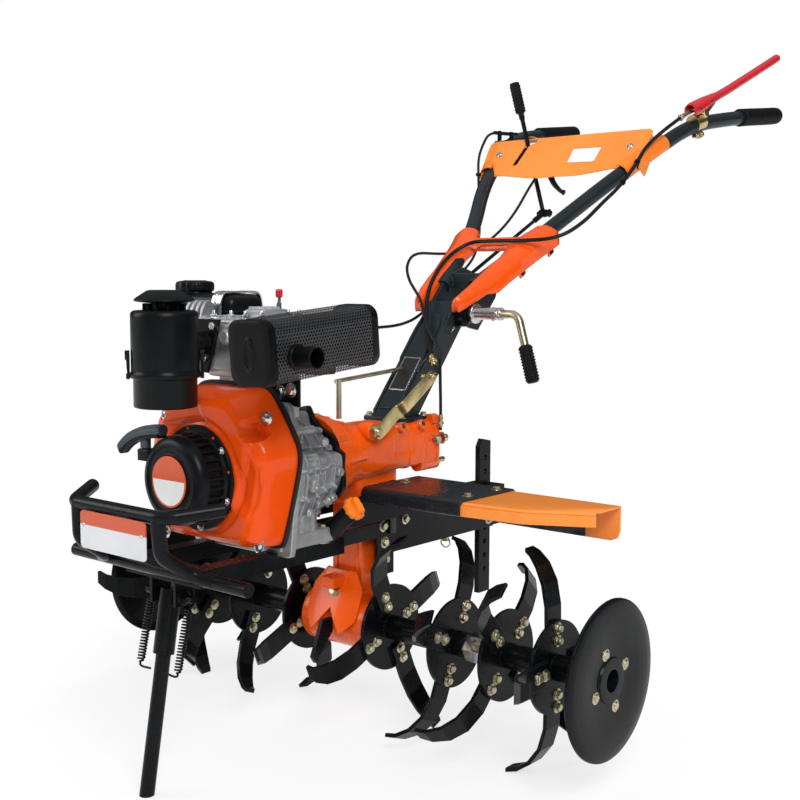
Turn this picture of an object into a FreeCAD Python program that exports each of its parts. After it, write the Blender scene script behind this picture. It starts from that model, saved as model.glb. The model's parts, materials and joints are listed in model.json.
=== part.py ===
import FreeCAD, Part
import math
import os
import re

import Sketcher

# Walk-behind diesel rotary tiller, in millimetres.
# Working axes: +X to the operator's left, +Y to the rear (towards the grips), +Z up, with
# Y = 0 on the rotor's axle line and Z = 0 on the ground.  Every sub-part is built on these
# axes, and its Placement then moves it by frame_shift along Y, so that the machine's own
# origin is on the ground in the middle of its length.

Vector = FreeCAD.Vector
doc = FreeCAD.newDocument("RotaryTiller")
sheet = doc.addObject("Spreadsheet::Sheet", "Sizes")

# alias, value or formula, what it is
SIZES = [
    # rotor
    ("tine_radius", "185", "axle line to the outer face of a tine's tip"),
    ("tine_width", "40", "width of a tine at its root"),
    ("tine_tip_width", "24", "width of a tine at its tip"),
    ("tine_thickness", "7", "thickness of a tine"),
    ("tine_sweep", "26", "how far a tine's tip trails its root"),
    ("tine_side_reach", "66", "how far a tine's tip bends sideways"),
    ("tine_short_reach", "28", "sideways bend of the tines next to the drive leg"),
    ("tines_per_flange", "4", "tines on each flange"),
    ("blade_turn", "=90 / tines_per_flange", "turn from one flange's tines to the next one's"),
    ("tine_trail", "=tine_sweep + tine_tip_width / 2", "root line to the trailing corner of a tip"),
    ("tine_reach", "=sqrt(tine_radius ^ 2 + tine_trail ^ 2)", "axle line to a tip's trailing corner"),
    ("tine_lag", "=atan(tine_trail / tine_radius)", "angle from a tine's root line to that corner"),
    ("axle_height", "=tine_reach * cos(blade_turn / 2)", "axle line above ground, on two tips"),
    ("flange_inner", "99", "mid-plane to the innermost tine flange"),
    ("flange_second", "248", "mid-plane to the second flange"),
    ("flange_third", "355", "mid-plane to the third flange"),
    ("flange_outer", "454", "mid-plane to the outermost flange"),
    ("flange_radius", "78", "radius of a tine flange"),
    ("flange_thickness", "6", "thickness of a tine flange"),
    ("rotor_half_width", "560", "mid-plane to the outer face of an end disc"),
    ("disc_radius", "131", "radius of an end disc"),
    ("disc_thickness", "4", "thickness of an end disc"),
    ("disc_hub_radius", "34", "radius of an end disc's hub"),
    ("disc_hub_length", "18", "length of an end disc's hub"),
    ("drum_radius", "22", "outer radius of the tine sections' tube"),
    ("axle_radius", "16", "radius of the rotor axle"),
    ("coupling_place", "305", "mid-plane to the middle of the drum coupling"),
    ("coupling_length", "54", "length of the drum coupling"),
    ("coupling_radius", "26", "corner radius of the hexagonal coupling"),
    ("running_clearance", "0.05", "radial clearance of a shaft in its bore"),
    ("seat_gap", "0.3", "clearance between pieces that face each other"),
    # drive leg and gear case
    ("bearing_radius", "52", "radius of the axle bearing housing"),
    ("bearing_half_width", "76", "mid-plane to the bearing housing's end"),
    ("leg_half_width", "36", "half width of the drive leg"),
    ("leg_front", "-8", "front face of the drive leg"),
    ("leg_rear", "62", "rear face of the drive leg"),
    ("leg_top", "=case_bottom - 30", "joint of the drive leg and the gear case"),
    ("shield_height", "280", "upper edge of the leg's shield above ground"),
    ("case_front", "-105", "front face of the gear case"),
    ("case_rear", "196", "rear face of the gear case"),
    ("case_top", "=crank_height + 52", "top of the gear case's rear box"),
    ("case_bottom", "=crank_height - 37", "bottom of the gear case's rear box"),
    ("case_half_width", "60", "half width of the gear case's rear box"),
    ("bell_radius", "79", "radius of the clutch bell"),
    ("bell_length", "22", "length of the bell's rim"),
    ("cone_end_radius", "50", "radius of the case's cone at its rear end"),
    ("cone_end", "84", "rear end of the case's cone"),
    ("bell_plate_radius", "98", "corner radius of the bell's plate"),
    ("bell_plate_thickness", "10", "thickness of the bell's plate"),
    # engine
    ("base_height", "368", "underside of the engine above ground"),
    ("crank_rise", "127", "engine base to the crankshaft"),
    ("crank_height", "=base_height + crank_rise", "crankshaft above ground"),
    ("engine_rear", "=case_front - bell_plate_thickness", "rear face of the crankcase"),
    ("crankcase_radius", "100", "radius of the crankcase"),
    ("crankcase_front", "-277", "front face of the crankcase"),
    ("base_half_width", "100", "half width of the engine's base"),
    ("base_thickness", "48", "height of the engine's base"),
    ("cylinder_half_width", "62", "half width of the cylinder's fins"),
    ("head_top", "=crank_height + 255", "top of the rocker cover"),
    ("shroud_front", "-365", "front face of the fan shroud"),
    ("shroud_top", "=crank_height + 147", "top of the fan shroud"),
    ("shroud_bottom", "=base_height + 12", "bottom of the fan shroud"),
    ("shroud_half_width", "153", "half width of the fan shroud"),
    ("starter_radius", "86", "radius of the recoil starter's ring"),
    ("starter_drum_radius", "75", "radius of the recoil starter's drum"),
    ("starter_nose_radius", "58", "radius of the recoil starter's nose"),
    ("starter_depth", "58", "how far the starter stands out of the shroud"),
    ("badge_radius", "41", "radius of the starter's front disc"),
    ("tank_length", "170", "length of the fuel tank across the machine"),
    ("tank_width", "90", "width of the fuel tank along the machine"),
    ("tank_depth", "98", "height of the fuel tank"),
    ("tank_top", "=crank_height + 295", "top of the fuel tank above ground"),
    ("tank_front", "-262", "front of the fuel tank"),
    ("tank_inner", "-35", "inner side of the fuel tank"),
    ("strap_width", "30", "width of the tank's strap"),
    ("strap_thickness", "3", "thickness of the tank's strap"),
    ("fuel_cap_radius", "36", "radius of the fuel cap"),
    ("cleaner_radius", "51", "radius of the air cleaner's can"),
    ("cleaner_place", "-416", "air cleaner's axis along the machine"),
    ("cleaner_side", "-14", "air cleaner's axis across the machine"),
    ("cleaner_bottom", "=crank_height + 117", "bottom of the air cleaner"),
    ("cleaner_top", "=cleaner_bottom + 153", "top of the air cleaner's can"),
    ("muffler_length", "236", "length of the muffler"),
    ("muffler_width", "84", "width of the muffler"),
    ("muffler_height", "96", "height of the muffler"),
    ("muffler_inner", "178", "inner side of the muffler"),
    ("muffler_front", "-450", "front face of the muffler"),
    ("muffler_bottom", "=crank_height + 165", "bottom of the muffler at its front"),
    ("muffler_slope", "5", "how far the muffler rises to the rear, in degrees"),
    ("guard_thickness", "2", "thickness of the muffler guard"),
    ("guard_gap", "5", "gap between the muffler and its guard"),
    ("filler_place", "-150", "oil filler along the machine"),
    ("filler_radius", "15", "radius of the oil filler's cap"),
    ("fin_pitch", "13", "pitch of the cylinder's fins"),
    ("fin_thickness", "4", "thickness of the cylinder's fins"),
    ("head_front", "-312", "front of the cylinder head"),
    ("head_rear", "-150", "rear of the cylinder head"),
    ("cylinder_rear", "-206", "rear of the cylinder's fins"),
    ("head_half_width", "72", "half width of the cylinder head"),
    ("head_bottom", "=crank_height + 191", "bottom of the cylinder head"),
    ("shroud_bevel", "24", "bevel round the shroud's front face"),
    ("starter_slots", "24", "air slots round the starter's drum"),
    ("slot_width", "8", "width of an air slot"),
    ("badge_thickness", "1.5", "thickness of the starter's front disc"),
    ("guard_hole_pitch", "30", "pitch of the guard's slots"),
    ("outlet_radius", "14", "radius of the exhaust outlet"),
    ("outlet_reach", "303", "mid-plane to the end of the exhaust outlet"),
    # frame, bumper and stand
    ("rail_gauge", "77", "mid-plane to the middle of an engine rail"),
    ("rail_width", "30", "width of an engine rail"),
    ("rail_height", "28", "height of an engine rail"),
    ("rail_front", "-440", "front end of the engine rails"),
    ("rail_rear", "-115", "rear end of the engine rails"),
    ("side_plate_place", "48", "mid-plane to the inner face of a side plate"),
    ("side_plate_thickness", "6", "thickness of a side plate"),
    ("side_plate_depth", "100", "depth of a side plate beside the drive leg"),
    ("bumper_radius", "11", "radius of the bumper's tubes"),
    ("bumper_reach", "525", "axle line to the bumper's front tube"),
    ("bumper_height", "=base_height + 97", "bumper's front tube above ground"),
    ("bumper_half_width", "110", "half width of the bumper's front tube"),
    ("strut_place", "98", "mid-plane to the bumper's struts"),
    ("lower_half_width", "212", "half width of the bumper's lower tube"),
    ("lower_drop", "7", "top of the engine's frame down to the bumper's lower tube"),
    ("plate_half_width", "77", "half width of the bumper's blank plate"),
    ("plate_height", "47", "height of the bumper's blank plate"),
    ("plate_thickness", "3", "thickness of the bumper's blank plate"),
    ("stand_place", "-424", "stand pivot along the machine"),
    ("stand_height", "=base_height - rail_height - 26", "stand pivot above ground"),
    ("stand_foot_drop", "0", "stand foot above ground"),
    ("stand_foot_place", "-478", "stand foot along the machine"),
    ("stand_tube_radius", "12", "radius of the stand's tube"),
    ("stand_sleeve_radius", "17", "radius of the stand's sleeve"),
    ("stand_pin_radius", "6", "radius of the stand's pivot pin"),
    # fenders, hitch and depth bar
    ("fender_height", "=base_height + 78", "top of the fenders above ground"),
    ("fender_thickness", "3", "thickness of the fenders"),
    ("fender_inner", "70", "mid-plane to the fenders' inner edge"),
    ("fender_joint", "290", "mid-plane to the joint of a fender and its extension"),
    ("fender_outer", "508", "mid-plane to the extension's outer corner"),
    ("fender_front", "-48", "front edge of the fenders"),
    ("fender_rear", "118", "rear edge of the fenders"),
    ("skirt_depth", "60", "depth of the fenders' rear skirt"),
    ("lip_depth", "22", "depth of the fenders' front lip"),
    ("hitch_rear", "398", "rear end of the hitch bracket's side plates"),
    ("hitch_half_width", "36", "half width of the hitch bracket"),
    ("hitch_top", "=base_height + 16", "top of the hitch bracket"),
    ("hitch_bottom", "=hitch_top - 82", "bottom of the hitch bracket"),
    ("hitch_plate", "6", "thickness of the hitch bracket's plates"),
    ("hitch_pin_place", "290", "hitch pin along the machine"),
    ("hitch_pin_radius", "8", "radius of the hitch pin's bore"),
    ("bar_place", "418", "depth bar along the machine"),
    ("bar_width", "38", "width of the depth bar"),
    ("bar_thickness", "12", "thickness of the depth bar"),
    ("bar_top", "=hitch_top + 97", "top of the depth bar above ground"),
    ("bar_length", "330", "length of the depth bar"),
    ("bar_hole_radius", "6", "radius of the depth bar's holes"),
    ("bar_hole_pitch", "30", "pitch of the depth bar's holes"),
    # steering column and handlebar
    ("column_half_width", "34", "half width of the column"),
    ("column_front_foot", "93", "front of the column's foot"),
    ("column_rear_foot", "152", "rear of the column's foot"),
    ("column_front_head", "276", "front of the column's head"),
    ("column_rear_head", "335", "rear of the column's head"),
    ("column_top", "=case_top + 225", "top of the column above ground"),
    ("hinge_place", "296", "handlebar hinge along the machine"),
    ("hinge_height", "=column_top - 24", "handlebar hinge above ground"),
    ("hinge_bolt_radius", "8", "radius of the handlebar's hinge bolt"),
    ("fork_plate", "6", "thickness of the fork's side plates"),
    ("fork_gap", "1", "gap between the column and a fork plate"),
    ("tube_radius", "16", "radius of the handlebar's tubes"),
    ("grip_radius", "20", "radius of the hand grips"),
    ("grip_length", "190", "length of the hand grips"),
    ("cover_slope", "32.7", "slope of the tube covers, in degrees"),
    ("cover_lift", "19.5", "tube line to the top of the covers"),
    ("cover_depth", "25.5", "height of the covers' inner sides"),
    ("cover_skirt", "40", "height of the covers' outer sides"),
    ("cover_wall", "3", "wall of the covers"),
    ("panel_slope", "57.4", "slope of the control panel, in degrees"),
    ("panel_thickness", "3", "thickness of the control panel"),
    ("panel_fold", "28", "depth of the control panel's folded ends"),
    ("handle_reach", "1222", "axle line to the rear end of the clutch lever"),
    ("cable_radius", "4", "radius of the control cables"),
    ("frame_shift", "=(bumper_reach - handle_reach) / 2", "moves the origin to mid-length"),
]

for row, (alias, value, meaning) in enumerate(SIZES, start=1):
    sheet.set("A%d" % row, alias)
    sheet.set("B%d" % row, value)
    sheet.set("C%d" % row, meaning)
    sheet.setAlias("B%d" % row, alias)
doc.recompute()

ALIASES = {alias for alias, value, meaning in SIZES}
parts_made = []


def num(text):
    """Value of an expression of the sheet's aliases."""
    return float(sheet.evalExpression(str(text)))


def bound(text):
    """The expression as other objects of the document must write it."""
    return re.sub(r"[a-z][a-z_]*", lambda word: "Sizes." + word.group(0)
                  if word.group(0) in ALIASES else word.group(0), str(text))


def bind(thing, **sizes):
    """Ties properties to expressions of the sheet's aliases."""
    for name, text in sizes.items():
        thing.setExpression(name, bound(text))
    return thing


def put(thing, x=0, y=0, z=0, about=(0, 0, 1), angle=0):
    """Ties the Placement: turned by angle about an axis, then moved to x, y, z."""
    thing.addProperty("App::PropertyStringList", "Spot")
    thing.Spot = [str(x), str(y), str(z), str(angle)] + [str(value) for value in about]
    tie_placement(thing, 0)
    return thing


def tie_placement(thing, shift):
    x, y, z, angle, along_x, along_y, along_z = thing.Spot
    text = ("create(<<placement>>; create(<<vector>>; %s; %s + %s; %s);"
            " create(<<rotation>>; create(<<vector>>; %s; %s; %s); %s))"
            % (x, y, shift, z, along_x, along_y, along_z, angle))
    thing.setExpression("Placement", bound(text).replace("<<Sizes.", "<<"))


def box(x, y, z, about=(0, 0, 1), angle=0):
    """A box between pairs of expressions along X, Y and Z; a turn is about its low corner."""
    block = doc.addObject("Part::Box", "Box")
    bind(block, Length="(%s) - (%s)" % (x[1], x[0]), Width="(%s) - (%s)" % (y[1], y[0]),
         Height="(%s) - (%s)" % (z[1], z[0]))
    return put(block, x[0], y[0], z[0], about, angle)


def rod(radius, length, x=0, y=0, z=0, along="z", angle=None):
    """A cylinder whose base centre is at x, y, z."""
    turns = {"x": ((0, 1, 0), 90), "y": ((1, 0, 0), -90), "z": ((0, 0, 1), 0)}
    about, quarter = turns[along] if isinstance(along, str) else (along, angle)
    bar = doc.addObject("Part::Cylinder", "Rod")
    bind(bar, Radius=radius, Height=length)
    return put(bar, x, y, z, about, quarter)


def cone(radius, end_radius, length, x=0, y=0, z=0, along="z"):
    turns = {"x": ((0, 1, 0), 90), "y": ((1, 0, 0), -90), "z": ((0, 0, 1), 0)}
    about, quarter = turns[along]
    taper = doc.addObject("Part::Cone", "Taper")
    bind(taper, Radius1=radius, Radius2=end_radius, Height=length)
    return put(taper, x, y, z, about, quarter)


def sketch(body, role, outline, offset="0"):
    """A closed outline of straight lines, each corner tied to a pair of expressions."""
    plane = [feature for feature in body.Origin.OriginFeatures if feature.Role == role][0]
    drawing = body.newObject("Sketcher::SketchObject", "Outline")
    drawing.AttachmentSupport = [(plane, "")]
    drawing.MapMode = "FlatFace"
    drawing.setExpression("AttachmentOffset.Base.z", bound(offset))
    corners = [(num(across), num(up)) for across, up in outline]
    count = len(corners)
    for number in range(count):
        start = Vector(*corners[number], 0)
        end = Vector(*corners[(number + 1) % count], 0)
        drawing.addGeometry(Part.LineSegment(start, end), False)
    for number in range(count):
        drawing.addConstraint(Sketcher.Constraint("Coincident", number, 2, (number + 1) % count, 1))
    for number, corner in enumerate(outline):
        for kind, text, value in (("DistanceX", corner[0], corners[number][0]),
                                  ("DistanceY", corner[1], corners[number][1])):
            place = drawing.addConstraint(Sketcher.Constraint(kind, -1, 1, number, 1, value))
            drawing.setExpression("Constraints[%d]" % place, bound(text))
    return drawing


def plate(role, outline, low, high, x=0, y=0, z=0, about=(0, 0, 1), angle=0):
    """An outline padded from low to high along its plane's normal.

    YZ_Plane: corners are (y, z) and the normal is +X.  XY_Plane: (x, y) and +Z.
    XZ_Plane: corners are (x, z) and the normal is -Y, so low and high count forwards.
    """
    body = doc.addObject("PartDesign::Body", "Plate")
    drawing = sketch(body, role, outline, low)
    pad = body.newObject("PartDesign::Pad", "Pad")
    pad.Profile = drawing
    pad.setExpression("Length", bound("(%s) - (%s)" % (high, low)))
    return put(body, x, y, z, about, angle)


def turned(outline, x=0, y=0, z=0, about=(0, 0, 1), angle=0):
    """An outline of (radius, height) pairs turned about Z, then placed."""
    body = doc.addObject("PartDesign::Body", "Turned")
    drawing = sketch(body, "XZ_Plane", outline)
    turn = body.newObject("PartDesign::Revolution", "Turn")
    turn.Profile = drawing
    turn.ReferenceAxis = (drawing, ["V_Axis"])
    turn.Angle = 360
    return put(body, x, y, z, about, angle)


def fuse(things):
    if len(things) == 1:
        return things[0]
    union = doc.addObject("Part::MultiFuse", "Union")
    union.Shapes = things
    union.Refine = False
    return union


def cut(thing, tools):
    left = doc.addObject("Part::Cut", "Cut")
    left.Base = thing
    left.Tool = fuse(tools)
    left.Refine = False
    return left


def solid_feature(shape):
    """A feature for a shape that no sketch or primitive gives, such as a tube bent in space."""
    feature = doc.addObject("Part::Feature", "Shape")
    feature.Shape = shape
    return feature


def sub_part(label, things, holes=()):
    """Names a sub-part, joined from things and cut by holes, and moves it by frame_shift."""
    whole = fuse(list(things))
    if holes:
        whole = cut(whole, list(holes))
    if not hasattr(whole, "Spot"):
        put(whole)
    tie_placement(whole, "frame_shift")
    whole.Label = label
    parts_made.append(whole)
    return whole


def arc_limits(points):
    """The largest tangent arc at each inner point: 0.45 of the shorter run over tan(turn / 2)."""
    limits = []
    for before, corner, after in zip(points, points[1:], points[2:]):
        turn = math.pi - (before - corner).getAngle(after - corner)
        shorter = min((before - corner).Length, (after - corner).Length)
        limits.append(0.45 * shorter / math.tan(turn / 2))
    return limits


def path_wire(points, bend):
    """Straight runs between the points, joined by tangent arcs of radius bend or less.

    An arc is no larger than its two runs allow, and bend=None asks for that largest arc.
    """
    radii = [limit if bend is None else min(bend, limit) for limit in arc_limits(points)]
    edges = []
    start = points[0]
    for number in range(1, len(points) - 1):
        corner = points[number]
        back = (points[number - 1] - corner).normalize()
        ahead = (points[number + 1] - corner).normalize()
        turn = math.pi - back.getAngle(ahead)
        setback = radii[number - 1] * math.tan(turn / 2)
        middle_way = (back + ahead).normalize()
        centre = corner + middle_way * (radii[number - 1] / math.cos(turn / 2))
        first = corner + back * setback
        last = corner + ahead * setback
        middle = centre - middle_way * radii[number - 1]
        edges.append(Part.LineSegment(start, first).toShape())
        edges.append(Part.Arc(first, middle, last).toShape())
        start = last
    edges.append(Part.LineSegment(start, points[-1]).toShape())
    return Part.Wire(edges)


def swept(points, bend, radius, wall=0):
    """A round bar, or a tube with a wall, along a path."""
    wire = path_wire(points, bend)
    way = (points[1] - points[0]).normalize()
    shape = Part.Wire([Part.makeCircle(radius, points[0], way)])
    solid = wire.makePipeShell([shape], True, False, 2)
    if wall:
        bore = Part.Wire([Part.makeCircle(radius - wall, points[0], way)])
        solid = solid.cut(wire.makePipeShell([bore], True, False, 2))
    return solid


def mirrored(points):
    return [Vector(-point.x, point.y, point.z) for point in points]


FORWARD = {"about": (1, 0, 0), "angle": 90}

# ---------------------------------------------------------------- engine

flange_outline = [
    ("-crankcase_radius + 14", "base_height"), ("crankcase_radius - 8", "base_height"),
    ("shroud_half_width - 18", "crank_height + 38"), ("crankcase_radius - 12", "shroud_top - 16"),
    ("-crankcase_radius + 12", "shroud_top - 16"), ("-shroud_half_width + 18", "crank_height + 38")]
sub_part("crankcase", [
    rod("crankcase_radius", "engine_rear - crankcase_front - 70", 0, "crankcase_front",
        "crank_height", "y"),
    rod("crankcase_radius - 20", "engine_rear - crankcase_front", 0, "crankcase_front",
        "crank_height", "y"),
    plate("XZ_Plane", flange_outline, "-14", 0, 0, "crankcase_front"),
    box(("-base_half_width", "base_half_width"), ("crankcase_front", "engine_rear - 34"),
        ("base_height", "base_height + base_thickness")),
    box(("-cylinder_half_width - 12", "cylinder_half_width + 12"),
        ("crankcase_front", "cylinder_rear + 6"), ("crank_height + 50", "crank_height + 112")),
    rod("filler_radius - 2", 62, "crankcase_radius - 22", "filler_place", "crank_height - 92",
        (0, 1, 0), 50),
])

fins = [box(("-cylinder_half_width", "cylinder_half_width"), ("crankcase_front + 16", "cylinder_rear - 12"),
            ("crank_height + 112", "head_bottom"))]
for number in range(5):
    low = "crank_height + 118 + %d * fin_pitch" % number
    fins.append(box(("-cylinder_half_width - 12", "cylinder_half_width + 12"),
                    ("crankcase_front + 14 + seat_gap", "cylinder_rear"), (low, low + " + fin_thickness")))
fins.append(box(("-head_half_width", "head_half_width"), ("head_front", "head_rear"),
                ("head_bottom", "head_top - 22")))
sub_part("cylinder", fins)
sub_part("rocker_cover", [
    box(("-head_half_width + 14", "head_half_width - 14"), ("head_front + 6", "tank_front - 4"),
        ("head_top - 22", "head_top")),
    box(("tank_inner + 8", "head_half_width - 14"), ("tank_front - 4", "head_rear - 6"),
        ("head_top - 22", "head_top + 2")),
    box(("tank_inner + 20", "head_half_width - 26"), ("tank_front + 10", "head_rear - 30"),
        ("head_top + 2", "head_top + 14")),
    rod(5, 30, 2, -182, "head_top + 10"),
])

shroud_outline = [
    ("-shroud_half_width + 72", "shroud_top"), ("-shroud_half_width + 30", "crank_height + 106"),
    ("-shroud_half_width", "crank_height + 44"), ("-shroud_half_width + 4", "crank_height - 10"),
    ("-shroud_half_width + 38", "shroud_bottom"), ("shroud_half_width - 44", "shroud_bottom"),
    ("shroud_half_width - 14", "crank_height - 30"), ("shroud_half_width", "crank_height + 44"),
    ("shroud_half_width - 30", "crank_height + 100"), ("shroud_half_width - 72", "shroud_top"),
]
shroud = plate("XZ_Plane", shroud_outline, 0, "crankcase_front - shroud_front", 0, "crankcase_front")
doc.recompute()
pad = shroud.Tip
front_face = min(enumerate(pad.Shape.Faces, start=1), key=lambda item: item[1].CenterOfMass.y)
bevel = shroud.newObject("PartDesign::Chamfer", "Bevel")
bevel.Base = (pad, ["Face%d" % front_face[0]])
bevel.setExpression("Size", bound("shroud_bevel"))
sub_part("fan_shroud", [shroud], [
    rod("starter_radius - 14", "crankcase_front - shroud_front - 8", 0, "shroud_front - 1",
        "crank_height", "y")])



def ring_of_slots(body, radius, base, depth):
    """Pockets round a turned body, patterned about its own Z axis."""
    before = body.Tip
    drawing = sketch(body, "XY_Plane", [(radius, "-slot_width / 2"), ("%s + 30" % radius, "-slot_width / 2"),
                                        ("%s + 30" % radius, "slot_width / 2"), (radius, "slot_width / 2")], base)
    pocket = body.newObject("PartDesign::Pocket", "Slot")
    pocket.Profile = drawing
    pocket.Reversed = True
    pocket.setExpression("Length", bound(depth))
    doc.recompute()
    assert pocket.Shape.Volume < before.Shape.Volume - 1
    pattern = body.newObject("PartDesign::PolarPattern", "Slots")
    pattern.Originals = [pocket]
    axis = [feature for feature in body.Origin.OriginFeatures if feature.Role == "Z_Axis"][0]
    pattern.Axis = (axis, [""])
    pattern.Angle = 360
    pattern.setExpression("Occurrences", bound("starter_slots"))
    body.Tip = pattern
    return body


starter = turned([(0, 0), ("starter_radius", 0), ("starter_radius", 5), ("starter_drum_radius", 8),
                  ("starter_drum_radius - 3", "starter_depth - 22"),
                  ("starter_drum_radius - 8", "starter_depth - 8"),
                  ("starter_nose_radius", "starter_depth"), (0, "starter_depth")],
                 0, "shroud_front", "crank_height", **FORWARD)
ring_of_slots(starter, "starter_drum_radius - 12", 14, "starter_depth - 26")
sub_part("recoil_starter", [
    starter, box(("-starter_nose_radius - 34", "-starter_nose_radius - 4"),
                 ("shroud_front - 50", "shroud_front - 28"), ("crank_height + 25", "crank_height + 44"))])
sub_part("starter_badge", [rod("badge_radius", "badge_thickness", 0, "shroud_front - starter_depth",
                               "crank_height", **{"along": (1, 0, 0), "angle": 90})])

handle_place = num("shroud_front") - 39
handle_points = [Vector(x, handle_place, num("crank_height") + up)
                 for x, up in ((-140, 42), (-118, 55), (-88, 67), (-40, 76))]
handle_stem = Part.makeCylinder(8.5, 18, Vector(-82, handle_place, num("crank_height") + 44 + num("seat_gap")))
sub_part("pull_handle", [solid_feature(swept(handle_points, None, 12).fuse(handle_stem))])

# fuel tank across the rear of the head, with a deeper end beside it, under one strap
tank_outer = "tank_inner - tank_length"
tank = fuse([
    box((tank_outer, "tank_inner"), ("tank_front", "tank_front + tank_width"),
        ("head_top - 22 + seat_gap", "tank_top")),
    box((tank_outer, "-head_half_width - 8"), ("tank_front", "tank_front + tank_width"),
        ("tank_top - tank_depth", "tank_top - 20"))])
sub_part("fuel_tank", [tank])
strap_low = "tank_inner - 44"
sub_part("tank_strap", [
    box((strap_low, strap_low + " + strap_width"),
        ("tank_front - seat_gap - strap_thickness", "tank_front + tank_width + seat_gap + strap_thickness"),
        ("tank_top + seat_gap", "tank_top + seat_gap + strap_thickness")),
    box((strap_low, strap_low + " + strap_width"),
        ("tank_front - seat_gap - strap_thickness", "tank_front - seat_gap"),
        ("head_top + seat_gap", "tank_top + seat_gap")),
    box((strap_low, strap_low + " + strap_width"),
        ("tank_front + tank_width + seat_gap", "tank_front + tank_width + seat_gap + strap_thickness"),
        ("head_top - 22 + seat_gap", "tank_top + seat_gap"))])
sub_part("fuel_cap", [rod("fuel_cap_radius", 29, "tank_inner - 130", "tank_front + 37", "tank_top")])

cleaner = turned([(0, 0), ("cleaner_radius - 3", 0), ("cleaner_radius - 3", 46),
                  ("cleaner_radius + 2", 48), ("cleaner_radius + 2", 56), ("cleaner_radius", 58),
                  ("cleaner_radius", "cleaner_top - cleaner_bottom"),
                  (20, "cleaner_top - cleaner_bottom"), (20, "cleaner_top - cleaner_bottom + 13"),
                  ("cleaner_radius - 6", "cleaner_top - cleaner_bottom + 13"),
                  (24, "cleaner_top - cleaner_bottom + 32"), (0, "cleaner_top - cleaner_bottom + 32")],
                 "cleaner_side", "cleaner_place", "cleaner_bottom")
sub_part("air_cleaner", [cleaner])
sub_part("cleaner_bracket", [
    box(("cleaner_side - 8", "cleaner_side + 66"), ("head_front - 8", "head_front"), ("head_bottom + 6", "head_top - 24")),
    rod(20, "head_front - 8 - cleaner_place", "cleaner_side + 6", "cleaner_place", "head_bottom + 24", "y")],
    [rod("cleaner_radius", "cleaner_top - cleaner_bottom", "cleaner_side", "cleaner_place",
         "cleaner_bottom")])

# muffler inside its perforated guard, sloping up to the rear
slope = {"about": (1, 0, 0), "angle": "muffler_slope"}
muffler_corner = ("muffler_inner + muffler_width", "muffler_front", "muffler_bottom")


def muffler_section(inset):
    """Rounded box section of the muffler as (x, z) corners, cut across its corners."""
    low = str(inset)
    across = "muffler_width - %s" % inset
    high = "muffler_height - %s" % inset
    return [("%s + 16" % low, low), ("%s - 16" % across, low), (across, "%s + 16" % low),
            (across, "%s - 16" % high), ("%s - 16" % across, high), ("%s + 16" % low, high),
            (low, "%s - 16" % high), (low, "%s + 16" % low)]


def along_muffler(inset, low, high):
    """A length of the muffler's section, from low to high behind its front face."""
    return plate("XZ_Plane", muffler_section(inset), "-(%s)" % high, "-(%s)" % low,
                 "muffler_inner", "muffler_front", "muffler_bottom", **slope)


sub_part("muffler", [
    along_muffler("guard_gap + guard_thickness", 3, "muffler_length - 3"),
    along_muffler(0, 0, 14), along_muffler(0, "muffler_length - 14", "muffler_length"),
    rod("outlet_radius", "outlet_reach - muffler_inner - 20", "muffler_inner + 20",
        "muffler_front + 48", "muffler_bottom + 43", "x"),
    rod(17, "muffler_inner - head_half_width + 12", "head_half_width", "head_front + 80", "muffler_bottom + 62", "x"),
    box(("muffler_inner - 86", "muffler_inner + 40"), ("crankcase_front + 14", "crankcase_front + 54"),
        ("muffler_bottom - 4", "muffler_bottom + 30")),
    box(("muffler_inner - 86", "muffler_inner - 56"), ("crankcase_front + 14 + seat_gap",
                                                       "crankcase_front + 20"),
        ("crank_height + 70", "muffler_bottom + 10")),
])
guard_slots = []
for row in range(3):
    for column in range(6):
        guard_slots.append(box(("muffler_inner + 30", "muffler_inner + muffler_width + 20"),
                               ("muffler_front + 24 + %d * guard_hole_pitch" % column,
                                "muffler_front + 24 + 20 + %d * guard_hole_pitch" % column),
                               ("muffler_bottom + 24 + %d * 19" % row,
                                "muffler_bottom + 24 + 7 + %d * 19" % row)))
sub_part("muffler_guard", [along_muffler(0, "14 + seat_gap", "muffler_length - 14 - seat_gap")],
         [along_muffler("guard_thickness", 0, "muffler_length"),
          rod("outlet_radius + 3", 200, "muffler_inner", "muffler_front + 48", "muffler_bottom + 43", "x"),
          box(("muffler_inner - 20", "muffler_inner + 8"), ("head_front + 50", "head_front + 110"),
              ("muffler_bottom + 30", "muffler_bottom + 90")),
          box(("muffler_inner - 62", "muffler_inner + 44"),
              ("crankcase_front + 10", "crankcase_front + 58"),
              ("muffler_bottom - 20", "muffler_bottom + 32"))] + guard_slots)
sub_part("dipstick_cap", [
    rod("filler_radius + 3", 22, "crankcase_radius - 22 + 62 * sin(50)", "filler_place",
        "crank_height - 92 + 62 * cos(50)", (0, 1, 0), 50)])

# ---------------------------------------------------------------- frame and bumper

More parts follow.
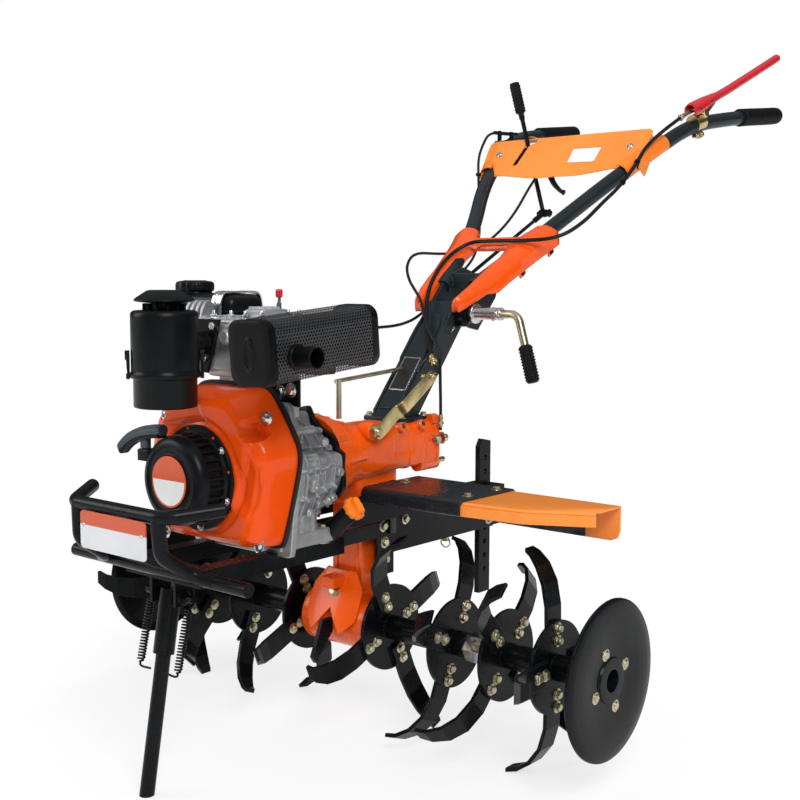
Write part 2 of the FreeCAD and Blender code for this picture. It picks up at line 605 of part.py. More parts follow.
frame_pieces = []
for side in ("", "-"):
    low, high = ("rail_gauge - rail_width / 2", "rail_gauge + rail_width / 2")
    if side:
        low, high = "-(%s)" % high, "-(%s)" % low
    frame_pieces.append(box((low, high), ("rail_front", "rail_rear"),
                            ("base_height - rail_height", "base_height")))
half_rail = "rail_gauge + rail_width / 2"
for low, high in (("rail_front", "rail_front + 24"), ("rail_rear - 24", "rail_rear")):
    frame_pieces.append(box(("-(%s)" % half_rail, half_rail), (low, high),
                            ("base_height - rail_height", "base_height")))
side_outline = [("rail_rear - 24", "base_height"), ("rail_rear - 24", "base_height - rail_height"),
                ("leg_rear - 48", "base_height - rail_height"), ("leg_rear - 42", "base_height - side_plate_depth"),
                ("leg_rear", "base_height - side_plate_depth"), ("leg_rear", "base_height")]
for low, high in (("side_plate_place", "side_plate_place + side_plate_thickness"),
                  ("-side_plate_place - side_plate_thickness", "-side_plate_place")):
    frame_pieces.append(plate("YZ_Plane", side_outline, low, high))
for place, drop in ((38, 7), (38, 40), (38, 74)):
    frame_pieces.append(rod(7, "2 * side_plate_place + 2 * side_plate_thickness + 8",
                            "-side_plate_place - side_plate_thickness - 4", place,
                            "base_height - %d" % drop, "x"))
sub_part("engine_frame", frame_pieces, [
    box(("-leg_half_width - seat_gap", "leg_half_width + seat_gap"), (-40, 90),
        ("base_height - 168", "base_height + 92"))])

bumper_lift = 10
front = Vector(0, -num("bumper_reach"), num("bumper_height"))
half = num("bumper_half_width")
bumper_points = [Vector(-half - 52, front.y + 74, front.z + bumper_lift),
                 Vector(-half, front.y, front.z), Vector(half, front.y, front.z),
                 Vector(half + 52, front.y + 74, front.z + bumper_lift)]
upper_bumper = solid_feature(swept(bumper_points, 34, num("bumper_radius")))
lower_y = "rail_front - bumper_radius"
lower_z = "base_height - lower_drop"
lower = Vector(0, num("rail_front") - num("bumper_radius"), num("base_height") - num("lower_drop"))
strut_points = [Vector(num("strut_place"), front.y, front.z), Vector(num("strut_place") + 2, front.y + 3, front.z - 58),
                Vector(num("strut_place") + 6, lower.y - 18, lower.z + 10),
                Vector(num("strut_place") + 42, lower.y, lower.z)]
struts = [solid_feature(swept(points, 26, num("bumper_radius"))) for points in (strut_points, mirrored(strut_points))]
sub_part("front_bumper", [upper_bumper, rod("bumper_radius", "2 * lower_half_width", "-lower_half_width",
                                            lower_y, lower_z, "x")] + struts)
sub_part("bumper_plate", [
    box(("-plate_half_width", "plate_half_width"),
        ("-bumper_reach - 12 - plate_thickness", "-bumper_reach - 12"),
        ("bumper_height - 24 - plate_height", "bumper_height - 24")),
    box((-20, 20), ("-bumper_reach - 12", "-bumper_reach - bumper_radius + 4"),
        ("bumper_height - 40", "bumper_height - 6"))],
    [rod("bumper_radius", 100, -50, "-bumper_reach", "bumper_height", "x")])

# stand: two ears under the front cross tube, a leg turning on a pin between them
ears = []
for low, high in (("-32", "-26"), ("26", "32")):
    ears.append(box((low, high), ("stand_place - 16", "stand_place + 22"),
                    ("stand_height - 14", "base_height - rail_height")))
sub_part("stand_bracket", ears, [
    rod("stand_pin_radius + running_clearance", 120, -60, "stand_place", "stand_height", "x"),
    rod("bumper_radius", 200, -100, lower_y, lower_z, "x")])
pivot = Vector(0, num("stand_place"), num("stand_height"))
foot = Vector(0, num("stand_foot_place"), num("stand_foot_drop"))
down = (foot - pivot).normalize()
leg_length = (foot - pivot).Length
leg = Part.makeCylinder(num("stand_tube_radius"), leg_length + 20, pivot, down)
leg = leg.cut(Part.makeBox(400, 400, 100, Vector(-200, foot.y - 200, -100)))
sleeve = Part.makeCylinder(num("stand_sleeve_radius"), 104, pivot - down * 10, down)
pin = Part.makeCylinder(num("stand_pin_radius"), 112, pivot - Vector(56, 0, 0), Vector(1, 0, 0))
sub_part("stand_leg", [solid_feature(leg.fuse([sleeve, pin]))])
spring_solids = []
for side in (-1, 1):
    top = pivot + Vector(side * 46, 0, 0) + down * 7
    spring_solids.append(Part.makeCylinder(7, 118, top, down))
    spring_solids.append(Part.makeCylinder(3, 46 - 12, top + down * 112 - Vector(side * 34, 0, 0),
                                           Vector(side, 0, 0)))
sub_part("stand_springs", [solid_feature(Part.makeCompound([
    spring_solids[0].fuse(spring_solids[1]), spring_solids[2].fuse(spring_solids[3])])
    .cut(leg.fuse(sleeve)))])

# ---------------------------------------------------------------- gear case and drive leg

sub_part("bell_plate", [plate("XZ_Plane", [
    ("bell_plate_radius * cos(%d)" % turn, "bell_plate_radius * sin(%d)" % turn)
    for turn in range(22, 360, 45)], 0, "bell_plate_thickness", 0, "case_front", "crank_height")])
sub_part("gear_case", [
    rod("bell_radius", "bell_length", 0, "case_front", "crank_height", "y"),
    cone("bell_radius - 4", "cone_end_radius", "cone_end - case_front", 0, "case_front",
         "crank_height", "y"),
    box(("-case_half_width", "case_half_width"), (40, "case_rear"), ("case_bottom", "case_top")),
    box(("-leg_half_width - 10", "leg_half_width + 10"), (-24, 90), ("leg_top", "crank_height + 5")),
    rod(14, 60, 44, "case_rear - 56", "case_bottom + 4", "y"),
    rod(16, 26, "case_half_width - 22", -6, "case_top - 7", "x"),
], [rod("8 + running_clearance", 60, "case_half_width - 20", -6, "case_top - 7", "x")])
sub_part("drive_leg", [
    plate("YZ_Plane", [("leg_front", "leg_top"), ("leg_front", 250), (-30, 215), (40, 205),
                       ("leg_rear", 260), ("leg_rear", "leg_top")],
          "-leg_half_width", "leg_half_width"),
    rod("bearing_radius", "2 * bearing_half_width", "-bearing_half_width", 0, "axle_height", "x")],
    [rod("axle_radius + running_clearance", "2 * bearing_half_width + 4", "-bearing_half_width - 2", 0,
         "axle_height", "x")])
shield_outline = [(-36, 0), (36, 0), (60, -34), (60, -92), (34, -120), (0, -72), (-34, -120), (-60, -92),
                  (-60, -34)]
sub_part("leg_shield", [plate("XY_Plane", shield_outline, 0, 4, 0, "leg_front - 12", "shield_height",
                              about=(1, 0, 0), angle=66),
                        box((-16, 16), ("leg_front - 14", "leg_front - seat_gap"),
                            ("shield_height - 18", "shield_height - 2"))])
sub_part("centre_blade", [plate("YZ_Plane", [("-bearing_radius - 0.4", 196), ("-bearing_radius - 0.4", 170),
                                             (-96, 120), (-104, 132), (-78, 196)], "-4", "4")])
arm_low = "case_half_width + 8"
sub_part("clutch_arm", [
    rod(12, 14, arm_low, -6, "case_top - 7", "x"),
    plate("YZ_Plane", [(-18, "case_top - 14"), (4, "case_top - 20"), (66, "case_top + 24"),
                       (138, "case_top + 74"), (150, "case_top + 92"), (132, "case_top + 92"),
                       (46, "case_top + 38"), (-14, "case_top + 6")],
          arm_low + " + 8", arm_low + " + 12"),
    rod(6, 14, arm_low + " + 6", 138, "case_top + 82", "x"),
    rod(8, 26, "case_half_width - 14", -6, "case_top - 7", "x")])
sub_part("shift_linkage", [
    rod(5, 72, 0, -30, "crank_height + 66.3"),
    rod(4, 188, -8, -30, "crank_height + 134", (1, 0, 0), -86)])

# ---------------------------------------------------------------- fenders and hitch


def fender(sign):
    """Inner fender of one side: a plate with a lip in front and a skirt behind."""
    flip = "" if sign > 0 else "-"

    def side(text):
        return "%s(%s)" % (flip, text)

    top = plate("XY_Plane", [(side("fender_inner"), "fender_front"), (side("fender_joint"), "fender_front"),
                             (side("fender_joint"), "fender_rear"), (side("fender_inner"), "fender_rear")],
                "fender_height - fender_thickness", "fender_height")
    ends = sorted([side("fender_inner"), side("fender_joint")], key=num)
    lip = box(ends, ("fender_front", "fender_front + fender_thickness"),
              ("fender_height - lip_depth", "fender_height"))
    skirt = box(ends, ("fender_rear - fender_thickness", "fender_rear"),
                ("fender_height - skirt_depth", "fender_height"))
    arm_ends = sorted([side("side_plate_place + side_plate_thickness"), side("fender_inner + 40")], key=num)
    arm = box(arm_ends, (20, 62), ("fender_height - 2 * fender_thickness", "fender_height - fender_thickness"))
    post_ends = sorted([side("side_plate_place + side_plate_thickness"),
                        side("side_plate_place + 2 * side_plate_thickness")], key=num)
    post = box(post_ends, (46, 62), ("base_height - 24", "fender_height - fender_thickness"))
    return fuse([top, lip, skirt, arm, post])


def extension(sign):
    """Outer fender of one side, bolted under the inner one and bent down at its outer end."""
    flip = "" if sign > 0 else "-"

    def side(text):
        return "%s(%s)" % (flip, text)

    level = "fender_height - fender_thickness - seat_gap"
    top = plate("XY_Plane", [(side("fender_joint - 24"), "fender_front + fender_thickness + 1"),
                             (side("fender_joint + 110"), "fender_front + 18"),
                             (side("fender_outer"), "fender_front + 74"),
                             (side("fender_outer"), "fender_rear - fender_thickness - 1"),
                             (side("fender_joint - 24"), "fender_rear - fender_thickness - 1")],
                level + " - fender_thickness", level)
    ends = sorted([side("fender_joint - 24"), side("fender_outer")], key=num)
    skirt = box(ends, ("fender_rear - 2 * fender_thickness - 1", "fender_rear - fender_thickness - 1"),
                (level + " - skirt_depth", level))
    return fuse([top, skirt])


sub_part("inner_fender_left", [fender(1)])
sub_part("inner_fender_right", [fender(-1)])
sub_part("outer_fender_left", [extension(1)])
sub_part("outer_fender_right", [extension(-1)])
hitch = []
for low, high in (("hitch_half_width", "hitch_half_width + hitch_plate"),
                  ("-hitch_half_width - hitch_plate", "-hitch_half_width")):
    hitch.append(box((low, high), ("leg_rear + seat_gap", "hitch_rear"), ("hitch_bottom", "hitch_top")))
hitch.append(box(("-hitch_half_width", "hitch_half_width"), ("leg_rear + seat_gap", "hitch_rear"),
                 ("hitch_top - hitch_plate", "hitch_top")))
hitch.append(box(("-hitch_half_width", "hitch_half_width"), ("hitch_pin_place - 40", "hitch_rear"),
                 ("hitch_bottom", "hitch_bottom + hitch_plate")))
hitch.append(box(("-hitch_half_width", "hitch_half_width"),
                 ("bar_place - bar_width / 2 - 14", "bar_place + bar_width / 2 + 10"),
                 ("hitch_bottom", "hitch_top")))
sub_part("hitch_bracket", hitch, [
    rod("hitch_pin_radius", "hitch_top - hitch_bottom + 20", 0, "hitch_pin_place", "hitch_bottom - 10"),
    box(("-bar_thickness / 2 - seat_gap", "bar_thickness / 2 + seat_gap"),
        ("bar_place - bar_width / 2 - seat_gap", "bar_place + bar_width / 2 + seat_gap"),
        ("hitch_bottom - 1", "hitch_top + 1"))])

bar_holes = [rod("bar_hole_radius", "bar_thickness + 4", "-bar_thickness / 2 - 2", "bar_place",
                 "bar_top - 40 - %d * bar_hole_pitch" % number, "x") for number in range(9)]
bar_body = plate("YZ_Plane", [
    ("bar_place - bar_width / 2", "bar_top - bar_length"), ("bar_place + bar_width / 2", "bar_top - bar_length"),
    ("bar_place + bar_width / 2", "bar_top - 6"), ("bar_place - bar_width / 2 + 10", "bar_top"),
    ("bar_place - bar_width / 2", "bar_top - 16")], "-bar_thickness / 2", "bar_thickness / 2")
sub_part("depth_bar", [bar_body], bar_holes)

# ---------------------------------------------------------------- rotor

sub_part("rotor_axle", [rod("axle_radius", "2 * coupling_place + coupling_length",
                            "-coupling_place - coupling_length / 2", 0, "axle_height", "x")])


def tine(reach, turn):
    """One tine as a loft along its bend: it rises from the flange and curls sideways.

    The bend lies in the plane of the root line and +X; the tip trails by tine_sweep.
    """
    top = num("tine_radius") - num("tine_thickness") / 2
    width = num("tine_width")
    tip = num("tine_tip_width")
    thickness = num("tine_thickness")
    sweep = num("tine_sweep")
    steps = [(num("drum_radius") + 14, 0.0, 0.0, width, 90), (top * 0.56, 0.02, 0.0, width, 90),
             (top * 0.76, 0.16, 0.12, width, 70), (top * 0.90, 0.42, 0.35, width * 0.92, 44),
             (top * 0.98, 0.74, 0.68, (width + 2 * tip) / 3, 18), (top, 1.0, 1.0, tip, 2)]
    wires = []
    for radius, bend, trail, wide, lean in steps:
        centre = Vector(bend * reach, trail * sweep, radius)
        across = Vector(0, 1, 0) * (wide / 2)
        lean_angle = math.radians(lean)
        normal = Vector(math.copysign(math.sin(lean_angle), reach), 0, -math.cos(lean_angle)) * (thickness / 2)
        if reach < 0:
            across = -across
        corners = [centre + across + normal, centre - across + normal,
                   centre - across - normal, centre + across - normal]
        wires.append(Part.makePolygon(corners + [corners[0]]))
    blade = Part.makeLoft(wires, True, True)
    blade.rotate(Vector(0, 0, 0), Vector(1, 0, 0), turn)
    return blade


def tine_section(side, places, reaches, orders, low, high):
    """Drum tube, flanges and tines of one section, fused into one solid."""
    axle = Vector(0, 0, num("axle_height"))
    bore = num("axle_radius")
    solid = Part.makeCylinder(num("drum_radius"), high - low, axle + Vector(low, 0, 0), Vector(1, 0, 0))
    count = int(num("tines_per_flange"))
    pieces = []
    for place, reach_pair, order in zip(places, reaches, orders):
        thick = num("flange_thickness")
        pieces.append(Part.makeCylinder(num("flange_radius"), thick,
                                        axle + Vector(side * place - thick / 2, 0, 0), Vector(1, 0, 0)))
        for number in range(count):
            root = 180 + num("blade_turn") * (order + 0.5) + number * 360.0 / count + num("tine_lag")
            blade = tine(side * reach_pair[number % 2], root)
            shift = math.copysign((num("flange_thickness") + num("tine_thickness")) / 2 - 0.5,
                                  side * reach_pair[number % 2])
            blade.translate(axle + Vector(side * place + shift, 0, 0))
            pieces.append(blade)
    whole = solid.fuse(pieces)
    return whole.cut(Part.makeCylinder(bore, high - low + 200, axle + Vector(low - 100, 0, 0), Vector(1, 0, 0)))


reach = num("tine_side_reach")
short = num("tine_short_reach")
for side, name in ((1, "left"), (-1, "right")):
    inner_ends = sorted([side * (num("bearing_half_width") + 3),
                         side * (num("coupling_place") - num("coupling_length") / 2)])
    sub_part("inner_tines_" + name, [solid_feature(tine_section(
        side, [num("flange_inner"), num("flange_second")], [(reach, -short), (reach, -reach)], [0, 2],
        *inner_ends))])
    outer_ends = sorted([side * (num("coupling_place") + num("coupling_length") / 2),
                         side * (num("rotor_half_width") - num("disc_hub_length"))])
    outer = tine_section(side, [num("flange_third"), num("flange_outer")],
                         [(reach, -reach), (reach, -reach)], [1, 3], *outer_ends)
    sub_part("outer_tines_" + name, [solid_feature(outer)])
    hex_low = side * num("coupling_place") - num("coupling_length") / 2
    corners = [Vector(hex_low, num("coupling_radius") * math.cos(math.radians(60 * step)),
                      num("axle_height") + num("coupling_radius") * math.sin(math.radians(60 * step)))
               for step in range(7)]
    hexagon = Part.Face(Part.makePolygon(corners)).extrude(Vector(num("coupling_length"), 0, 0))
    hexagon = hexagon.cut(Part.makeCylinder(num("axle_radius"), 200, Vector(
        side * num("coupling_place") - 100, 0, num("axle_height")), Vector(1, 0, 0)))
    sub_part("drum_coupling_" + name, [solid_feature(hexagon)])
    disc_low = "rotor_half_width - disc_thickness" if side > 0 else "-rotor_half_width"
    hub_low = "rotor_half_width - disc_hub_length" if side > 0 else "-rotor_half_width + disc_thickness"
    sub_part("end_disc_" + name, [
        rod("disc_radius", "disc_thickness", disc_low, 0, "axle_height", "x"),
        rod("disc_hub_radius", "disc_hub_length - disc_thickness", hub_low, 0, "axle_height", "x")])

# ---------------------------------------------------------------- steering column and handlebar

sub_part("handle_column", [plate("YZ_Plane", [
    ("column_front_foot", "case_top"), ("column_rear_foot", "case_top"),
    ("column_rear_head", "column_top"), ("column_front_head", "column_top")],
    "-column_half_width", "column_half_width")],
    [rod("hinge_bolt_radius + running_clearance", 200, -100, "hinge_place", "hinge_height", "x")])

fork_outline = [("hinge_place - 22", "hinge_height - 14"), ("hinge_place + 18", "hinge_height - 30"),
                ("hinge_place + 44", "hinge_height - 35"), ("hinge_place + 104", "hinge_height + 30"),
                ("hinge_place + 124", "hinge_height + 84"), ("hinge_place + 96", "hinge_height + 92"),
                ("hinge_place + 40", "hinge_height + 74"), ("hinge_place - 22", "hinge_height + 6")]
fork = []
inner = num("column_half_width") + num("fork_gap")
for low, high in (("column_half_width + fork_gap", "column_half_width + fork_gap + fork_plate"),
                  ("-column_half_width - fork_gap - fork_plate", "-column_half_width - fork_gap")):
    fork.append(plate("YZ_Plane", fork_outline, low, high))
fork.append(box(("-column_half_width - fork_gap", "column_half_width + fork_gap"),
                ("hinge_place + 50", "hinge_place + 74"), ("hinge_height + 48", "hinge_height + 80")))


def at_hinge(x, back, up):
    """A point given from the middle of the handlebar's hinge."""
    return Vector(x, num("hinge_place") + back, num("hinge_height") + up)


left_route = [at_hinge(inner + 4, 30, 52), at_hinge(94, 203, 163), at_hinge(178, 363, 292),
              at_hinge(240, 564, 410), at_hinge(272, 708, 436), at_hinge(281, 889, 459)]
left_tube = swept(left_route, None, num("tube_radius"))
right_tube = swept(mirrored(left_route), None, num("tube_radius"))
tubes = [solid_feature(left_tube), solid_feature(right_tube)]
sub_part("handlebar_tubes", fork + tubes,
         [rod("hinge_bolt_radius", 200, -100, "hinge_place", "hinge_height", "x")])
grips = []
for points, tube in ((left_route, left_tube), (mirrored(left_route), right_tube)):
    way = (points[-1] - points[-2]).normalize()
    start = points[-1] + way * 32 - way * num("grip_length")
    grip = Part.makeCylinder(num("grip_radius"), num("grip_length"), start, way)
    grips.append(grip.cut(tube))
sub_part("hand_grips", [solid_feature(Part.makeCompound(grips))])

panel_place = {"y": "hinge_place + 389", "z": "hinge_height + 307", "about": (1, 0, 0),
               "angle": "panel_slope"}
panel_outline = [(-211, -4), (-150, 0), (-60, -12), (60, -12), (150, 0), (211, -4), (214, 84), (204, 98),
                 (-204, 98), (-214, 84)]
panel = plate("XY_Plane", panel_outline, 0, "panel_thickness", **panel_place)
panel_ends = [plate("XY_Plane", [(x, -4), (x + 3, -4), (x + 3 + lean, 84), (x + lean, 84)],
                    "-panel_fold", 0, **panel_place) for x, lean in ((208, 3), (-211, -3))]
window = plate("XY_Plane", [(20, 22), (92, 20), (100, 61), (24, 62)], -5, 8, **panel_place)
slot = plate("XY_Plane", [(-128, 24), (-114, 24), (-98, 80), (-80, 86), (-80, 97), (-98, 105), (-119.7, 105), (-111.3, 80)],
             -5, 8, **panel_place)
tube_gap = num("tube_radius") + num("seat_gap")
tube_holes = [solid_feature(swept(route, None, tube_gap)) for route in (left_route, mirrored(left_route))]
sub_part("control_panel", [panel] + panel_ends, [window, slot] + tube_holes)

# one moulded cover over both tubes: two arms and a bridge between them
half_cover = [(28, -84), (58, -80), (80, -30), (95, 60), (113, 130), (131, 190), (121, 214), (78, 214),
              (56, 172)]
half_bay = [(48, 134), (54, 86), (46, 47), (44, 0), (43, -40), (38, -84)]
cover_outline = ([half_bay[-1]] + half_cover[1:] + [(-x, y) for x, y in reversed(half_cover[1:])]
                 + [(-x, y) for x, y in reversed(half_bay)] + half_bay[:-1])


def inset(outline, wall):
    """The outline moved inwards by a wall, for corners that run anticlockwise."""
    moved = []
    count = len(outline)
    for number in range(count):
        before, corner, after = (Vector(*outline[(number + step) % count], 0) for step in (-1, 0, 1))
        first = (corner - before).normalize()
        second = (after - corner).normalize()
        inwards = Vector(-first.y - second.y, first.x + second.x, 0).normalize()
        side = Vector(-first.y, first.x, 0)
        moved.append(tuple((corner + inwards * (wall / inwards.dot(side)))[:2]))
    return moved


cover_place = {"y": "hinge_place + 30", "z": "hinge_height + 52", "about": (1, 0, 0), "angle": "cover_slope"}
cover = plate("XY_Plane", cover_outline, "cover_lift - cover_depth", "cover_lift", **cover_place)
hollow = plate("XY_Plane", inset(cover_outline, num("cover_wall")), "cover_lift - cover_depth - 1",
               "cover_lift - cover_wall", **cover_place)
tabs = [plate("XY_Plane", [(x, y), (x + 4, y), (x + 4, y + 20), (x, y + 20)],
              "cover_lift - cover_skirt - 8", "cover_lift - cover_skirt + 6", **cover_place)
        for x, y in ((95.5, 78), (-99.5, 78), (118, 160), (-122, 160))]
half_skirt = [(83, -10), (95, 60), (113, 130), (131, 190), (121, 214), (117, 214), (127, 190), (109, 130), (91, 60),
              (79, -10)]
skirts = [plate("XY_Plane", outline, "cover_lift - cover_skirt", "cover_lift - cover_wall", **cover_place)
          for outline in (half_skirt, [(-x, y) for x, y in half_skirt])]
sub_part("tube_covers", [cut(cover, [hollow])] + tabs + skirts, tube_holes)

crank_axis = at_hinge(0, 0, 0)
crank_route = [crank_axis - Vector(46, 0, 0), crank_axis + Vector(168, 0, 0),
               crank_axis + Vector(205, -4, -118)]
crank = swept(crank_route, 22, num("hinge_bolt_radius"))
crank_way = (crank_route[2] - crank_route[1]).normalize()
crank_grip = Part.makeCylinder(14, 74, crank_route[2] - crank_way * 62, crank_way)
nut = Part.makeCylinder(16, 10, crank_axis + Vector(inner + 7, 0, 0), Vector(1, 0, 0))
sub_part("hinge_crank", [solid_feature(crank.fuse(nut).cut(crank_grip))])
sub_part("crank_grip", [solid_feature(crank_grip)])

# shift lever through the panel's slot, its joint and the rod down to the hinge
lever_top = at_hinge(-148, 436, 521)
lever_joint = at_hinge(-62, 435, 220)
lever_way = (lever_joint - lever_top).normalize()
shift_stick = Part.makeCylinder(5, (lever_joint - lever_top).Length, lever_top, lever_way)
shift_grip = Part.makeCylinder(12, 74, lever_top - lever_way * 2, lever_way)
shift_rod_end = at_hinge(-56, 12, 10)
shift_rod = Part.makeCylinder(4, (shift_rod_end - lever_joint).Length, lever_joint,
                              (shift_rod_end - lever_joint).normalize())
knuckle = Part.makeSphere(9, lever_joint)
pin_place = lever_top + lever_way * 160
shift_pin = Part.makeCylinder(4, 30, pin_place, Vector(1, 0, 0))
sub_part("shift_lever", [solid_feature(shift_stick.fuse([shift_grip, shift_rod, knuckle, shift_pin]))])

# reverse lever hooked under the panel
reverse_points = [at_hinge(-46, 418, 341), at_hinge(-20, 406, 290), at_hinge(14, 400, 262)]
sub_part("reverse_lever", [solid_feature(swept(reverse_points, 30, 6))])

# clutch lever: hood, bar and the clamp on the left tube
lever_points = [at_hinge(258, 520, 432), at_hinge(272, 700, 506), at_hinge(283, 918, 600)]
lever = swept(lever_points, 60, 9.5)
hood_way = (lever_points[1] - lever_points[0]).normalize()
hood = Part.makeCone(17, 12, 96, lever_points[0], hood_way)
clamp_way = (left_route[4] - left_route[3]).normalize()
clamp_place = left_route[3] + clamp_way * 6
clamp = Part.makeCylinder(num("tube_radius") + 5, 26, clamp_place, clamp_way)
ear = Part.makeBox(8, 26, 46, clamp_place + Vector(8, -14, 6))
lever_solid = lever.fuse([hood, clamp, ear]).cut(swept(left_route, None, num("tube_radius") + 0.05))
sub_part("clutch_lever", [solid_feature(lever_solid)])

# cables, each a tube along its whole run
cable = num("cable_radius")
clutch_run = [at_hinge(258, 519.7, 431.8), at_hinge(254.8, 478, 415), at_hinge(216, 408, 356),
              at_hinge(209, 374, 310), at_hinge(196, 330, 262), at_hinge(200, 253, 224), at_hinge(194, 190, 181),
              at_hinge(168, 142, 151), at_hinge(110, 126, 146), at_hinge(8, 128, 147),
              at_hinge(-42, 126, 146), at_hinge(-66, 89, 120), at_hinge(-55, 29, 84),
              at_hinge(-30, -28, 48), at_hinge(-18, -52, 8), at_hinge(20, -92, -48),
              at_hinge(62, -130, -88), at_hinge(78, -136, -112)]
sub_part("clutch_cable", [solid_feature(swept(clutch_run, None, cable))])
throttle_run = [at_hinge(-224, 470, 418), at_hinge(-222, 440, 414), at_hinge(-215, 408, 388),
                at_hinge(-212, 384, 352), at_hinge(-210.8, 383.2, 310), at_hinge(-196, 366, 262),
                at_hinge(-176, 344, 212), at_hinge(-168, 330, 150), at_hinge(-140, 260, 100),
                at_hinge(-100, 120, 56), at_hinge(-70, 20, 6), at_hinge(-62, -60, -24),
                at_hinge(-56, -180, -28), at_hinge(-50, -330, -26), at_hinge(-50, -420, -22)]
sub_part("throttle_cable", [solid_feature(swept(throttle_run, None, cable - 1))])
reverse_run = [at_hinge(-41.6, 412.6, 318), at_hinge(-62, 410, 314), at_hinge(-78, 320, 190), at_hinge(-112, 232, 126),
               at_hinge(-145, 150, 122), at_hinge(-140, 60, 124), at_hinge(-134, 26, 96),
               at_hinge(-105, 0, 66), at_hinge(-66, -28, 46), at_hinge(-26, -58, 27),
               at_hinge(-3, -75, -3), at_hinge(31, -101, -35), at_hinge(66, -112, -66),
               at_hinge(70, -116, -130), at_hinge(70, -114, -170), at_hinge(70, -114, -222)]
sub_part("reverse_cable", [solid_feature(swept(reverse_run, None, cable - 1))])

doc.recompute()

broken = [item.Label for item in doc.Objects if "Invalid" in item.State or "Error" in item.State]
assert not broken, broken
os.makedirs("parts", exist_ok=True)
for whole in parts_made:
    shape = whole.Shape
    assert not shape.isNull() and shape.isValid(), whole.Label
    shape.exportStep("parts/%s.step" % whole.Label)
    print("%-22s solids %2d volume %10.0f" % (whole.Label, len(shape.Solids), shape.Volume))
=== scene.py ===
"""Finishes, fasteners, controls, cables and stage for a walk-behind rotary tiller."""

import json
import math

import bmesh
import bpy
import numpy as np
from mathutils import Matrix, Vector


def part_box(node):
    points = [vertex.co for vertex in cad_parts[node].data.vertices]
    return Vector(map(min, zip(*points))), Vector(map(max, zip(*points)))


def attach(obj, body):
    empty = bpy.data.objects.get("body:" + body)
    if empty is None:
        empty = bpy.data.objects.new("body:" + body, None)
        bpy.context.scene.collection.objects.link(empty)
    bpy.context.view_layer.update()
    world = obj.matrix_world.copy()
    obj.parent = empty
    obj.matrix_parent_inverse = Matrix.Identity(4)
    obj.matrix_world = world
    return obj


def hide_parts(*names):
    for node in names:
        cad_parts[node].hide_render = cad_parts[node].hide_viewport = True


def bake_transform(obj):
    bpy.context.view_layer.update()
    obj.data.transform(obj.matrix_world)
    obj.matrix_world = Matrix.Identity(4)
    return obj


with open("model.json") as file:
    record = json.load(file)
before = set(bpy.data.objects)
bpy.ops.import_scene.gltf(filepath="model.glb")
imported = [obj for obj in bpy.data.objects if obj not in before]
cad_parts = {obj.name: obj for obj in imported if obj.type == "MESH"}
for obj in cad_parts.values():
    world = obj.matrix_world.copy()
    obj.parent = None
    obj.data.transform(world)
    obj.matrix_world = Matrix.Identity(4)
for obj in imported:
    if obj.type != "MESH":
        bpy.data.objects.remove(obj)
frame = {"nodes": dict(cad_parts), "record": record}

bl_info = {"name": "Rotary tiller dressing", "version": (1, 0, 0), "blender": (4, 5, 0),
           "location": "3D View > Sidebar > Tiller",
           "description": "Paints a walk-behind rotary tiller and adds its fasteners, controls and cables",
           "category": "Object",}


# ------------------------------------------------------------ places and shapes

def span(node):
    """The lowest and highest corners of a fixed part, as two arrays in metres."""
    low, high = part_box(node)
    return np.array(low), np.array(high)


AXLE_LOW, AXLE_HIGH = span("rotor_axle")
AXLE_Y = float(AXLE_LOW[1] + AXLE_HIGH[1]) / 2
AXLE_Z = float(AXLE_LOW[2] + AXLE_HIGH[2]) / 2
BELL_LOW, BELL_HIGH = span("bell_plate")
CRANK_Z = float(BELL_LOW[2] + BELL_HIGH[2]) / 2
HINGE = np.array([0.0, AXLE_Y + 0.296, CRANK_Z + 0.253])
AXLE, CRANK = AXLE_Z * 1000, CRANK_Z * 1000
X, Y, Z, AHEAD = (1, 0, 0), (0, 1, 0), (0, 0, 1), (0, -1, 0)
SIDES = ((1, "left"), (-1, "right"))


def extent(node):
    """The lowest and highest corners of a fixed part, in the machine's millimetres."""
    low, high = span(node)
    return (low - (0, AXLE_Y, 0)) * 1000, (high - (0, AXLE_Y, 0)) * 1000


def at(*place):
    """Millimetres from the mid-plane, the rotor's axle and the ground, as metres in the row frame."""
    return np.asarray(place if len(place) > 1 else place[0], float) / 1000 + (0, AXLE_Y, 0)


def at_hinge(x, back, up):
    """Millimetres from the middle of the handlebar's hinge, as metres in the row frame."""
    return HINGE + np.array([x, back, up], float) / 1000


def unit(vector):
    """The vector or vectors at length 1."""
    vector = np.asarray(vector, float)
    return vector / np.linalg.norm(vector, axis=-1, keepdims=True)


def step(value, low, high):
    """0 below low, 1 above high, and between them t * t * (3 - 2t)."""
    t = np.clip((np.asarray(value, float) - low) / (high - low), 0, 1)
    return t * t * (3 - 2 * t)


def hump(value, centre, half, soft):
    """1 within half of centre, falling smoothly to 0 over soft on each side."""
    return 1 - step(np.abs(np.asarray(value, float) - centre), half, half + soft)


def quads(rows, columns, wrap=False):
    """Four-cornered faces between the neighbours of a grid; wrap joins its last column to its first."""
    across = columns if wrap else columns - 1
    row, column = np.meshgrid(np.arange(rows - 1), np.arange(across), indexing="ij")
    after = (column + 1) % columns
    low, high = row * columns, (row + 1) * columns
    return np.stack([low + column, low + after, high + after, high + column], -1).reshape(-1, 4).tolist()


def skin(points, wrap=False):
    """A shell over a grid of points: (rows, columns, 3)."""
    rows, columns = points.shape[:2]
    return points.reshape(-1, 3), quads(rows, columns, wrap)


def capped(points):
    """A shell over closed rings of points, with a flat face over its first and last ring."""
    rows, columns = points.shape[:2]
    faces = quads(rows, columns, True)
    faces.append(list(range(columns))[::-1])
    faces.append(list(range((rows - 1) * columns, rows * columns)))
    return points.reshape(-1, 3), faces


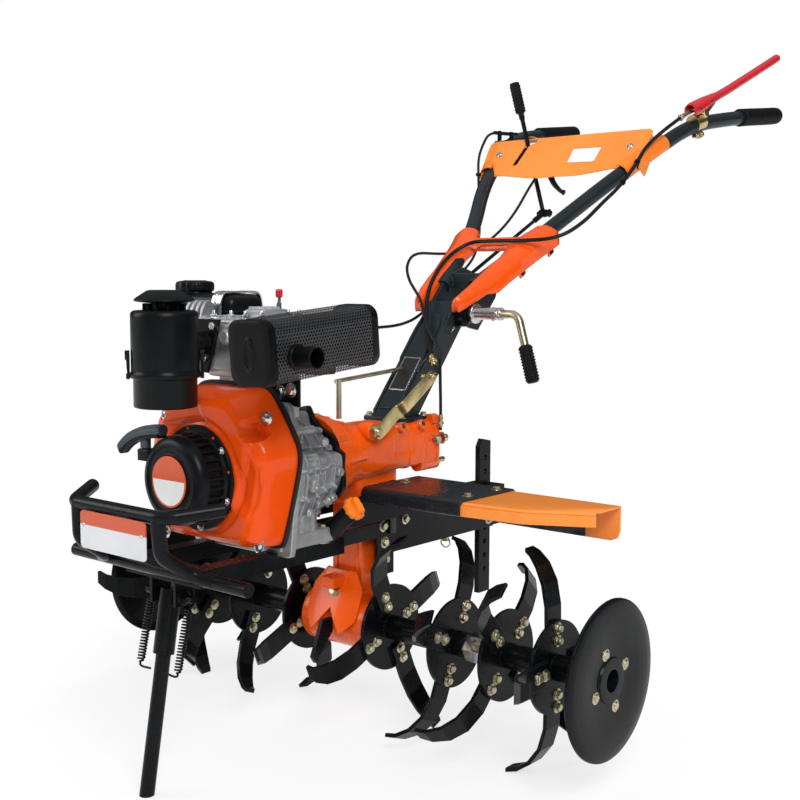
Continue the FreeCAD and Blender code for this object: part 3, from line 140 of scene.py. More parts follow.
def square_axes(axis):
    """Two directions square to the axis and to each other."""
    axis = unit(axis)
    other = np.array([0, 0, 1.0]) if abs(axis[2]) < 0.9 else np.array([0, 1.0, 0])
    side = unit(np.cross(other, axis))
    return side, np.cross(axis, side)


def turned(profile, foot, axis, sides=32, corners=0, ripple=None):
    """A profile of (radius, height) in millimetres turned about an axis from foot.

    Each point is foot + axis * height + radius * (cos a, sin a). corners makes flats, with the
    radius divided by cos of the angle from the nearest flat's middle, and ripple(a, height)
    multiplies the radius.
    """
    profile = np.asarray(profile, float) / 1000
    angle = np.linspace(0, 2 * np.pi, sides, endpoint=False)
    side, above = square_axes(axis)
    radius = np.repeat(profile[:, :1], sides, 1)
    if corners:
        third = 2 * np.pi / corners
        flat = np.cos(np.pi / corners) / np.cos((angle % third) - third / 2)
        radius = radius * flat[None, :]
    if ripple is not None:
        radius = radius * ripple(angle[None, :], profile[:, 1:] * 1000)
    way = np.cos(angle)[:, None] * side + np.sin(angle)[:, None] * above
    rise = profile[:, 1][:, None, None] * unit(axis)
    return capped(np.asarray(foot, float) + rise + radius[..., None] * way)


def lathe(profile, foot, axis, *settings, **named):
    """A turned profile that is closed onto the axis at its first and its last height."""
    return turned([(0, profile[0][1]), *profile, (0, profile[-1][1])], foot, axis, *settings, **named)


def carried(line, ring, up=Z, swell=None):
    """A closed ring of (across, above) offsets in millimetres carried along a line in metres.

    At each point of the line the ring stands square to the tangent, with above nearest to up;
    swell gives a factor for the ring at each point.
    """
    line = np.asarray(line, float)
    way = unit(np.gradient(line, axis=0))
    side = unit(np.cross(way, np.asarray(up, float)))
    above = np.cross(side, way)
    ring = np.asarray(ring, float) / 1000
    factor = np.ones(len(line)) if swell is None else np.asarray(swell, float)
    offsets = ring[None, :, 0, None] * side[:, None] + ring[None, :, 1, None] * above[:, None]
    return capped(line[:, None] + offsets * factor[:, None, None])


def circle(radius, sides=16, flat=1.0):
    """A ring of (across, above) offsets, flat times as high as it is wide."""
    angle = np.linspace(0, 2 * np.pi, sides, endpoint=False)
    return np.stack([radius * np.cos(angle), radius * flat * np.sin(angle)], -1)


def rounded(width, height, corner, sides=6):
    """A rectangle's ring of (across, above) offsets with quarter-circle corners."""
    turn = np.linspace(0, np.pi / 2, sides)
    arcs = []
    for number, (x, y) in enumerate(((1, 1), (-1, 1), (-1, -1), (1, -1))):
        angle = turn + number * np.pi / 2
        arcs.append(np.stack([x * (width / 2 - corner) + corner * np.cos(angle),
                              y * (height / 2 - corner) + corner * np.sin(angle)], -1))
    return np.concatenate(arcs)


def slab(ring, depth, place, across, above, edge=1.0, dome=0.0):
    """A plate with a rounded rim: ring offsets in millimetres in the plane of across and above.

    It rises by depth along their cross product; its rim's last edge millimetres turn in by the
    rule of a quarter circle, and dome lifts the middle.
    """
    across, above = unit(across), unit(above)
    out = np.cross(across, above)
    ring = np.asarray(ring, float)
    middle = ring.mean(0)
    reach = np.linalg.norm(ring - middle, axis=1, keepdims=True)
    turn = np.linspace(0, np.pi / 2, 5)
    insets = np.concatenate([[0], edge * (1 - np.cos(turn)), [edge + 1.5]])
    rises = np.concatenate([[0], depth - edge + edge * np.sin(turn), [depth + dome]])
    rings = middle + (ring - middle)[None] * (1 - insets[:, None, None] / reach[None])
    flat = rings[..., :1] * across + rings[..., 1:] * above
    return capped(np.asarray(place, float) + (flat + rises[:, None, None] * out) / 1000)


def block(first, second, edge=1.0):
    """A box between two opposite corners in millimetres, with rounded upright and upper edges."""
    low, high = np.minimum(first, second), np.maximum(first, second)
    ring = rounded(high[0] - low[0], high[1] - low[1], edge)
    foot = at((low[0] + high[0]) / 2, (low[1] + high[1]) / 2, low[2])
    return slab(ring, high[2] - low[2], foot, X, Y, edge * 0.8)


def super_block(low, high, power=5.0, rows=40, columns=80, top=None):
    """A rounded block between two corners in millimetres.

    Each point is centre + half * (c(v) c(u), c(v) s(u), s(v)), where c and s are cosine and sine
    raised to 2 / power with their sign kept.
    """
    low, high = np.asarray(low, float), np.asarray(high, float)
    u = np.linspace(-np.pi, np.pi, columns, endpoint=False)
    v = np.linspace(-np.pi / 2, np.pi / 2, rows)

    def raised(value):
        """The value's size raised to 2 / power, with its sign kept."""
        return np.sign(value) * np.abs(value) ** (2 / power)

    across = raised(np.cos(v))[:, None] * raised(np.cos(u))[None]
    along = raised(np.cos(v))[:, None] * raised(np.sin(u))[None]
    rise = np.repeat(raised(np.sin(v))[:, None], columns, 1)
    shape = np.stack([across, along, rise], -1)
    if top is not None:
        shape = top(shape)
    points = (low + high) / 2 + shape * (high - low) / 2
    return capped(at(points))


def smooth_line(corners, count=40):
    """A Catmull-Rom line through corners: cubic between neighbours, tangent (next - last) / 2."""
    corners = np.asarray(corners, float)
    padded = np.vstack([2 * corners[0] - corners[1], corners, 2 * corners[-1] - corners[-2]])
    place = np.linspace(0, len(corners) - 1 - 1e-9, count)
    cell = place.astype(int)
    t = (place - cell)[:, None]
    a, b, c, d = (padded[cell + shift] for shift in range(4))
    return b + t * ((c - a) / 2 + t * (a - 2.5 * b + 2 * c - d / 2 + t * (1.5 * b - 1.5 * c + d / 2 - a / 2)))


def distances(line):
    """How far each point of a line lies from its start along the line, in metres."""
    return np.concatenate([[0], np.cumsum(np.linalg.norm(np.diff(line, axis=0), axis=1))])


def round_end(share, start, length):
    """1 up to a share of a line, then down by the rule of a quarter circle to a blunt end."""
    return np.sqrt(np.clip(1 - np.clip((share - start) / length, 0, 1) ** 2, 0.02, 1))


def open_ring(radii, wall, low, high, count):
    """Offsets along an open arc of two radii between angles in degrees, and back inside its wall."""
    turn = np.radians(np.linspace(low, high, count))
    way = np.column_stack([np.cos(turn), np.sin(turn)])
    radii = np.array(radii)
    return np.concatenate([way * radii, (way * (radii - wall))[::-1]])


def around(radius, angle, y):
    """Points at a radius and an angle about the crankshaft, in millimetres."""
    return np.stack(np.broadcast_arrays(radius * np.cos(angle), y, CRANK + radius * np.sin(angle)), -1)


def apart(angle, turn):
    """Degrees, up to 180, between angles in radians and a direction in degrees."""
    return np.abs((np.degrees(angle) - turn + 180) % 360 - 180)


def sloped_frame(origin, degrees):
    """An origin with the directions across, up a slope and out of it."""
    slope = math.radians(degrees)
    up = np.array([0, math.cos(slope), math.sin(slope)])
    out = np.array([0, -math.sin(slope), math.cos(slope)])
    return origin, np.array([1.0, 0, 0]), up, out


OTHER_SLOT = {"bright_steel": "zinc", "yellow_zinc": "zinc", "fender_paint": "black_paint",
              "gasket": "black_plastic"}


def piece(name, shells, paint, body="root", slot=None, crease=40, welded=True):
    """One mesh object from shells of points and faces, with its finish and body.

    paint is a finish's name or a material. The slot argument is not used.
    """
    points, faces, base = [], [], 0
    for shell_points, shell_faces in shells:
        points.append(np.asarray(shell_points, float).reshape(-1, 3))
        faces.extend([[corner + base for corner in face] for face in shell_faces])
        base += len(points[-1])
    mesh = bpy.data.meshes.new(name)
    mesh.from_pydata(np.concatenate(points).tolist(), [], faces)
    if welded:
        work = bmesh.new()
        work.from_mesh(mesh)
        bmesh.ops.remove_doubles(work, verts=work.verts, dist=2e-6)
        bmesh.ops.recalc_face_normals(work, faces=work.faces)
        work.to_mesh(mesh)
        work.free()
    mesh.shade_smooth()
    mesh.set_sharp_from_angle(angle=math.radians(crease))
    thing = bpy.data.objects.new(name, mesh)
    bpy.context.scene.collection.objects.link(thing)
    mesh.materials.append(finish(paint) if isinstance(paint, str) else paint)
    slot = slot or OTHER_SLOT.get(paint, paint)
    if body:
        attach(thing, body)
    return thing


# ------------------------------------------------------------ fasteners

def hex_bolt(place, axis, flats=10.0, tall=6.0, washer=True):
    """A hexagon head with a chamfered crown on a flange washer."""
    half = flats / 2 / math.cos(math.pi / 6)
    shells = [lathe([(half, 0), (half, tall - 1.2), (half - 1.3, tall)], place, axis, 24, 6)]
    if washer:
        shells.append(lathe([(half * 1.5, 0), (half * 1.5, 0.9), (half * 1.35, 1.5)], place, axis, 24))
    return shells


def dome_bolt(place, axis, radius=9.0, tall=6.0):
    """A domed head with a cup in its middle, on a wide washer."""
    return [lathe([(radius * 1.45, 0), (radius * 1.45, 1), (radius * 1.3, 1.6)], place, axis, 28),
            lathe([(radius, 1), (radius, tall * 0.45), (radius * 0.82, tall * 0.8), (radius * 0.5, tall),
                   (radius * 0.4, tall), (radius * 0.36, tall - 2.6)], place, axis, 28)]


# ------------------------------------------------------------ finishes

class Wiring:
    """Adds nodes to a tree; a socket given as a value is linked, anything else is its default."""

    def __init__(self, tree):
        self.tree = tree

    def add(self, kind, inputs=(), **settings):
        """A node of a kind with its settings and inputs."""
        node = self.tree.nodes.new(kind)
        for name, value in settings.items():
            setattr(node, name, value)
        for key, value in dict(inputs).items():
            if isinstance(value, bpy.types.NodeSocket):
                self.tree.links.new(value, node.inputs[key])
            else:
                node.inputs[key].default_value = value
        return node

    def math(self, operation, first, second=0.0):
        """The result of an operation on one or two values."""
        return self.add("ShaderNodeMath", {0: first, 1: second}, operation=operation).outputs[0]

    def spread(self, value, low, high, to_low=0.0, to_high=1.0):
        """The value from low to high laid out from to_low to to_high, and held past both."""
        return self.add("ShaderNodeMapRange",
                        {"Value": value, "From Min": low, "From Max": high, "To Min": to_low,
                         "To Max": to_high}).outputs[0]

    def blend(self, factor, first, second, how="MIX"):
        """The first colour going over to the second as the factor goes from 0 to 1."""
        node = self.add("ShaderNodeMix", {"Factor": factor}, data_type="RGBA", blend_type=how)
        for socket, value in zip([s for s in node.inputs if s.type == "RGBA"], (first, second)):
            if isinstance(value, bpy.types.NodeSocket):
                self.tree.links.new(value, socket)
            else:
                socket.default_value = (*value[:3], 1)
        return [s for s in node.outputs if s.type == "RGBA"][0]


def group_tree(name, inputs, outputs):
    """An empty shader node group with named inputs and outputs, and its wiring."""
    tree = bpy.data.node_groups.new(name, "ShaderNodeTree")
    for title, kind, value in inputs:
        socket = tree.interface.new_socket(name=title, in_out="INPUT", socket_type=kind)
        if value is not None:
            socket.default_value = value
    for title, kind in outputs:
        tree.interface.new_socket(name=title, in_out="OUTPUT", socket_type=kind)
    wiring = Wiring(tree)
    return tree, wiring, wiring.add("NodeGroupInput"), wiring.add("NodeGroupOutput")


def variety_group():
    """Clouds: slow noise. Grain: noise eighteen times finer. Scratches: thin ridges of drawn-out noise."""
    tree, w, source, result = group_tree("surface_variety",
                                         [("Vector", "NodeSocketVector", None),
                                          ("Scale", "NodeSocketFloat", 8.0)],
                                         [("Clouds", "NodeSocketFloat"), ("Grain", "NodeSocketFloat"),
                                          ("Scratches", "NodeSocketFloat")])
    scale = source.outputs["Scale"]
    place = source.outputs["Vector"]
    clouds = w.add("ShaderNodeTexNoise", {"Vector": place, "Scale": scale, "Detail": 4.0, "Roughness": 0.6})
    grain = w.add("ShaderNodeTexNoise",
                  {"Vector": place, "Scale": w.math("MULTIPLY", scale, 18.0), "Detail": 3.0,
                   "Roughness": 0.55})
    drawn = w.add("ShaderNodeMapping",
                  {"Vector": place, "Rotation": (0.5, 0.3, 0.7), "Scale": (1.0, 14.0, 9.0)})
    lines = w.add("ShaderNodeTexNoise",
                  {"Vector": drawn.outputs[0], "Scale": w.math("MULTIPLY", scale, 2.2), "Detail": 2.0})
    ridge = w.math("ABSOLUTE", w.math("SUBTRACT", lines.outputs[0], 0.5))
    gaps = w.spread(clouds.outputs[0], 0.48, 0.62)
    scratches = w.math("MULTIPLY", w.spread(ridge, 0.0, 0.012, 1.0, 0.0), gaps)
    w.tree.links.new(w.spread(clouds.outputs[0], 0.3, 0.7), result.inputs["Clouds"])
    w.tree.links.new(w.spread(grain.outputs[0], 0.25, 0.75), result.inputs["Grain"])
    w.tree.links.new(scratches, result.inputs["Scratches"])
    return tree


def edge_group():
    """Normal: the face's own, turned to its neighbour's within Radius of an edge. Wear: how far it turned."""
    tree, w, source, result = group_tree("rounded_edge", [("Radius", "NodeSocketFloat", 0.0015)],
                                         [("Normal", "NodeSocketVector"), ("Wear", "NodeSocketFloat")])
    soft = w.add("ShaderNodeBevel", {"Radius": source.outputs["Radius"]}, samples=4)
    face = w.add("ShaderNodeNewGeometry")
    dot = w.add("ShaderNodeVectorMath", {0: soft.outputs[0], 1: face.outputs["Normal"]},
                operation="DOT_PRODUCT")
    w.tree.links.new(soft.outputs[0], result.inputs["Normal"])
    w.tree.links.new(w.spread(dot.outputs["Value"], 0.985, 0.80), result.inputs["Wear"])
    return tree


def dust_group():
    """Mask: where faces look up, broken by noise, plus a splash that fades out above Height."""
    tree, w, source, result = group_tree("settled_dust",
                                         [("Vector", "NodeSocketVector", None),
                                          ("Height", "NodeSocketFloat", 0.3)], [("Mask", "NodeSocketFloat")])
    face = w.add("ShaderNodeNewGeometry")
    normal = w.add("ShaderNodeSeparateXYZ", {0: face.outputs["Normal"]})
    place = w.add("ShaderNodeSeparateXYZ", {0: source.outputs["Vector"]})
    noise = w.add("ShaderNodeTexNoise",
                  {"Vector": source.outputs["Vector"], "Scale": 34.0, "Detail": 6.0, "Roughness": 0.7})
    broken = w.spread(noise.outputs[0], 0.42, 0.72)
    upward = w.math("MULTIPLY", w.spread(normal.outputs["Z"], 0.3, 1.0), 0.6)
    low = w.math("SUBTRACT", 1.0, w.math("DIVIDE", place.outputs["Z"], source.outputs["Height"]))
    splash = w.add("ShaderNodeClamp", {0: low}).outputs[0]
    w.tree.links.new(w.math("MULTIPLY", broken, w.math("MAXIMUM", upward, splash)), result.inputs["Mask"])
    return tree


GROUPS = {}


def shared(name):
    """A shared group's tree, built the first time it is asked for."""
    if name not in GROUPS:
        GROUPS[name] = {"variety": variety_group, "edge": edge_group, "dust": dust_group}[name]()
    return GROUPS[name]


def use(wiring, name, inputs):
    """The shared group placed in a material with its own values."""
    return wiring.add("ShaderNodeGroup", inputs, node_tree=shared(name))


def base_material(name):
    """A material with only its Principled shader, its wiring and its Object coordinates."""
    material = bpy.data.materials.new(name)
    material.use_nodes = True
    tree = material.node_tree
    tree.nodes.clear()
    w = Wiring(tree)
    shader = w.add("ShaderNodeBsdfPrincipled")
    end = w.add("ShaderNodeOutputMaterial")
    tree.links.new(shader.outputs[0], end.inputs["Surface"])
    return material, w, shader, w.add("ShaderNodeTexCoord").outputs["Object"]


def coated(name, colour, rough=0.3, metal=0.0, coat=0.0, scale=9.0, clouds=0.12, wear=None, wear_share=0.0,
           edge=0.0016, bump=0.05, depth=0.0004, dust=0.0, dust_height=0.3, scratch=0.0, pattern=None,
           shine=0.5):
    """A paint, plastic or bare metal: clouded colour, worn edges, scratches, dust and a fine grain.

    pattern(wiring, place, colour) may give another colour over the surface.
    """
    material, w, shader, place = base_material(name)
    tree = material.node_tree
    variety = use(w, "variety", {"Vector": place, "Scale": scale})
    rim = use(w, "edge", {"Radius": edge})
    deep = tuple(c * (1 - 1.6 * clouds) for c in colour)
    pale = tuple(min(1.0, c * (1 + clouds) + 0.003 * clouds) for c in colour)
    base = w.blend(variety.outputs["Clouds"], deep, pale)
    if pattern is not None:
        base = pattern(w, place, base)
    if wear_share:
        rubbed = w.math("MULTIPLY", rim.outputs["Wear"],
                        w.spread(variety.outputs["Grain"], 0.35, 0.6, 0.35, 1.0))
        base = w.blend(w.math("MULTIPLY", rubbed, wear_share), base, wear or colour)
    if scratch:
        base = w.blend(w.math("MULTIPLY", variety.outputs["Scratches"], scratch), base,
                       wear or (0.5, 0.5, 0.5))
    rough_now = w.spread(variety.outputs["Grain"], 0.0, 1.0, max(rough - 0.05, 0.03), rough + 0.07)
    if dust:
        film = use(w, "dust", {"Vector": place, "Height": dust_height})
        amount = w.math("MULTIPLY", film.outputs["Mask"], dust)
        base = w.blend(amount, base, (0.30, 0.24, 0.17))
        rough_now = w.math("ADD", rough_now, w.math("MULTIPLY", amount, 0.5))
    relief = w.add("ShaderNodeBump",
                   {"Height": variety.outputs["Grain"], "Strength": bump, "Distance": depth,
                    "Normal": rim.outputs["Normal"]})
    tree.links.new(base, shader.inputs["Base Color"])
    tree.links.new(rough_now, shader.inputs["Roughness"])
    tree.links.new(relief.outputs[0], shader.inputs["Normal"])
    shader.inputs["Metallic"].default_value = metal
    shader.inputs["Specular IOR Level"].default_value = shine
    shader.inputs["Coat Weight"].default_value = coat
    shader.inputs["Coat Roughness"].default_value = 0.06
    return material


def badge_pattern(w, place, base):
    """Orange above a level line and white below it, within a thin orange rim; both left bare."""
    low, high = span("starter_badge")
    middle = (low + high) / 2
    part = w.add("ShaderNodeSeparateXYZ", {0: place})
    x = w.math("SUBTRACT", part.outputs["X"], float(middle[0]))
    z = w.math("SUBTRACT", part.outputs["Z"], float(middle[2]))
    reach = w.math("SQRT", w.math("ADD", w.math("MULTIPLY", x, x), w.math("MULTIPLY", z, z)))
    upper = w.spread(z, 0.0020, 0.0024)
    rim = w.spread(reach, 0.0378, 0.0382)
    return w.blend(w.math("MAXIMUM", upper, rim), base, (0.62, 0.09, 0.03))


def plate_pattern(w, place, base):
    """An orange band along the top of the bumper's plate and bare white under it."""
    high = span("bumper_plate")[1]
    part = w.add("ShaderNodeSeparateXYZ", {0: place})
    band = float(high[2]) - 0.0225
    return w.blend(w.spread(part.outputs["Z"], band, band + 0.0005), base, (0.55, 0.080, 0.022))


def rib_pattern(w, place, base):
    """Fins: thin level bands of shade every 9 mm, as between cast ribs."""
    part = w.add("ShaderNodeSeparateXYZ", {0: place})
    band = w.math("FRACT", w.math("MULTIPLY", part.outputs["Z"], 111.0))
    return w.blend(w.spread(band, 0.75, 0.9, 0.0, 0.35), base, (0.16, 0.16, 0.17))


def paints():
    """The machine's paint colours."""
    return bpy.context.scene.tiller_paints


def warmer(colour, share):
    """The colour with its green multiplied by a share."""
    return colour[0], colour[1] * share, colour[2]


def shroud_orange():
    """Gloss paint of the fan shroud, pale where its edges are worn."""
    return dict(colour=paints().orange, rough=0.22, coat=0.22, clouds=0.04, wear=(1.0, 0.36, 0.10),
                wear_share=0.35, edge=0.0022, bump=0.03, dust=0.01, shine=0.15)


def gear_orange():
    """The shroud's paint a little warmer, over the grain of a casting."""
    return dict(colour=warmer(paints().orange, 1.25), rough=0.25, coat=0.22, clouds=0.06,
                wear=(1.0, 0.32, 0.09), wear_share=0.35, edge=0.003, bump=0.09, depth=0.0006, dust=0.02,
                scratch=0.05, scale=12.0, shine=0.2)


def panel_orange():
    """Satin amber of the panel and the outer fenders, worn and dusty."""
    return dict(colour=paints().amber, rough=0.33, coat=0.15, clouds=0.06, wear=(1.0, 0.62, 0.25),
                wear_share=0.5, edge=0.0012, dust=0.06, scratch=0.08, scale=5.0, shine=0.35)


def cover_orange():
    """Glossy moulded plastic of the tube covers, with wide soft edges."""
    return dict(colour=warmer(paints().orange, 1.12), rough=0.2, coat=0.45, clouds=0.04,
                wear=(1.0, 0.42, 0.16), wear_share=0.35, edge=0.0045, bump=0.03, shine=0.2)


def cap_orange():
    """Plain orange plastic of the caps."""
    return dict(colour=(0.9, 0.20, 0.010), rough=0.32, clouds=0.05, edge=0.0016, shine=0.35)


def black_paint():
    """Satin black of the frame, tank and brackets."""
    return dict(colour=paints().black, rough=0.28, coat=0.05, clouds=0.18, wear=(0.05, 0.06, 0.07),
                wear_share=0.4, edge=0.0012, bump=0.06, scratch=0.04, shine=0.10)


def muffler_black():
    """Heat-proof black of the muffler, finely grained."""
    return dict(colour=(0.002, 0.0022, 0.0026), rough=0.36, clouds=0.2, wear=(0.05, 0.05, 0.055),
                wear_share=0.4, edge=0.0018, bump=0.15, depth=0.0003, scale=20.0, shine=0.12)


def black_plastic():
    """Moulded black plastic with grey rubbed edges."""
    return dict(colour=(0.0045, 0.0055, 0.006), rough=0.32, clouds=0.15, wear=(0.03, 0.034, 0.038),
                wear_share=0.45, edge=0.0016, bump=0.1, depth=0.0002, scale=25.0, shine=0.14)


def grey_plastic():
    """Blue-grey plastic of the starter's grip."""
    return dict(colour=(0.060, 0.080, 0.095), rough=0.42, clouds=0.15, wear=(0.24, 0.28, 0.31),
                wear_share=0.5, edge=0.0012, bump=0.1, scale=25.0, shine=0.25)


def badge_white():
    """Clean white of the badge and the front plate."""
    return dict(colour=(0.78, 0.78, 0.76), rough=0.3, clouds=0.04, edge=0.0008, scale=20.0)


def slate_paint():
    """Dark blue-grey paint of the column and the handlebar."""
    return dict(colour=paints().slate, rough=0.28, coat=0.07, clouds=0.10, wear=(0.16, 0.20, 0.23),
                wear_share=0.6, edge=0.0022, bump=0.06, dust=0.01, shine=0.16)


def tine_steel():
    """Dark steel of the tines with scratches and settled dust."""
    return dict(colour=(0.0026, 0.0032, 0.004), rough=0.28, coat=0.05, clouds=0.3, wear=(0.10, 0.12, 0.13),
                wear_share=0.45, edge=0.0014, bump=0.1, dust=0.02, dust_height=0.2, scratch=0.08, scale=14.0,
                shine=0.1)


def zinc():
    """Plated steel with a faint yellow tint."""
    return dict(colour=(0.55, 0.50, 0.34), rough=0.33, metal=1.0, clouds=0.22, wear=(0.85, 0.82, 0.70),
                wear_share=0.5, edge=0.001, bump=0.1, scratch=0.3, scale=30.0)


def yellow_zinc():
    """Plated steel with a strong yellow tint."""
    return dict(colour=(0.58, 0.47, 0.22), rough=0.30, metal=1.0, clouds=0.3, wear=(0.9, 0.85, 0.65),
                wear_share=0.5, edge=0.0012, bump=0.1, scratch=0.4, scale=24.0)


def fender_paint():
    """Glossier black of the inner fenders."""
    return dict(colour=(0.012, 0.015, 0.018), rough=0.26, coat=0.2, clouds=0.12, wear=(0.10, 0.12, 0.14),
                wear_share=0.5, edge=0.002, bump=0.05, dust=0.02, scratch=0.04, shine=0.25)


def coupling_steel():
    """Bare bright steel of the drum's couplings."""
    return dict(colour=(0.62, 0.65, 0.70), rough=0.22, metal=1.0, clouds=0.2, wear=(0.95, 0.96, 1.0),
                wear_share=0.6, edge=0.0015, bump=0.2, scratch=0.5, scale=30.0)


def bright_steel():
    """Bare neutral steel of small bolts and the crank."""
    return dict(colour=(0.66, 0.66, 0.66), rough=0.24, metal=1.0, clouds=0.15, wear=(0.9, 0.9, 0.9),
                wear_share=0.5, edge=0.0006, bump=0.05, scale=40.0)


def aluminium_cast():
    """Grey cast aluminium with a coarse grain."""
    return dict(colour=(0.44, 0.45, 0.46), rough=0.40, metal=0.7, clouds=0.18, wear=(0.78, 0.79, 0.81),
                wear_share=0.7, edge=0.0018, bump=0.45, depth=0.0007, dust=0.08, scale=22.0)


def rubber():
    """Black rubber of the grips."""
    return dict(colour=(0.005, 0.0055, 0.006), rough=0.5, clouds=0.2, wear=(0.035, 0.035, 0.04),
                wear_share=0.4, edge=0.0012, bump=0.2, depth=0.0003, scale=30.0, shine=0.15)


def lever_red():
    """Red plastic of the clutch handle and the small lever."""
    return dict(colour=(0.60, 0.012, 0.022), rough=0.28, coat=0.3, clouds=0.08, wear=(0.95, 0.10, 0.10),
                wear_share=0.4, edge=0.002, bump=0.04, scale=20.0, shine=0.3)


def cable_black():
    """Smooth black sheath of the cables."""
    return dict(colour=(0.007, 0.007, 0.008), rough=0.38, clouds=0.2, edge=0.0006, bump=0.1, depth=0.0002,
                scale=40.0, shine=0.25)


def gasket():
    """Dull black of seals."""
    return dict(colour=(0.006, 0.006, 0.006), rough=0.6, clouds=0.2, edge=0.0006, scale=30.0)


def starter_badge():
    """The starter's white disc with its orange upper half."""
    return dict(colour=(0.78, 0.78, 0.76), rough=0.3, clouds=0.03, edge=0.0005, scale=20.0,
                pattern=badge_pattern)


def bumper_plate():
    """The bumper's white plate with its orange band."""
    return dict(colour=(0.64, 0.64, 0.66), rough=0.32, clouds=0.04, edge=0.0008, scale=14.0, dust=0.1,
                pattern=plate_pattern)


def cylinder():
    """Cast aluminium with bands of shade between its fins."""
    return dict(colour=(0.40, 0.41, 0.42), rough=0.42, metal=0.75, clouds=0.2, edge=0.0015,
                wear=(0.75, 0.76, 0.78), wear_share=0.6, bump=0.4, depth=0.0006, scale=22.0,
                pattern=rib_pattern)


RECIPES = {recipe.__name__: recipe
           for recipe in (shroud_orange, gear_orange, panel_orange, cover_orange, cap_orange, black_paint,
                          muffler_black, black_plastic, grey_plastic, badge_white, slate_paint, tine_steel,
                          zinc, yellow_zinc, fender_paint, coupling_steel, bright_steel, aluminium_cast,
                          rubber, lever_red, cable_black, gasket, starter_badge, bumper_plate, cylinder)}
FINISH = {}


def finish(name):
    """The material of a recipe, made the first time it is asked for."""
    if name not in FINISH:
        FINISH[name] = coated("tiller_" + name, **RECIPES[name]())
    return FINISH[name]


def repaint(node, material):
    """Puts one finish into every material slot of a fixed part."""
    thing = frame["nodes"][node]
    if not thing.material_slots:
        thing.data.materials.append(material)
    for slot in thing.material_slots:
        slot.link = "OBJECT"
        slot.material = material


# ------------------------------------------------------------ engine

def polar_reach(corners, angle, soft):
    """How far a rounded polygon about the origin reaches at each angle.

    Each side limits the reach to d / cos(angle - normal); the sides are joined by a smooth
    minimum, -log(sum of exp(-limit * soft)) / soft.
    """
    corners = np.asarray(corners, float)
    ahead = np.roll(corners, -1, axis=0)
    along = unit(ahead - corners)
    normal = np.stack([along[:, 1], -along[:, 0]], -1)
    gap = (corners * normal).sum(-1)
    facing = np.cos(angle[:, None]) * normal[:, 0] + np.sin(angle[:, None]) * normal[:, 1]
    limit = np.where(facing > 0.02, gap / np.maximum(facing, 0.02), 1e3)
    return -np.log(np.exp(-limit * soft).sum(-1)) / soft


SHROUD_CORNERS = [(-123, 106), (-81, 147), (81, 147), (123, 100), (153, 44), (139, -30), (109, -115),
                  (-115, -115), (-149, -10), (-153, 44)][::-1]


def shroud_reach(angle):
    """How far the shroud's rounded outline reaches from the crankshaft at each angle."""
    return polar_reach(SHROUD_CORNERS, angle, 0.16)


def shroud_surface():
    """The fan shroud as rings about the crankshaft, from its rim to the hole behind the starter.

    A ring stands at (y, share of the outline's reach); the front panel is raised by smooth steps
    that follow a second polygon, and dips beside the starter.
    """
    angle = np.linspace(0, 2 * np.pi, 240, endpoint=False)
    reach = shroud_reach(angle)
    wall = np.array([(-277.3, 1.012), (-281, 1.012), (-281, 0.985), (-285, 0.982), (-300, 0.975),
                     (-322, 0.962), (-334, 0.945), (-343, 0.918), (-349, 0.882)])
    rows = [np.stack([np.full(240, y), reach * share], -1) for y, share in wall]
    hole = 80.0
    front_y, front_share = wall[-1]
    for t in np.linspace(0.06, 1, 26):
        radius = reach * front_share * (1 - t) + hole * t
        rows.append(np.stack([np.full(240, front_y) - 5 * step(t, 0, 0.25), radius], -1))
    grid = np.array(rows)
    y, radius = grid[..., 0], grid[..., 1]
    x, z = radius * np.cos(angle), radius * np.sin(angle)
    front = step(-y, 341, 350)
    panel = step(x + 0.45 * z, 46, 58) * step(112 - x + 0.35 * (z - 40), 0, 12) * step(z, -66, -50)
    brow = step(z - 0.15 * x, 88, 100)
    pocket = hump(np.hypot(x - 104, (z + 8) * 0.62), 0, 16, 16)
    y = y - front * (7.0 * panel + 4.0 * brow * (1 - panel) - 5.5 * pocket)
    groove = hump(radius, 92, 2.5, 5)
    y = y + front * 2.5 * groove
    for seat_x, seat_z, seat_y in ((112, 85, -318), (99, -118, -324)):
        near = 1 - step(np.hypot(x - seat_x, z - seat_z), 15, 21)
        y = np.where(y < seat_y, y + (seat_y - y) * near, y)
    side_step = step(-y, 296, 306) * (1 - step(-y, 326, 336)) * hump(angle, 0.55, 0.32, 0.10)
    x = x * (1 - 0.016 * side_step)
    points = np.stack([x, y, z], -1)
    points[..., 2] += CRANK
    lip = points[-1:].copy()
    lip[..., 1] = -338
    return at(np.concatenate([points, lip]))


def make_shroud():
    """The fan shroud's skin, with its inside drawn in from its outside by a share."""
    surface = shroud_surface()
    middle = at(0, -300, CRANK)
    inner = middle + (surface[::-1] - middle) * (0.985, 0.93, 0.985)
    thing = piece("shroud_skin", [skin(np.concatenate([surface, inner, surface[:1]]), True)], "shroud_orange",
                  crease=38)
    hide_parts("fan_shroud")


def make_gasket():
    """The seal that stands out between the shroud and the crankcase."""
    angle = np.linspace(0, 2 * np.pi, 160, endpoint=False)
    reach = shroud_reach(angle)
    section = ((-283.5, 1.0), (-283.5, 1.022), (-277.5, 1.026), (-276.8, 1.02), (-276.8, 0.9), (-281, 0.9),
               (-283.5, 1.0))
    rings = at(np.array([around(reach * share, angle, y) for y, share in section]))
    piece("shroud_gasket", [skin(rings, True)], "gasket", crease=30)


def make_shroud_bolts():
    """The shroud's domed bolts: two in its left corners and two on its front."""
    bolts = []
    for x, y, z in ((112, -318, 595), (99, -324, 392), (-92, -352, 588), (-98, -352, 392)):
        bolts += dome_bolt(at(x, y, z), AHEAD, 8.5, 6.5)
    piece("shroud_bolts", bolts, "bright_steel")


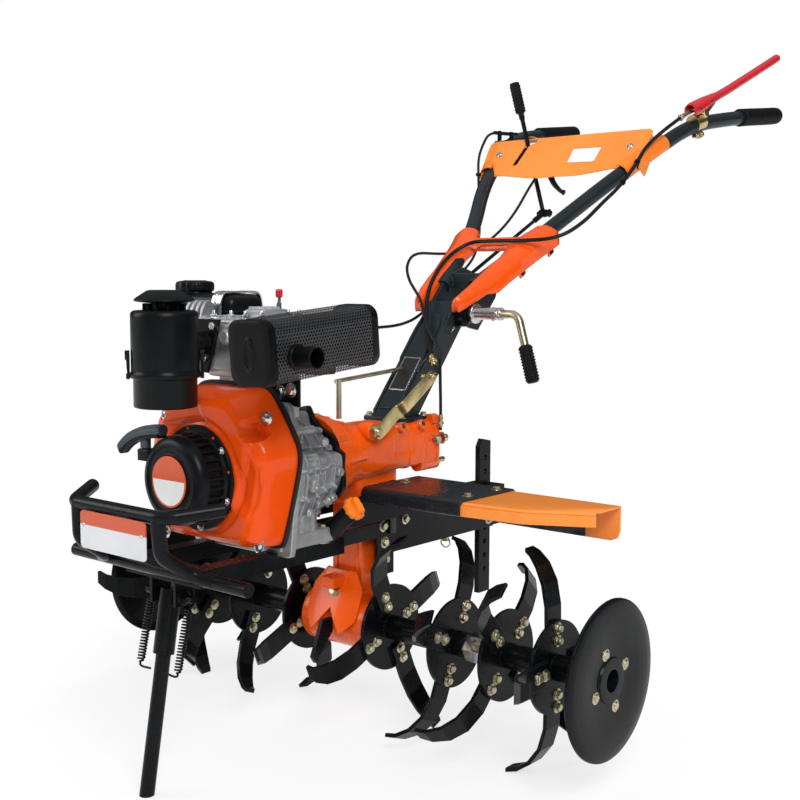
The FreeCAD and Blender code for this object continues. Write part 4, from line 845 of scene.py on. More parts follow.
def make_starter():
    """The recoil starter: a flange ring, a drum with upright slots, and a rounded nose."""
    foot = at(0, -364.6, CRANK)

    def slots(angle, height):
        """Narrow bars between slots: the radius drops by a tenth between them on the drum's side."""
        wave = np.abs(((angle * 30 / (2 * np.pi)) % 1) - 0.5) * 2
        drum = step(height, 9, 11) * (1 - step(height, 36, 38))
        return 1 - 0.10 * drum * step(wave, 0.30, 0.42)

    profile = [(0, 0), (86, 0), (86, 2.5), (84.5, 4.2), (77, 5), (75.5, 8), (75.2, 9), (75.1, 11), (74.5, 18),
               (74, 26), (73.4, 36), (73.2, 38), (72.5, 44), (70.5, 50), (66.5, 55), (61, 57.5), (57, 58),
               (56, 57.2), (44, 57.0), (43, 57.6), (42.4, 57.2), (0, 57.2)]
    shells = [turned(profile, foot, AHEAD, 300, ripple=slots)]
    shells.append(block((-92, -415, 520), (-62, -393, 539), 4))
    shells.append(lathe([(6.5, 0), (8, 2), (8, 12), (6, 14)], at(-92, -404, 529), (1, 0, -0.1), 24))
    thing = piece("starter_cover", shells, "black_plastic")
    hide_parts("recoil_starter")


def make_starter_fasteners():
    """Eight dots and four bolts round the starter's flange."""
    dots = [lathe([(2.6, 0), (2.2, 0.9)], at(around(80.8, angle, -369.4)), AHEAD, 14)
            for angle in np.radians(np.arange(8) * 45 + 12)]
    piece("starter_rivets", dots, "shroud_orange")
    bolts = []
    for angle in np.radians([38, 158, 278, 338]):
        bolts += hex_bolt(at(around(79.5, angle, -369)), AHEAD, 8, 5)
    piece("starter_bolts", bolts, "bright_steel")


def make_pull_handle():
    """The starter's grip: a wide bar on an arc, ribbed along, with its stem, and under it a black bar that is
    painted shade in its hollow underside.
    """
    corners = at([(-144, -404, 534), (-120, -404, 552), (-90, -404, 564), (-62, -404, 569.5),
                  (-37, -404, 572)])
    line = smooth_line(corners, 48)
    share = np.linspace(0, 1, 48)
    swell = 0.86 + 0.14 * np.sqrt(np.clip(1 - (2 * share - 1) ** 6, 0, 1))
    angle = np.linspace(0, 2 * np.pi, 120, endpoint=False)
    ribs = 1 + 0.055 * np.cos(18 * angle)
    ring = np.stack([11.0 * np.cos(angle) * ribs,
                     9.6 * np.sign(np.sin(angle)) * np.abs(np.sin(angle)) ** 0.7 * ribs], -1)
    shells = [carried(line, ring, Z, swell), block((-91, -410, 540), (-73, -398, 562), 4)]
    thing = piece("starter_grip", shells, "grey_plastic", crease=50)
    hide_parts("pull_handle")
    # A black bar poking out below the grey grip: painted shade in the grip's hollow underside.
    hollow = carried(line[2:-1] + (0, -0.001, -0.0078), rounded(19, 9, 3), Z)
    piece("grip_hollow_painted_shade", [hollow], "black_plastic", slot="grey_plastic", crease=50)


FOOT_Z, ROOF_Z = 372, 632


def crankcase_surface():
    """The crankcase's shell: rings about the crankshaft from the shroud's flange to the gear case.

    The radius steps in along the axis, and ribs, webs and bosses are added to it as smooth humps
    in angle and length.
    """
    a, y = np.meshgrid(np.linspace(0, 2 * np.pi, 400, endpoint=False), np.linspace(-262, -116, 150))
    mean_radius = 110
    sweep = step(y, -236, -150)
    body = 122 - 26 * sweep - 8 * step(y, -150, -128)
    tall = 1 + 0.07 * np.abs(np.sin(a)) ** 3 * (1 - sweep)
    notch = hump(np.degrees(a), 50, 27, 13) * step(y, -258, -206)
    radius = body * tall * (1 - 0.27 * notch)
    for turn in (*range(-62, 49, 22), *range(132, 243, 22)):
        radius = radius + 8.0 * (1 - step(apart(a, turn), 0.9, 2.2)) * hump(y, -195, 52, 10)
    for place in (-240, -208, -176, -146):
        radius = radius + 5.5 * hump(y, place, 1.6, 2.0)
    for turn, place, size in ((-52, -222, 12), (-30, -190, 11), (-8, -226, 12), (14, -168, 11),
                              (34, -214, 13), (56, -186, 11), (-50, -160, 11), (60, -236, 12), (2, -196, 9),
                              (-70, -196, 11), (128, -222, 12), (170, -190, 12), (214, -222, 12),
                              (236, -170, 11), (-36, -130, 11), (-6, -132, 12), (24, -130, 11),
                              (52, -132, 12)):
        far = np.hypot(np.radians(apart(a, turn)) * mean_radius, y - place)
        radius = radius + 12.0 * (1 - step(far, size - 3, size)) - 5.5 * (1 - step(far, 3.0, 4.2))
    radius = radius - 6.0 * hump(np.degrees(a), 14, 18, 5) * hump(y, -216, 18, 4)
    points = around(radius, a, y)
    points[..., 2] = np.clip(points[..., 2], FOOT_Z, ROOF_Z)
    ends = []
    for row in (points[:1], points[-1:]):
        ends.append((row - (0, 0, CRANK)) * (0.1, 1, 0.1) + (0, 0, CRANK))
    return capped(at(np.concatenate([ends[0], points, ends[1]])))


def crankcase_flange():
    """The crankcase's six-cornered flange behind the shroud."""
    angle = np.linspace(0, 2 * np.pi, 160, endpoint=False)
    corners = [(-125, 115), (-138, 38), (-116, -132), (122, -132), (140, 36), (118, 122)]
    reach = polar_reach(corners, angle, 0.3)
    section = ((-276, 0.5), (-276, 0.99), (-275, 1.0), (-266, 1.0), (-264, 0.985), (-262, 0.95), (-262, 0.5))
    return capped(at(np.array([around(reach * share, angle, y) for y, share in section])))


def make_crankcase():
    """The cast crankcase with its flange, its foot and skirt, and the bosses on them."""
    shells = [crankcase_surface(), crankcase_flange(),
              slab(rounded(210, 126, 8), 24, at(0, -216, FOOT_Z), X, Y, 2.5),
              super_block((-101, -268, FOOT_Z + 2), (101, -184, FOOT_Z + 66), 9)]
    for y in (-252, -226, -200):
        shells.append(slab(rounded(207, 56, 6), 5, at(0, y, FOOT_Z + 32), X, Z, 1.5))
    for x in (-96, 96):
        for y in (-262, -168):
            shells.append(lathe([(11, 0), (10, 20), (8, 23)], at(x * 0.94, y, FOOT_Z - 4.4), Z, 24))
    shells.append(slab(rounded(150, 60, 8), 24, at(0, -233, 585), X, Y, 4))
    for x, z in ((104, 424), (112, 470), (116, 520), (108, 566)):
        shells.append(lathe([(8, 0), (7, 60)], at(x * 0.93, -262, z), Y, 16))
    thing = piece("crankcase_casting", shells, "aluminium_cast", crease=32)
    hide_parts("crankcase")


def make_crankcase_bolts():
    """The bolts on the crankcase's left side and the open sockets in its foot."""
    bolts = []
    for x, y, z in ((113, -222, 430), (123, -226, 480), (118, -190, 545), (98, -160, 440)):
        bolts += hex_bolt(at(x, y, z), (1, 0, 0.1), 9, 5)
    piece("crankcase_bolts", bolts, "aluminium_cast")
    socket = [(9, 0), (9, 1.6), (7, 2.0), (6.6, -5), (0, -5), (0, -6), (9, -6)]
    piece("foot_sockets", [turned(socket, at(99.4, y, FOOT_Z + 7), X, 28) for y in (-240, -192)],
          "aluminium_cast")


def make_filler():
    """The dipstick's neck and its cap with a wide finger tab."""
    lean = math.radians(50)
    way = unit(np.array([math.sin(lean), 0, math.cos(lean)]))
    foot = at(112, -150, 402)
    neck = [lathe([(19, -52), (17, -14), (16, 0), (15.5, 30), (13.5, 33), (13.5, 41)], foot, way, 36)]
    piece("filler_neck", neck, "black_plastic", slot="aluminium_cast")

    def teeth(angle, height):
        """Ten square teeth round the rim, a twentieth of the radius high."""
        return 1 + 0.05 * np.sign(np.sin(10 * angle))

    cap = foot + way * 0.040
    shells = [lathe([(19, 0), (20, 2), (20, 7), (17.5, 10)], cap, way, 48, ripple=teeth),
              slab(rounded(30, 13, 6), 11, cap + way * 0.009, unit(np.cross(Y, way)), Y, 2.5)]
    thing = piece("filler_cap", shells, "cap_orange")
    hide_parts("dipstick_cap")


HEAD_TOP = CRANK + 255
INTAKE = CRANK + 216


def make_rocker_cover():
    """The rocker cover: a front block, a long block with a dome, its gasket's rim, and low ribs."""
    cover = [super_block((-46, -300, HEAD_TOP - 24), (46, -266, HEAD_TOP + 1), 7),
             super_block((-26, -266, HEAD_TOP - 24), (46, -164, HEAD_TOP + 3), 7),
             super_block((-14, -250, HEAD_TOP), (34, -188, HEAD_TOP + 15), 6),
             slab(rounded(112, 148, 10), 5, at(0, -231, HEAD_TOP - 26), X, Y, 1.5)]
    for x in (-24, -8, 8, 24):
        cover.append(slab(rounded(5, 30, 2), 5, at(x, -283, HEAD_TOP), X, Y, 1.5))
    for y in (-240, -224, -208):
        cover.append(slab(rounded(40, 4, 1.8), 5, at(10, y, HEAD_TOP + 13.5), X, Y, 1.5))
    thing = piece("rocker_casting", cover, "aluminium_cast", crease=35)
    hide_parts("rocker_cover")


def make_head_nuts():
    """Nuts on their studs round the rocker cover, and bolts in the head's left and front sides."""
    nuts = []
    for x, y in ((-38, -292), (38, -292), (40, -258), (40, -172), (12, -170), (4, -292)):
        nuts += hex_bolt(at(x, y, HEAD_TOP - 1), Z, 11, 8)
        nuts.append(lathe([(3, 0), (3, 13), (2.4, 14)], at(x, y, HEAD_TOP - 1), Z, 12))
    for y, up in ((-286, 212), (-200, 212), (-286, 240)):
        nuts += hex_bolt(at(75, y, CRANK + up), X, 10, 6)
    for x, up in ((52, 236), (56, 206), (-30, 200)):
        nuts += hex_bolt(at(x, -313, CRANK + up), AHEAD, 10, 6)
    piece("head_nuts", nuts, "bright_steel")


def make_decompression_lever():
    """The small red lever on its stem behind the rocker cover's dome."""
    stem = lathe([(4.6, 0), (4.2, 12), (2.8, 14), (2.6, 27)], at(2, -182, HEAD_TOP + 11), (0.05, 0.02, 1), 20)
    piece("lever_stem", [stem], "grey_plastic")
    tip = [super_block((-3.5, -185.5, HEAD_TOP + 33), (9.5, -178.5, HEAD_TOP + 47.5), 5)]
    piece("lever_tip", tip, "lever_red", crease=50)


def make_head_castings():
    """The head's side bosses, its front face, and the finned arches at its inlet."""
    bosses = [super_block((66, -300, CRANK + 196), (82, -168, CRANK + 222), 6),
              lathe([(17, 0), (16, 16), (12, 20)], at(62, -292, CRANK + 214), (0.9, -0.4, 0), 32),
              lathe([(12, 0), (12, 26), (9, 30)], at(32, -306, CRANK + 224), (0, -1, 0.1), 32)]
    piece("head_bosses", bosses, "aluminium_cast", crease=35)
    face = [super_block((-38, -314, CRANK + 160), (66, -290, CRANK + 254), 8),
            slab([(-26, -40), (34, -40), (34, 34), (-2, 34)], 5, at(0, -314, CRANK + 212), X, Z, 2)]
    piece("head_face", face, "aluminium_cast", crease=35)
    fins = [super_block((-108, -300, CRANK + 232), (-44, -268, CRANK + 258), 6)]
    arc = np.radians(np.linspace(0, 180, 24))
    arch = np.column_stack([17 * np.cos(arc), 36 * np.sin(arc)])
    for x in (-102, -89, -76, -63):
        fins.append(slab(arch, 5, at(x, -286, CRANK + 248), Y, Z, 1.5))
    piece("inlet_fins", fins, "aluminium_cast", crease=35)


def make_intake():
    """The duct from the head's front, and the plate in front of it that holds the air cleaner."""
    duct = [lathe([(17, 0), (17, 6), (15, 8), (14, 46)], at(-26, -318, INTAKE), AHEAD, 40),
            slab([(-30, -22), (-4, -22), (8, 20), (-30, 20)], 6, at(-4, -318, INTAKE), X, Z, 1.5)]
    piece("intake_duct", duct, "black_plastic", crease=35)
    bracket = [slab([(-56, -50), (-28, -50), (2, 38), (-56, 38)], 5, at(8, -320, INTAKE), X, Z, 1.2),
               slab([(-40, -30), (-24, -30), (-10, 18), (-40, 18)], 36, at(-4, -332, INTAKE), X, Z, 3)]
    thing = piece("cleaner_plate", bracket, "black_paint", crease=35)
    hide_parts("cleaner_bracket")
    bolts = []
    for x, up in ((-4, 27), (-25, -26)):
        bolts += hex_bolt(at(x, -323, INTAKE + up), AHEAD, 12, 7)
    piece("cleaner_bolts", bolts, "bright_steel")


TANK_TOP = CRANK + 295


def make_tank():
    """The fuel tank: an upper block with rounded shoulders, a narrower one below it, and a seam."""

    def shoulders(shape):
        """Pulls the upper third in towards the middle."""
        shape = shape.copy()
        lift = step(shape[..., 2], 0.2, 1.0)
        shape[..., 1] *= 1 - 0.07 * lift
        shape[..., 0] *= 1 - 0.03 * lift
        return shape

    body = [super_block((-204.8, -261.6, CRANK + 234), (-35.2, -172.4, TANK_TOP), 6.0, 60, 120, shoulders),
            super_block((-204, -260, CRANK + 197.6), (-66.5, -174, TANK_TOP - 16), 6.0, 40, 100),
            slab(rounded(172, 92, 16, 10), 2.4, at(-120, -217, CRANK + 262), X, Y, 1.0)]
    thing = piece("tank_shell", body, "black_paint")
    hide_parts("fuel_tank")


def make_tank_cap():
    """The fuel cap, with ten finger hollows round its rim."""

    def knobs(angle, height):
        """The radius drops by a twentieth in each hollow."""
        return 1 - 0.045 * step(np.cos(angle * 10), 0.1, 0.9) * (height > 1) * (height < 24)

    cap = [lathe([(30, -1), (30, 2), (32, 3), (34, 5), (34, 15), (32.5, 18.5), (28, 20.4), (21, 21.2),
                  (19, 22)], at(-165, -225, TANK_TOP), Z, 160, ripple=knobs)]
    thing = piece("tank_cap", cap, "black_plastic")
    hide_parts("fuel_cap")


def strap_line(x, foot, bend, shoulder, crown):
    """The strap's way over the tank: up in front, over its top at a height of crown, and down behind.

    foot, bend and shoulder are its distances in front of and behind the tank's middle.
    """
    middle = -217
    front = [(foot, CRANK + 236), (foot, CRANK + 262), (bend, CRANK + 284),
             (shoulder, TANK_TOP + crown - 0.1)]
    corners = [(x, middle - out, up) for out, up in front]
    corners += [(x, middle, TANK_TOP + crown)] + [(x, middle + out, up) for out, up in front[::-1]]
    return smooth_line(at(corners), 60)


def make_tank_strap():
    """The strap over the tank, pressed with a rib along each edge."""
    strap = [carried(strap_line(x, 47.5, 46, 35, 1.9), rounded(3.2, 9.5, 1.2), X) for x in (-71.5, -56.5)]
    strap.append(carried(strap_line(-64, 47, 45.4, 34, 1.3), rounded(1.4, 22, 0.6), X))
    thing = piece("tank_strap_ribs", strap, "bright_steel", slot="aluminium_cast")
    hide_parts("tank_strap")


CLEANER = (-14, -416)


def make_cleaner():
    """The oil-bath air cleaner: bowl, bead, body, ribbed neck and mushroom cap."""
    low = float(extent("air_cleaner")[0][2])
    x, y = CLEANER
    body = [lathe([(46, 0), (49, 1.2), (50, 3), (50, 45), (51, 46.5), (54, 47.5), (55, 50), (55, 54),
                   (54, 56), (53, 57.5), (53, 60), (53, 143), (52.4, 149), (49, 152.4), (44, 153.2),
                   (22, 153.4), (20, 155), (20, 164), (43, 166.2), (46.8, 167.4), (47, 169.4), (45, 172),
                   (36, 178), (29, 182.6), (25.5, 184.2), (21, 184.8)], at(x, y, low), Z, 96)]
    for a in np.radians(np.arange(0, 360, 30)):
        body.append(slab(rounded(1.6, 11, 0.6), 10,
                         at(x + 24 * math.cos(a), y + 24 * math.sin(a), low + 158.5),
                         (-math.sin(a), math.cos(a), 0), Z, 0.5))
    thing = piece("cleaner_body", body, "black_plastic")
    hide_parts("air_cleaner")


def make_cleaner_clips():
    """Two toggle clips across the bowl's bead, each a plate, a latch, a foot and a bent wire."""
    low = float(extent("air_cleaner")[0][2])
    for name, turn in (("front", -128), ("rear", 52)):
        a = math.radians(turn)
        out = np.array([math.cos(a), math.sin(a), 0])
        side = np.array([-math.sin(a), math.cos(a), 0])
        foot = at(*CLEANER, low) + out * 0.0545
        clip = [slab(rounded(15, 34, 3), 3.5, foot + (0, 0, 0.072), side, Z, 1.0),
                slab(rounded(9, 15, 2), 7.5, foot + (0, 0, 0.083), side, Z, 1.5),
                slab(rounded(11, 9, 2), 6, foot + (0, 0, 0.050), side, Z, 1.5)]
        bends = np.array([(8, 3, 52), (10, 4, 68), (0, 5, 86), (-10, 4, 68), (-8, 3, 52)]) / 1000
        wire = smooth_line(foot + bends @ np.array([side, out, Z]), 30)
        clip.append(carried(wire, circle(1.1, 8), out))
        piece("cleaner_clip_" + name, clip, "black_plastic")


def guard_finish():
    """The muffler's perforated sheet: staggered round holes by alpha, from the sheet's own UV map in metres.

    Each hole's middle lies on a triangular net: rows 5 mm apart, every other row moved half a pitch. A paler
    ring round each hole is a painted highlight on its edge.
    """
    material, w, shader, place = base_material("tiller_guard")
    variety = use(w, "variety", {"Vector": place, "Scale": 16.0})
    flat = w.add("ShaderNodeUVMap", uv_map="sheet").outputs[0]
    part = w.add("ShaderNodeSeparateXYZ", {0: flat})
    across = w.math("DIVIDE", part.outputs["X"], 0.0058)
    rows = w.math("DIVIDE", part.outputs["Y"], 0.0050)
    odd = w.math("MULTIPLY", w.math("MODULO", w.math("FLOOR", rows), 2.0), 0.5)
    u = w.math("SUBTRACT", w.math("FRACT", w.math("ADD", across, odd)), 0.5)
    v = w.math("SUBTRACT", w.math("FRACT", rows), 0.5)
    wide = w.math("MULTIPLY", u, 1.16)
    reach = w.math("SQRT", w.math("ADD", w.math("MULTIPLY", wide, wide), w.math("MULTIPLY", v, v)))
    sheet = w.spread(reach, 0.335, 0.38)
    # Paler ring round each hole: painted highlight on the holes' edges.
    rim = w.spread(reach, 0.38, 0.45, 1.0, 0.0)
    base = w.blend(variety.outputs["Clouds"], (0.016, 0.017, 0.018), (0.028, 0.029, 0.031))
    base = w.blend(w.math("MULTIPLY", rim, 0.4), base, (0.09, 0.095, 0.10))
    relief = w.add("ShaderNodeBump",
                   {"Height": w.spread(reach, 0.30, 0.46), "Strength": 0.5, "Distance": 0.0006})
    w.tree.links.new(base, shader.inputs["Base Color"])
    w.tree.links.new(w.spread(variety.outputs["Grain"], 0, 1, 0.30, 0.42), shader.inputs["Roughness"])
    w.tree.links.new(relief.outputs[0], shader.inputs["Normal"])
    w.tree.links.new(sheet, shader.inputs["Alpha"])
    return material


def muffler_point(across, along, rise):
    """Points of the muffler's box, whose length climbs by 5 degrees, in the row frame."""
    slope = math.radians(5)
    x, y, z = 178.0, -450.0, CRANK + 165
    return at(np.stack(np.broadcast_arrays(x + across, y + (along * math.cos(slope) - rise * math.sin(slope)),
                                           z + (along * math.sin(slope) + rise * math.cos(slope))), -1))


MUFFLER_HALF = np.array([42.0, 48.0])


def muffler_rings(ring, sections):
    """Rings of the muffler's box at (along, inset): an outline drawn in towards its middle."""
    rows = []
    for along, inset in sections:
        out = ring * (1 - inset / np.abs(ring).max(axis=1, keepdims=True).clip(20))
        rows.append(muffler_point(out[:, 0] + MUFFLER_HALF[0], along, out[:, 1] + MUFFLER_HALF[1]))
    return np.array(rows)


def muffler_beads():
    """Two oval beads pressed into the muffler's front."""
    angle = np.linspace(0, 2 * np.pi, 48, endpoint=False)
    beads = []
    for radius, lift in ((15, 1.6), (9.5, 1.2)):
        rows = []
        for change, rise in ((2.5, 0), (1.2, 0.8), (0, 1), (-1.2, 0.8), (-2.5, 0)):
            reach = radius + change
            rows.append(muffler_point(42 + 0.72 * reach * np.cos(angle), 0.2 - rise * lift,
                                      46 + 1.5 * reach * np.sin(angle)))
        beads.append(skin(np.array(rows), True))
    return beads


def make_muffler():
    """The muffler's inner drum, pressed end caps, outlet, inlet pipe and bracket."""
    drum = rounded(74, 86, 36, 8)
    cap = rounded(84, 96, 20, 8)
    shells = [capped(muffler_rings(drum, [(along, 0) for along in (6, 10, 226, 230)]))]
    for ends in ([(15.5, 0.6), (15.5, 0), (1.6, 0), (0.5, 0.5), (0, 1.6), (0, 12), (0, 30)],
                 [(220.5, 0.6), (220.5, 0), (234.4, 0), (235.5, 0.5), (236, 1.6), (236, 12), (236, 30)]):
        shells.append(capped(muffler_rings(cap, ends)))
    shells += muffler_beads()
    pipe = [(15.5, -125), (16, -4), (16.2, 0), (15.4, 0.6), (14.2, 0.2), (14, -3), (13.8, -32), (0, -32)]
    collar = [(19, -2), (18.5, 2), (17, 4), (16, 4.5), (16, -2), (19, -2)]
    shells += [turned(pipe, at(302.4, -400, CRANK + 208), (1, 0, 0.02), 40),
               turned(collar, at(263, -400, CRANK + 208), X, 40),
               lathe([(17, 0), (17, 112)], at(74, -232, CRANK + 227), X, 32),
               slab(rounded(84, 24, 5), 36, at(134, -226, CRANK + 180), X, Z, 3),
               slab([(-62, -24), (30, -34), (30, 14), (-62, 14)], 5, at(98, -257, CRANK + 148), X, Z, 1.2)]
    thing = piece("muffler_body", shells, "muffler_black", crease=38)
    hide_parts("muffler")


def make_muffler_bolts():
    """Two large bolts in the muffler's bracket."""
    bolts = []
    for x, up in ((86, 136), (111, 141)):
        bolts += hex_bolt(at(x, -262, CRANK + up), AHEAD, 14, 6)
    piece("muffler_bolts", bolts, "bright_steel")


def make_muffler_guard():
    """The perforated sheet round the drum, with a flat map in metres for its holes."""
    outline = rounded(83.4, 95.4, 19.7, 8)
    closed = np.vstack([outline, outline[:1]]) + MUFFLER_HALF
    along = np.linspace(15, 221, 12)[:, None]
    points = muffler_point(closed[:, 0], along, closed[:, 1])
    guard = piece("muffler_mesh", [skin(points)], guard_finish(), slot="muffler_black", crease=60,
                  welded=False)
    run = distances(closed) / 1000
    flat = np.stack(np.meshgrid(along / 1000, run, indexing="ij"), -1).reshape(-1, 2)
    layer = guard.data.uv_layers.new(name="sheet")
    corners = np.zeros(len(guard.data.loops), int)
    guard.data.loops.foreach_get("vertex_index", corners)
    layer.data.foreach_set("uv", flat[corners].ravel())
    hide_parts("muffler_guard")


# ------------------------------------------------------------ gear case, frame and rotor

def gear_case_surface():
    """The gear case's shell: rings along the machine that go from round to a rounded box.

    A ring's reach at angle a is (|cos a / w|^n + |sin a / h|^n)^(-1/n), with w, h and n running
    from the neck to the box; ribs and beads are humps added to it.
    """
    length = np.concatenate([np.linspace(-105, -84, 14), np.linspace(-83, 40, 60), np.linspace(41, 196, 70)])
    a, y = np.meshgrid(np.linspace(0, 2 * np.pi, 240, endpoint=False), length)
    bell, neck = y < -83.5, 56
    box = step(y, -40, 46)
    width = np.where(bell, 78.5, 66 - 10 * step(y, -83, 0)) + box * (60 - neck)
    height = np.where(bell, 78.5, 68 - 12 * step(y, -83, 0)) + box * (np.where(np.sin(a) > 0, 52, 37) - neck)
    power = 2 + 3.2 * box
    reach = (np.abs(np.cos(a) / width) ** power + np.abs(np.sin(a) / height) ** power) ** (-1 / power)
    reach = reach * (1 - 0.05 * step(y, 184, 196) ** 2)
    for place, size in ((-72, 4.5), (-62, 4.5), (186, 2.6)):
        reach = reach + size * hump(y, place, 3.5, 2.5)
    reach = reach + 2.0 * hump(y, 104, 1.5, 3) * step(y, -30, -20)
    for turn in (90, 0, 180):
        reach = reach + 3.0 * (1 - step(apart(a, turn), 2.5, 6)) * hump(y, -50, 28, 10)
    x, z = reach * np.cos(a), reach * np.sin(a)
    x = x - 2.6 * hump(y, 86, 26, 6) * hump(z, 14, 16, 6) * step(x, 52, 57)
    seam = hump(y, 148, 1.0, 1.5)
    x, z = x * (1 - 0.02 * seam), z * (1 - 0.02 * seam)
    points = np.stack([x, y, CRANK + z], -1)
    centre = points.mean(axis=1, keepdims=True)
    ends = [centre[:1] + (points[:1] - centre[:1]) * 0.5, points,
            centre[-1:] + (points[-1:] - centre[-1:]) * 0.9, centre[-1:] + (points[-1:] - centre[-1:]) * 0.5]
    return capped(at(np.concatenate(ends)))


BELL_BOLTS = np.radians(np.arange(30, 390, 60))


def make_gear_case():
    """The gear case's casting with its foot, the bell's bosses and the bosses on its left side."""
    shells = [gear_case_surface(), super_block((-43, -24, 397.5), (43, 90, CRANK - 18), 9)]
    shells += [lathe([(12, 0), (11, 12), (9, 15)], at(around(70, angle, -98)), Y, 24) for angle in BELL_BOLTS]
    for x, y, up, way in ((52, 178, 52, Y), (54, 135, 43, (1, 0, 0.35)), (54, 76, 43, (1, 0, 0.35))):
        shells.append(lathe([(11, -10), (10, 10), (8, 12)], at(x, y, CRANK + up), way, 24))
    shells.append(lathe([(16, 0), (16, 24), (14, 27), (8.8, 27), (8.8, 10)], at(36, -6, CRANK + 45), X, 32))
    shells.append(lathe([(14, 0), (13.5, 56), (11, 60)], at(44, 140, CRANK - 33), Y, 28))
    thing = piece("gear_casting", shells, "gear_orange", crease=35)
    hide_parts("gear_case")


def make_gear_bolts():
    """The bolts of the gear case's bell, side, top and back, and its drain and level plugs."""
    bolts = []
    for angle in BELL_BOLTS:
        bolts += hex_bolt(at(around(70, angle, -83)), Y, 11, 7)
    for y in (76, 135):
        bolts += hex_bolt(at(58, y, CRANK + 45), (1, 0, 0.35), 12, 8)
    for x in (-38, 38):
        for y in (104, 168):
            bolts += hex_bolt(at(x, y, CRANK + 51), Z, 11, 7)
    for x, up in ((40, 40), (-40, 40), (46, -20), (-46, -20)):
        bolts += hex_bolt(at(x, 195, CRANK + up), Y, 11, 7)
    bolts.append(lathe([(5, 0), (5, 22), (4, 24)], at(50, 194, CRANK - 30), Y, 20))
    bolts += hex_bolt(at(60, 198, CRANK + 14), (0.3, 1, 0), 14, 12)
    bolts.append(lathe([(8, 0), (8, 10), (6.5, 12)], at(60, 176, CRANK + 14), X, 24))
    piece("gear_bolts", bolts, "zinc")


def make_adapter_plate():
    """The plate between crankcase and gear case: six lobes and a notch on its upper left."""
    angle = np.linspace(0, 2 * np.pi, 180, endpoint=False)
    wave = 91 + 5.5 * np.cos(6 * (angle - math.radians(30))) - 17 * hump(np.degrees(angle), 50, 28, 12)
    section = ((-114.8, 1.2), (-114.4, 0.2), (-113.6, 0), (-106.4, 0), (-105.6, 0.2), (-105.2, 1.2))
    rings = np.array([around(wave - inset, angle, y) for y, inset in section])
    thing = piece("adapter_plate", [capped(at(rings))], "black_paint")
    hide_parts("bell_plate")


def make_shield():
    """The leg's front shield, folded along its middle, and the block behind its top.

    At x the sheet runs from 1.42(|x| - 36) below its upper edge, or 0, down to a V that is
    72 + 1.41|x| deep inside |x| = 34 and rises again outside it.
    """
    high = extent("leg_shield")[1]
    slope = math.radians(66)
    x, share = np.meshgrid(np.linspace(-60, 60, 81), np.linspace(0, 1, 40))
    reach = np.abs(x)
    top = 1.42 * np.clip(reach - 36, 0, None)
    bottom = np.where(reach < 34, 72 + 1.41 * reach, 120 - 1.08 * (reach - 34))
    drop = top + share * (bottom - top)
    fold = reach ** 2 / (reach + 90) * 0.32
    y = -26 - drop * math.cos(slope) + fold
    z = high[2] - 1.5 - drop * math.sin(slope)
    front = np.stack([x, y, z], -1)
    shells = [capped(at(np.concatenate([front, (front + (0, 3, 1.2))[:, ::-1]], axis=1)))]
    shells.append(super_block((-17, -64, high[2] - 30), (17, -9, high[2] - 8), 7))
    thing = piece("leg_shield_sheet", shells, "gear_orange", crease=35)
    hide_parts("leg_shield")


def make_leg_fittings():
    """The shield's bolt, the leg's side bolts and flanges, and the seams down its front."""
    high = extent("leg_shield")[1]
    bolts = hex_bolt(at(0, -42, high[2] - 40), (0, -1, 0.45), 13, 9)
    for sign in (-1, 1):
        bolts += hex_bolt(at(sign * 35, 4, 384), (sign, 0, 0), 12, 6)
    piece("leg_bolts", bolts, "zinc")
    seams = []
    for x in (-25, 25):
        line = np.linspace(at(x, -8.6, 262), at(x, -8.6, 412), 10)
        seams.append(carried(line, rounded(5, 3.2, 1.4), Y))
    for sign in (-1, 1):
        seams.append(lathe([(49, 0), (49, 2), (46, 4), (28, 4.5), (27, 6), (17, 6), (17, 1)],
                           at(sign * 72, 0, AXLE), (sign, 0, 0), 48))
    piece("leg_seams", seams, "gear_orange")


def make_frame():
    """Bolts of the engine's frame: four down into its rails and three on each side of the leg."""
    size = bpy.context.scene.tiller_sizes.bolt * 1000
    base = float(extent("engine_frame")[1][2])
    shells = []
    for x in (-90, 90):
        for y in (-262, -168):
            shells += hex_bolt(at(x * 0.99, y, base + 23), Z, size, 8)
    for y, drop in ((32, 8), (36, 39), (39, 71)):
        for sign in (-1, 1):
            shells += hex_bolt(at(sign * 53.5, y, base - drop), (sign, 0, 0), size, 7)
    piece("frame_bolts", shells, "zinc")


def make_front_plate():
    """The plate on the bumper with its tabs and rivets, the tubes' weld beads, and the leg's cheeks."""
    base = float(extent("engine_frame")[1][2])
    low, high = extent("bumper_plate")
    board = [slab(rounded(160, 59, 7), 2.6, at(7, low[1] + 3, high[2] - 30), X, Z, 1.0)]
    thing = piece("front_plate", board, "bumper_plate", slot="badge_white")
    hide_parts("bumper_plate")
    tabs = []
    for x in (-46, 46):
        tabs.append(slab(rounded(20, 30, 3), 5, at(x, low[1] + 9, high[2] - 15), X, Z, 1.0))
    for x in (-98, 98):
        bead = smooth_line(at([(x - 11, -526, 455), (x, -534, 453), (x + 11, -526, 455)]), 8)
        tabs.append(carried(bead, circle(2.2, 10), Y))
    piece("plate_tabs", tabs, "black_paint")
    cheek = [(-108, 6), (58, 6), (58, 62), (-34, 62), (-108, 34)]
    cheeks = [slab(cheek, 5, at(x, 0, base), Y, Z, 1.5) for x in (-62, 62)]
    piece("leg_cheeks", cheeks, "black_paint")
    head = [(0, 0), (3.2, 0), (2.6, 1.4), (0, 1.9)]
    rivets = [turned(head, at(x, low[1] + 0.4, high[2] - 22), AHEAD, 16) for x in (-64, 78)]
    piece("plate_rivets", rivets, "bright_steel")


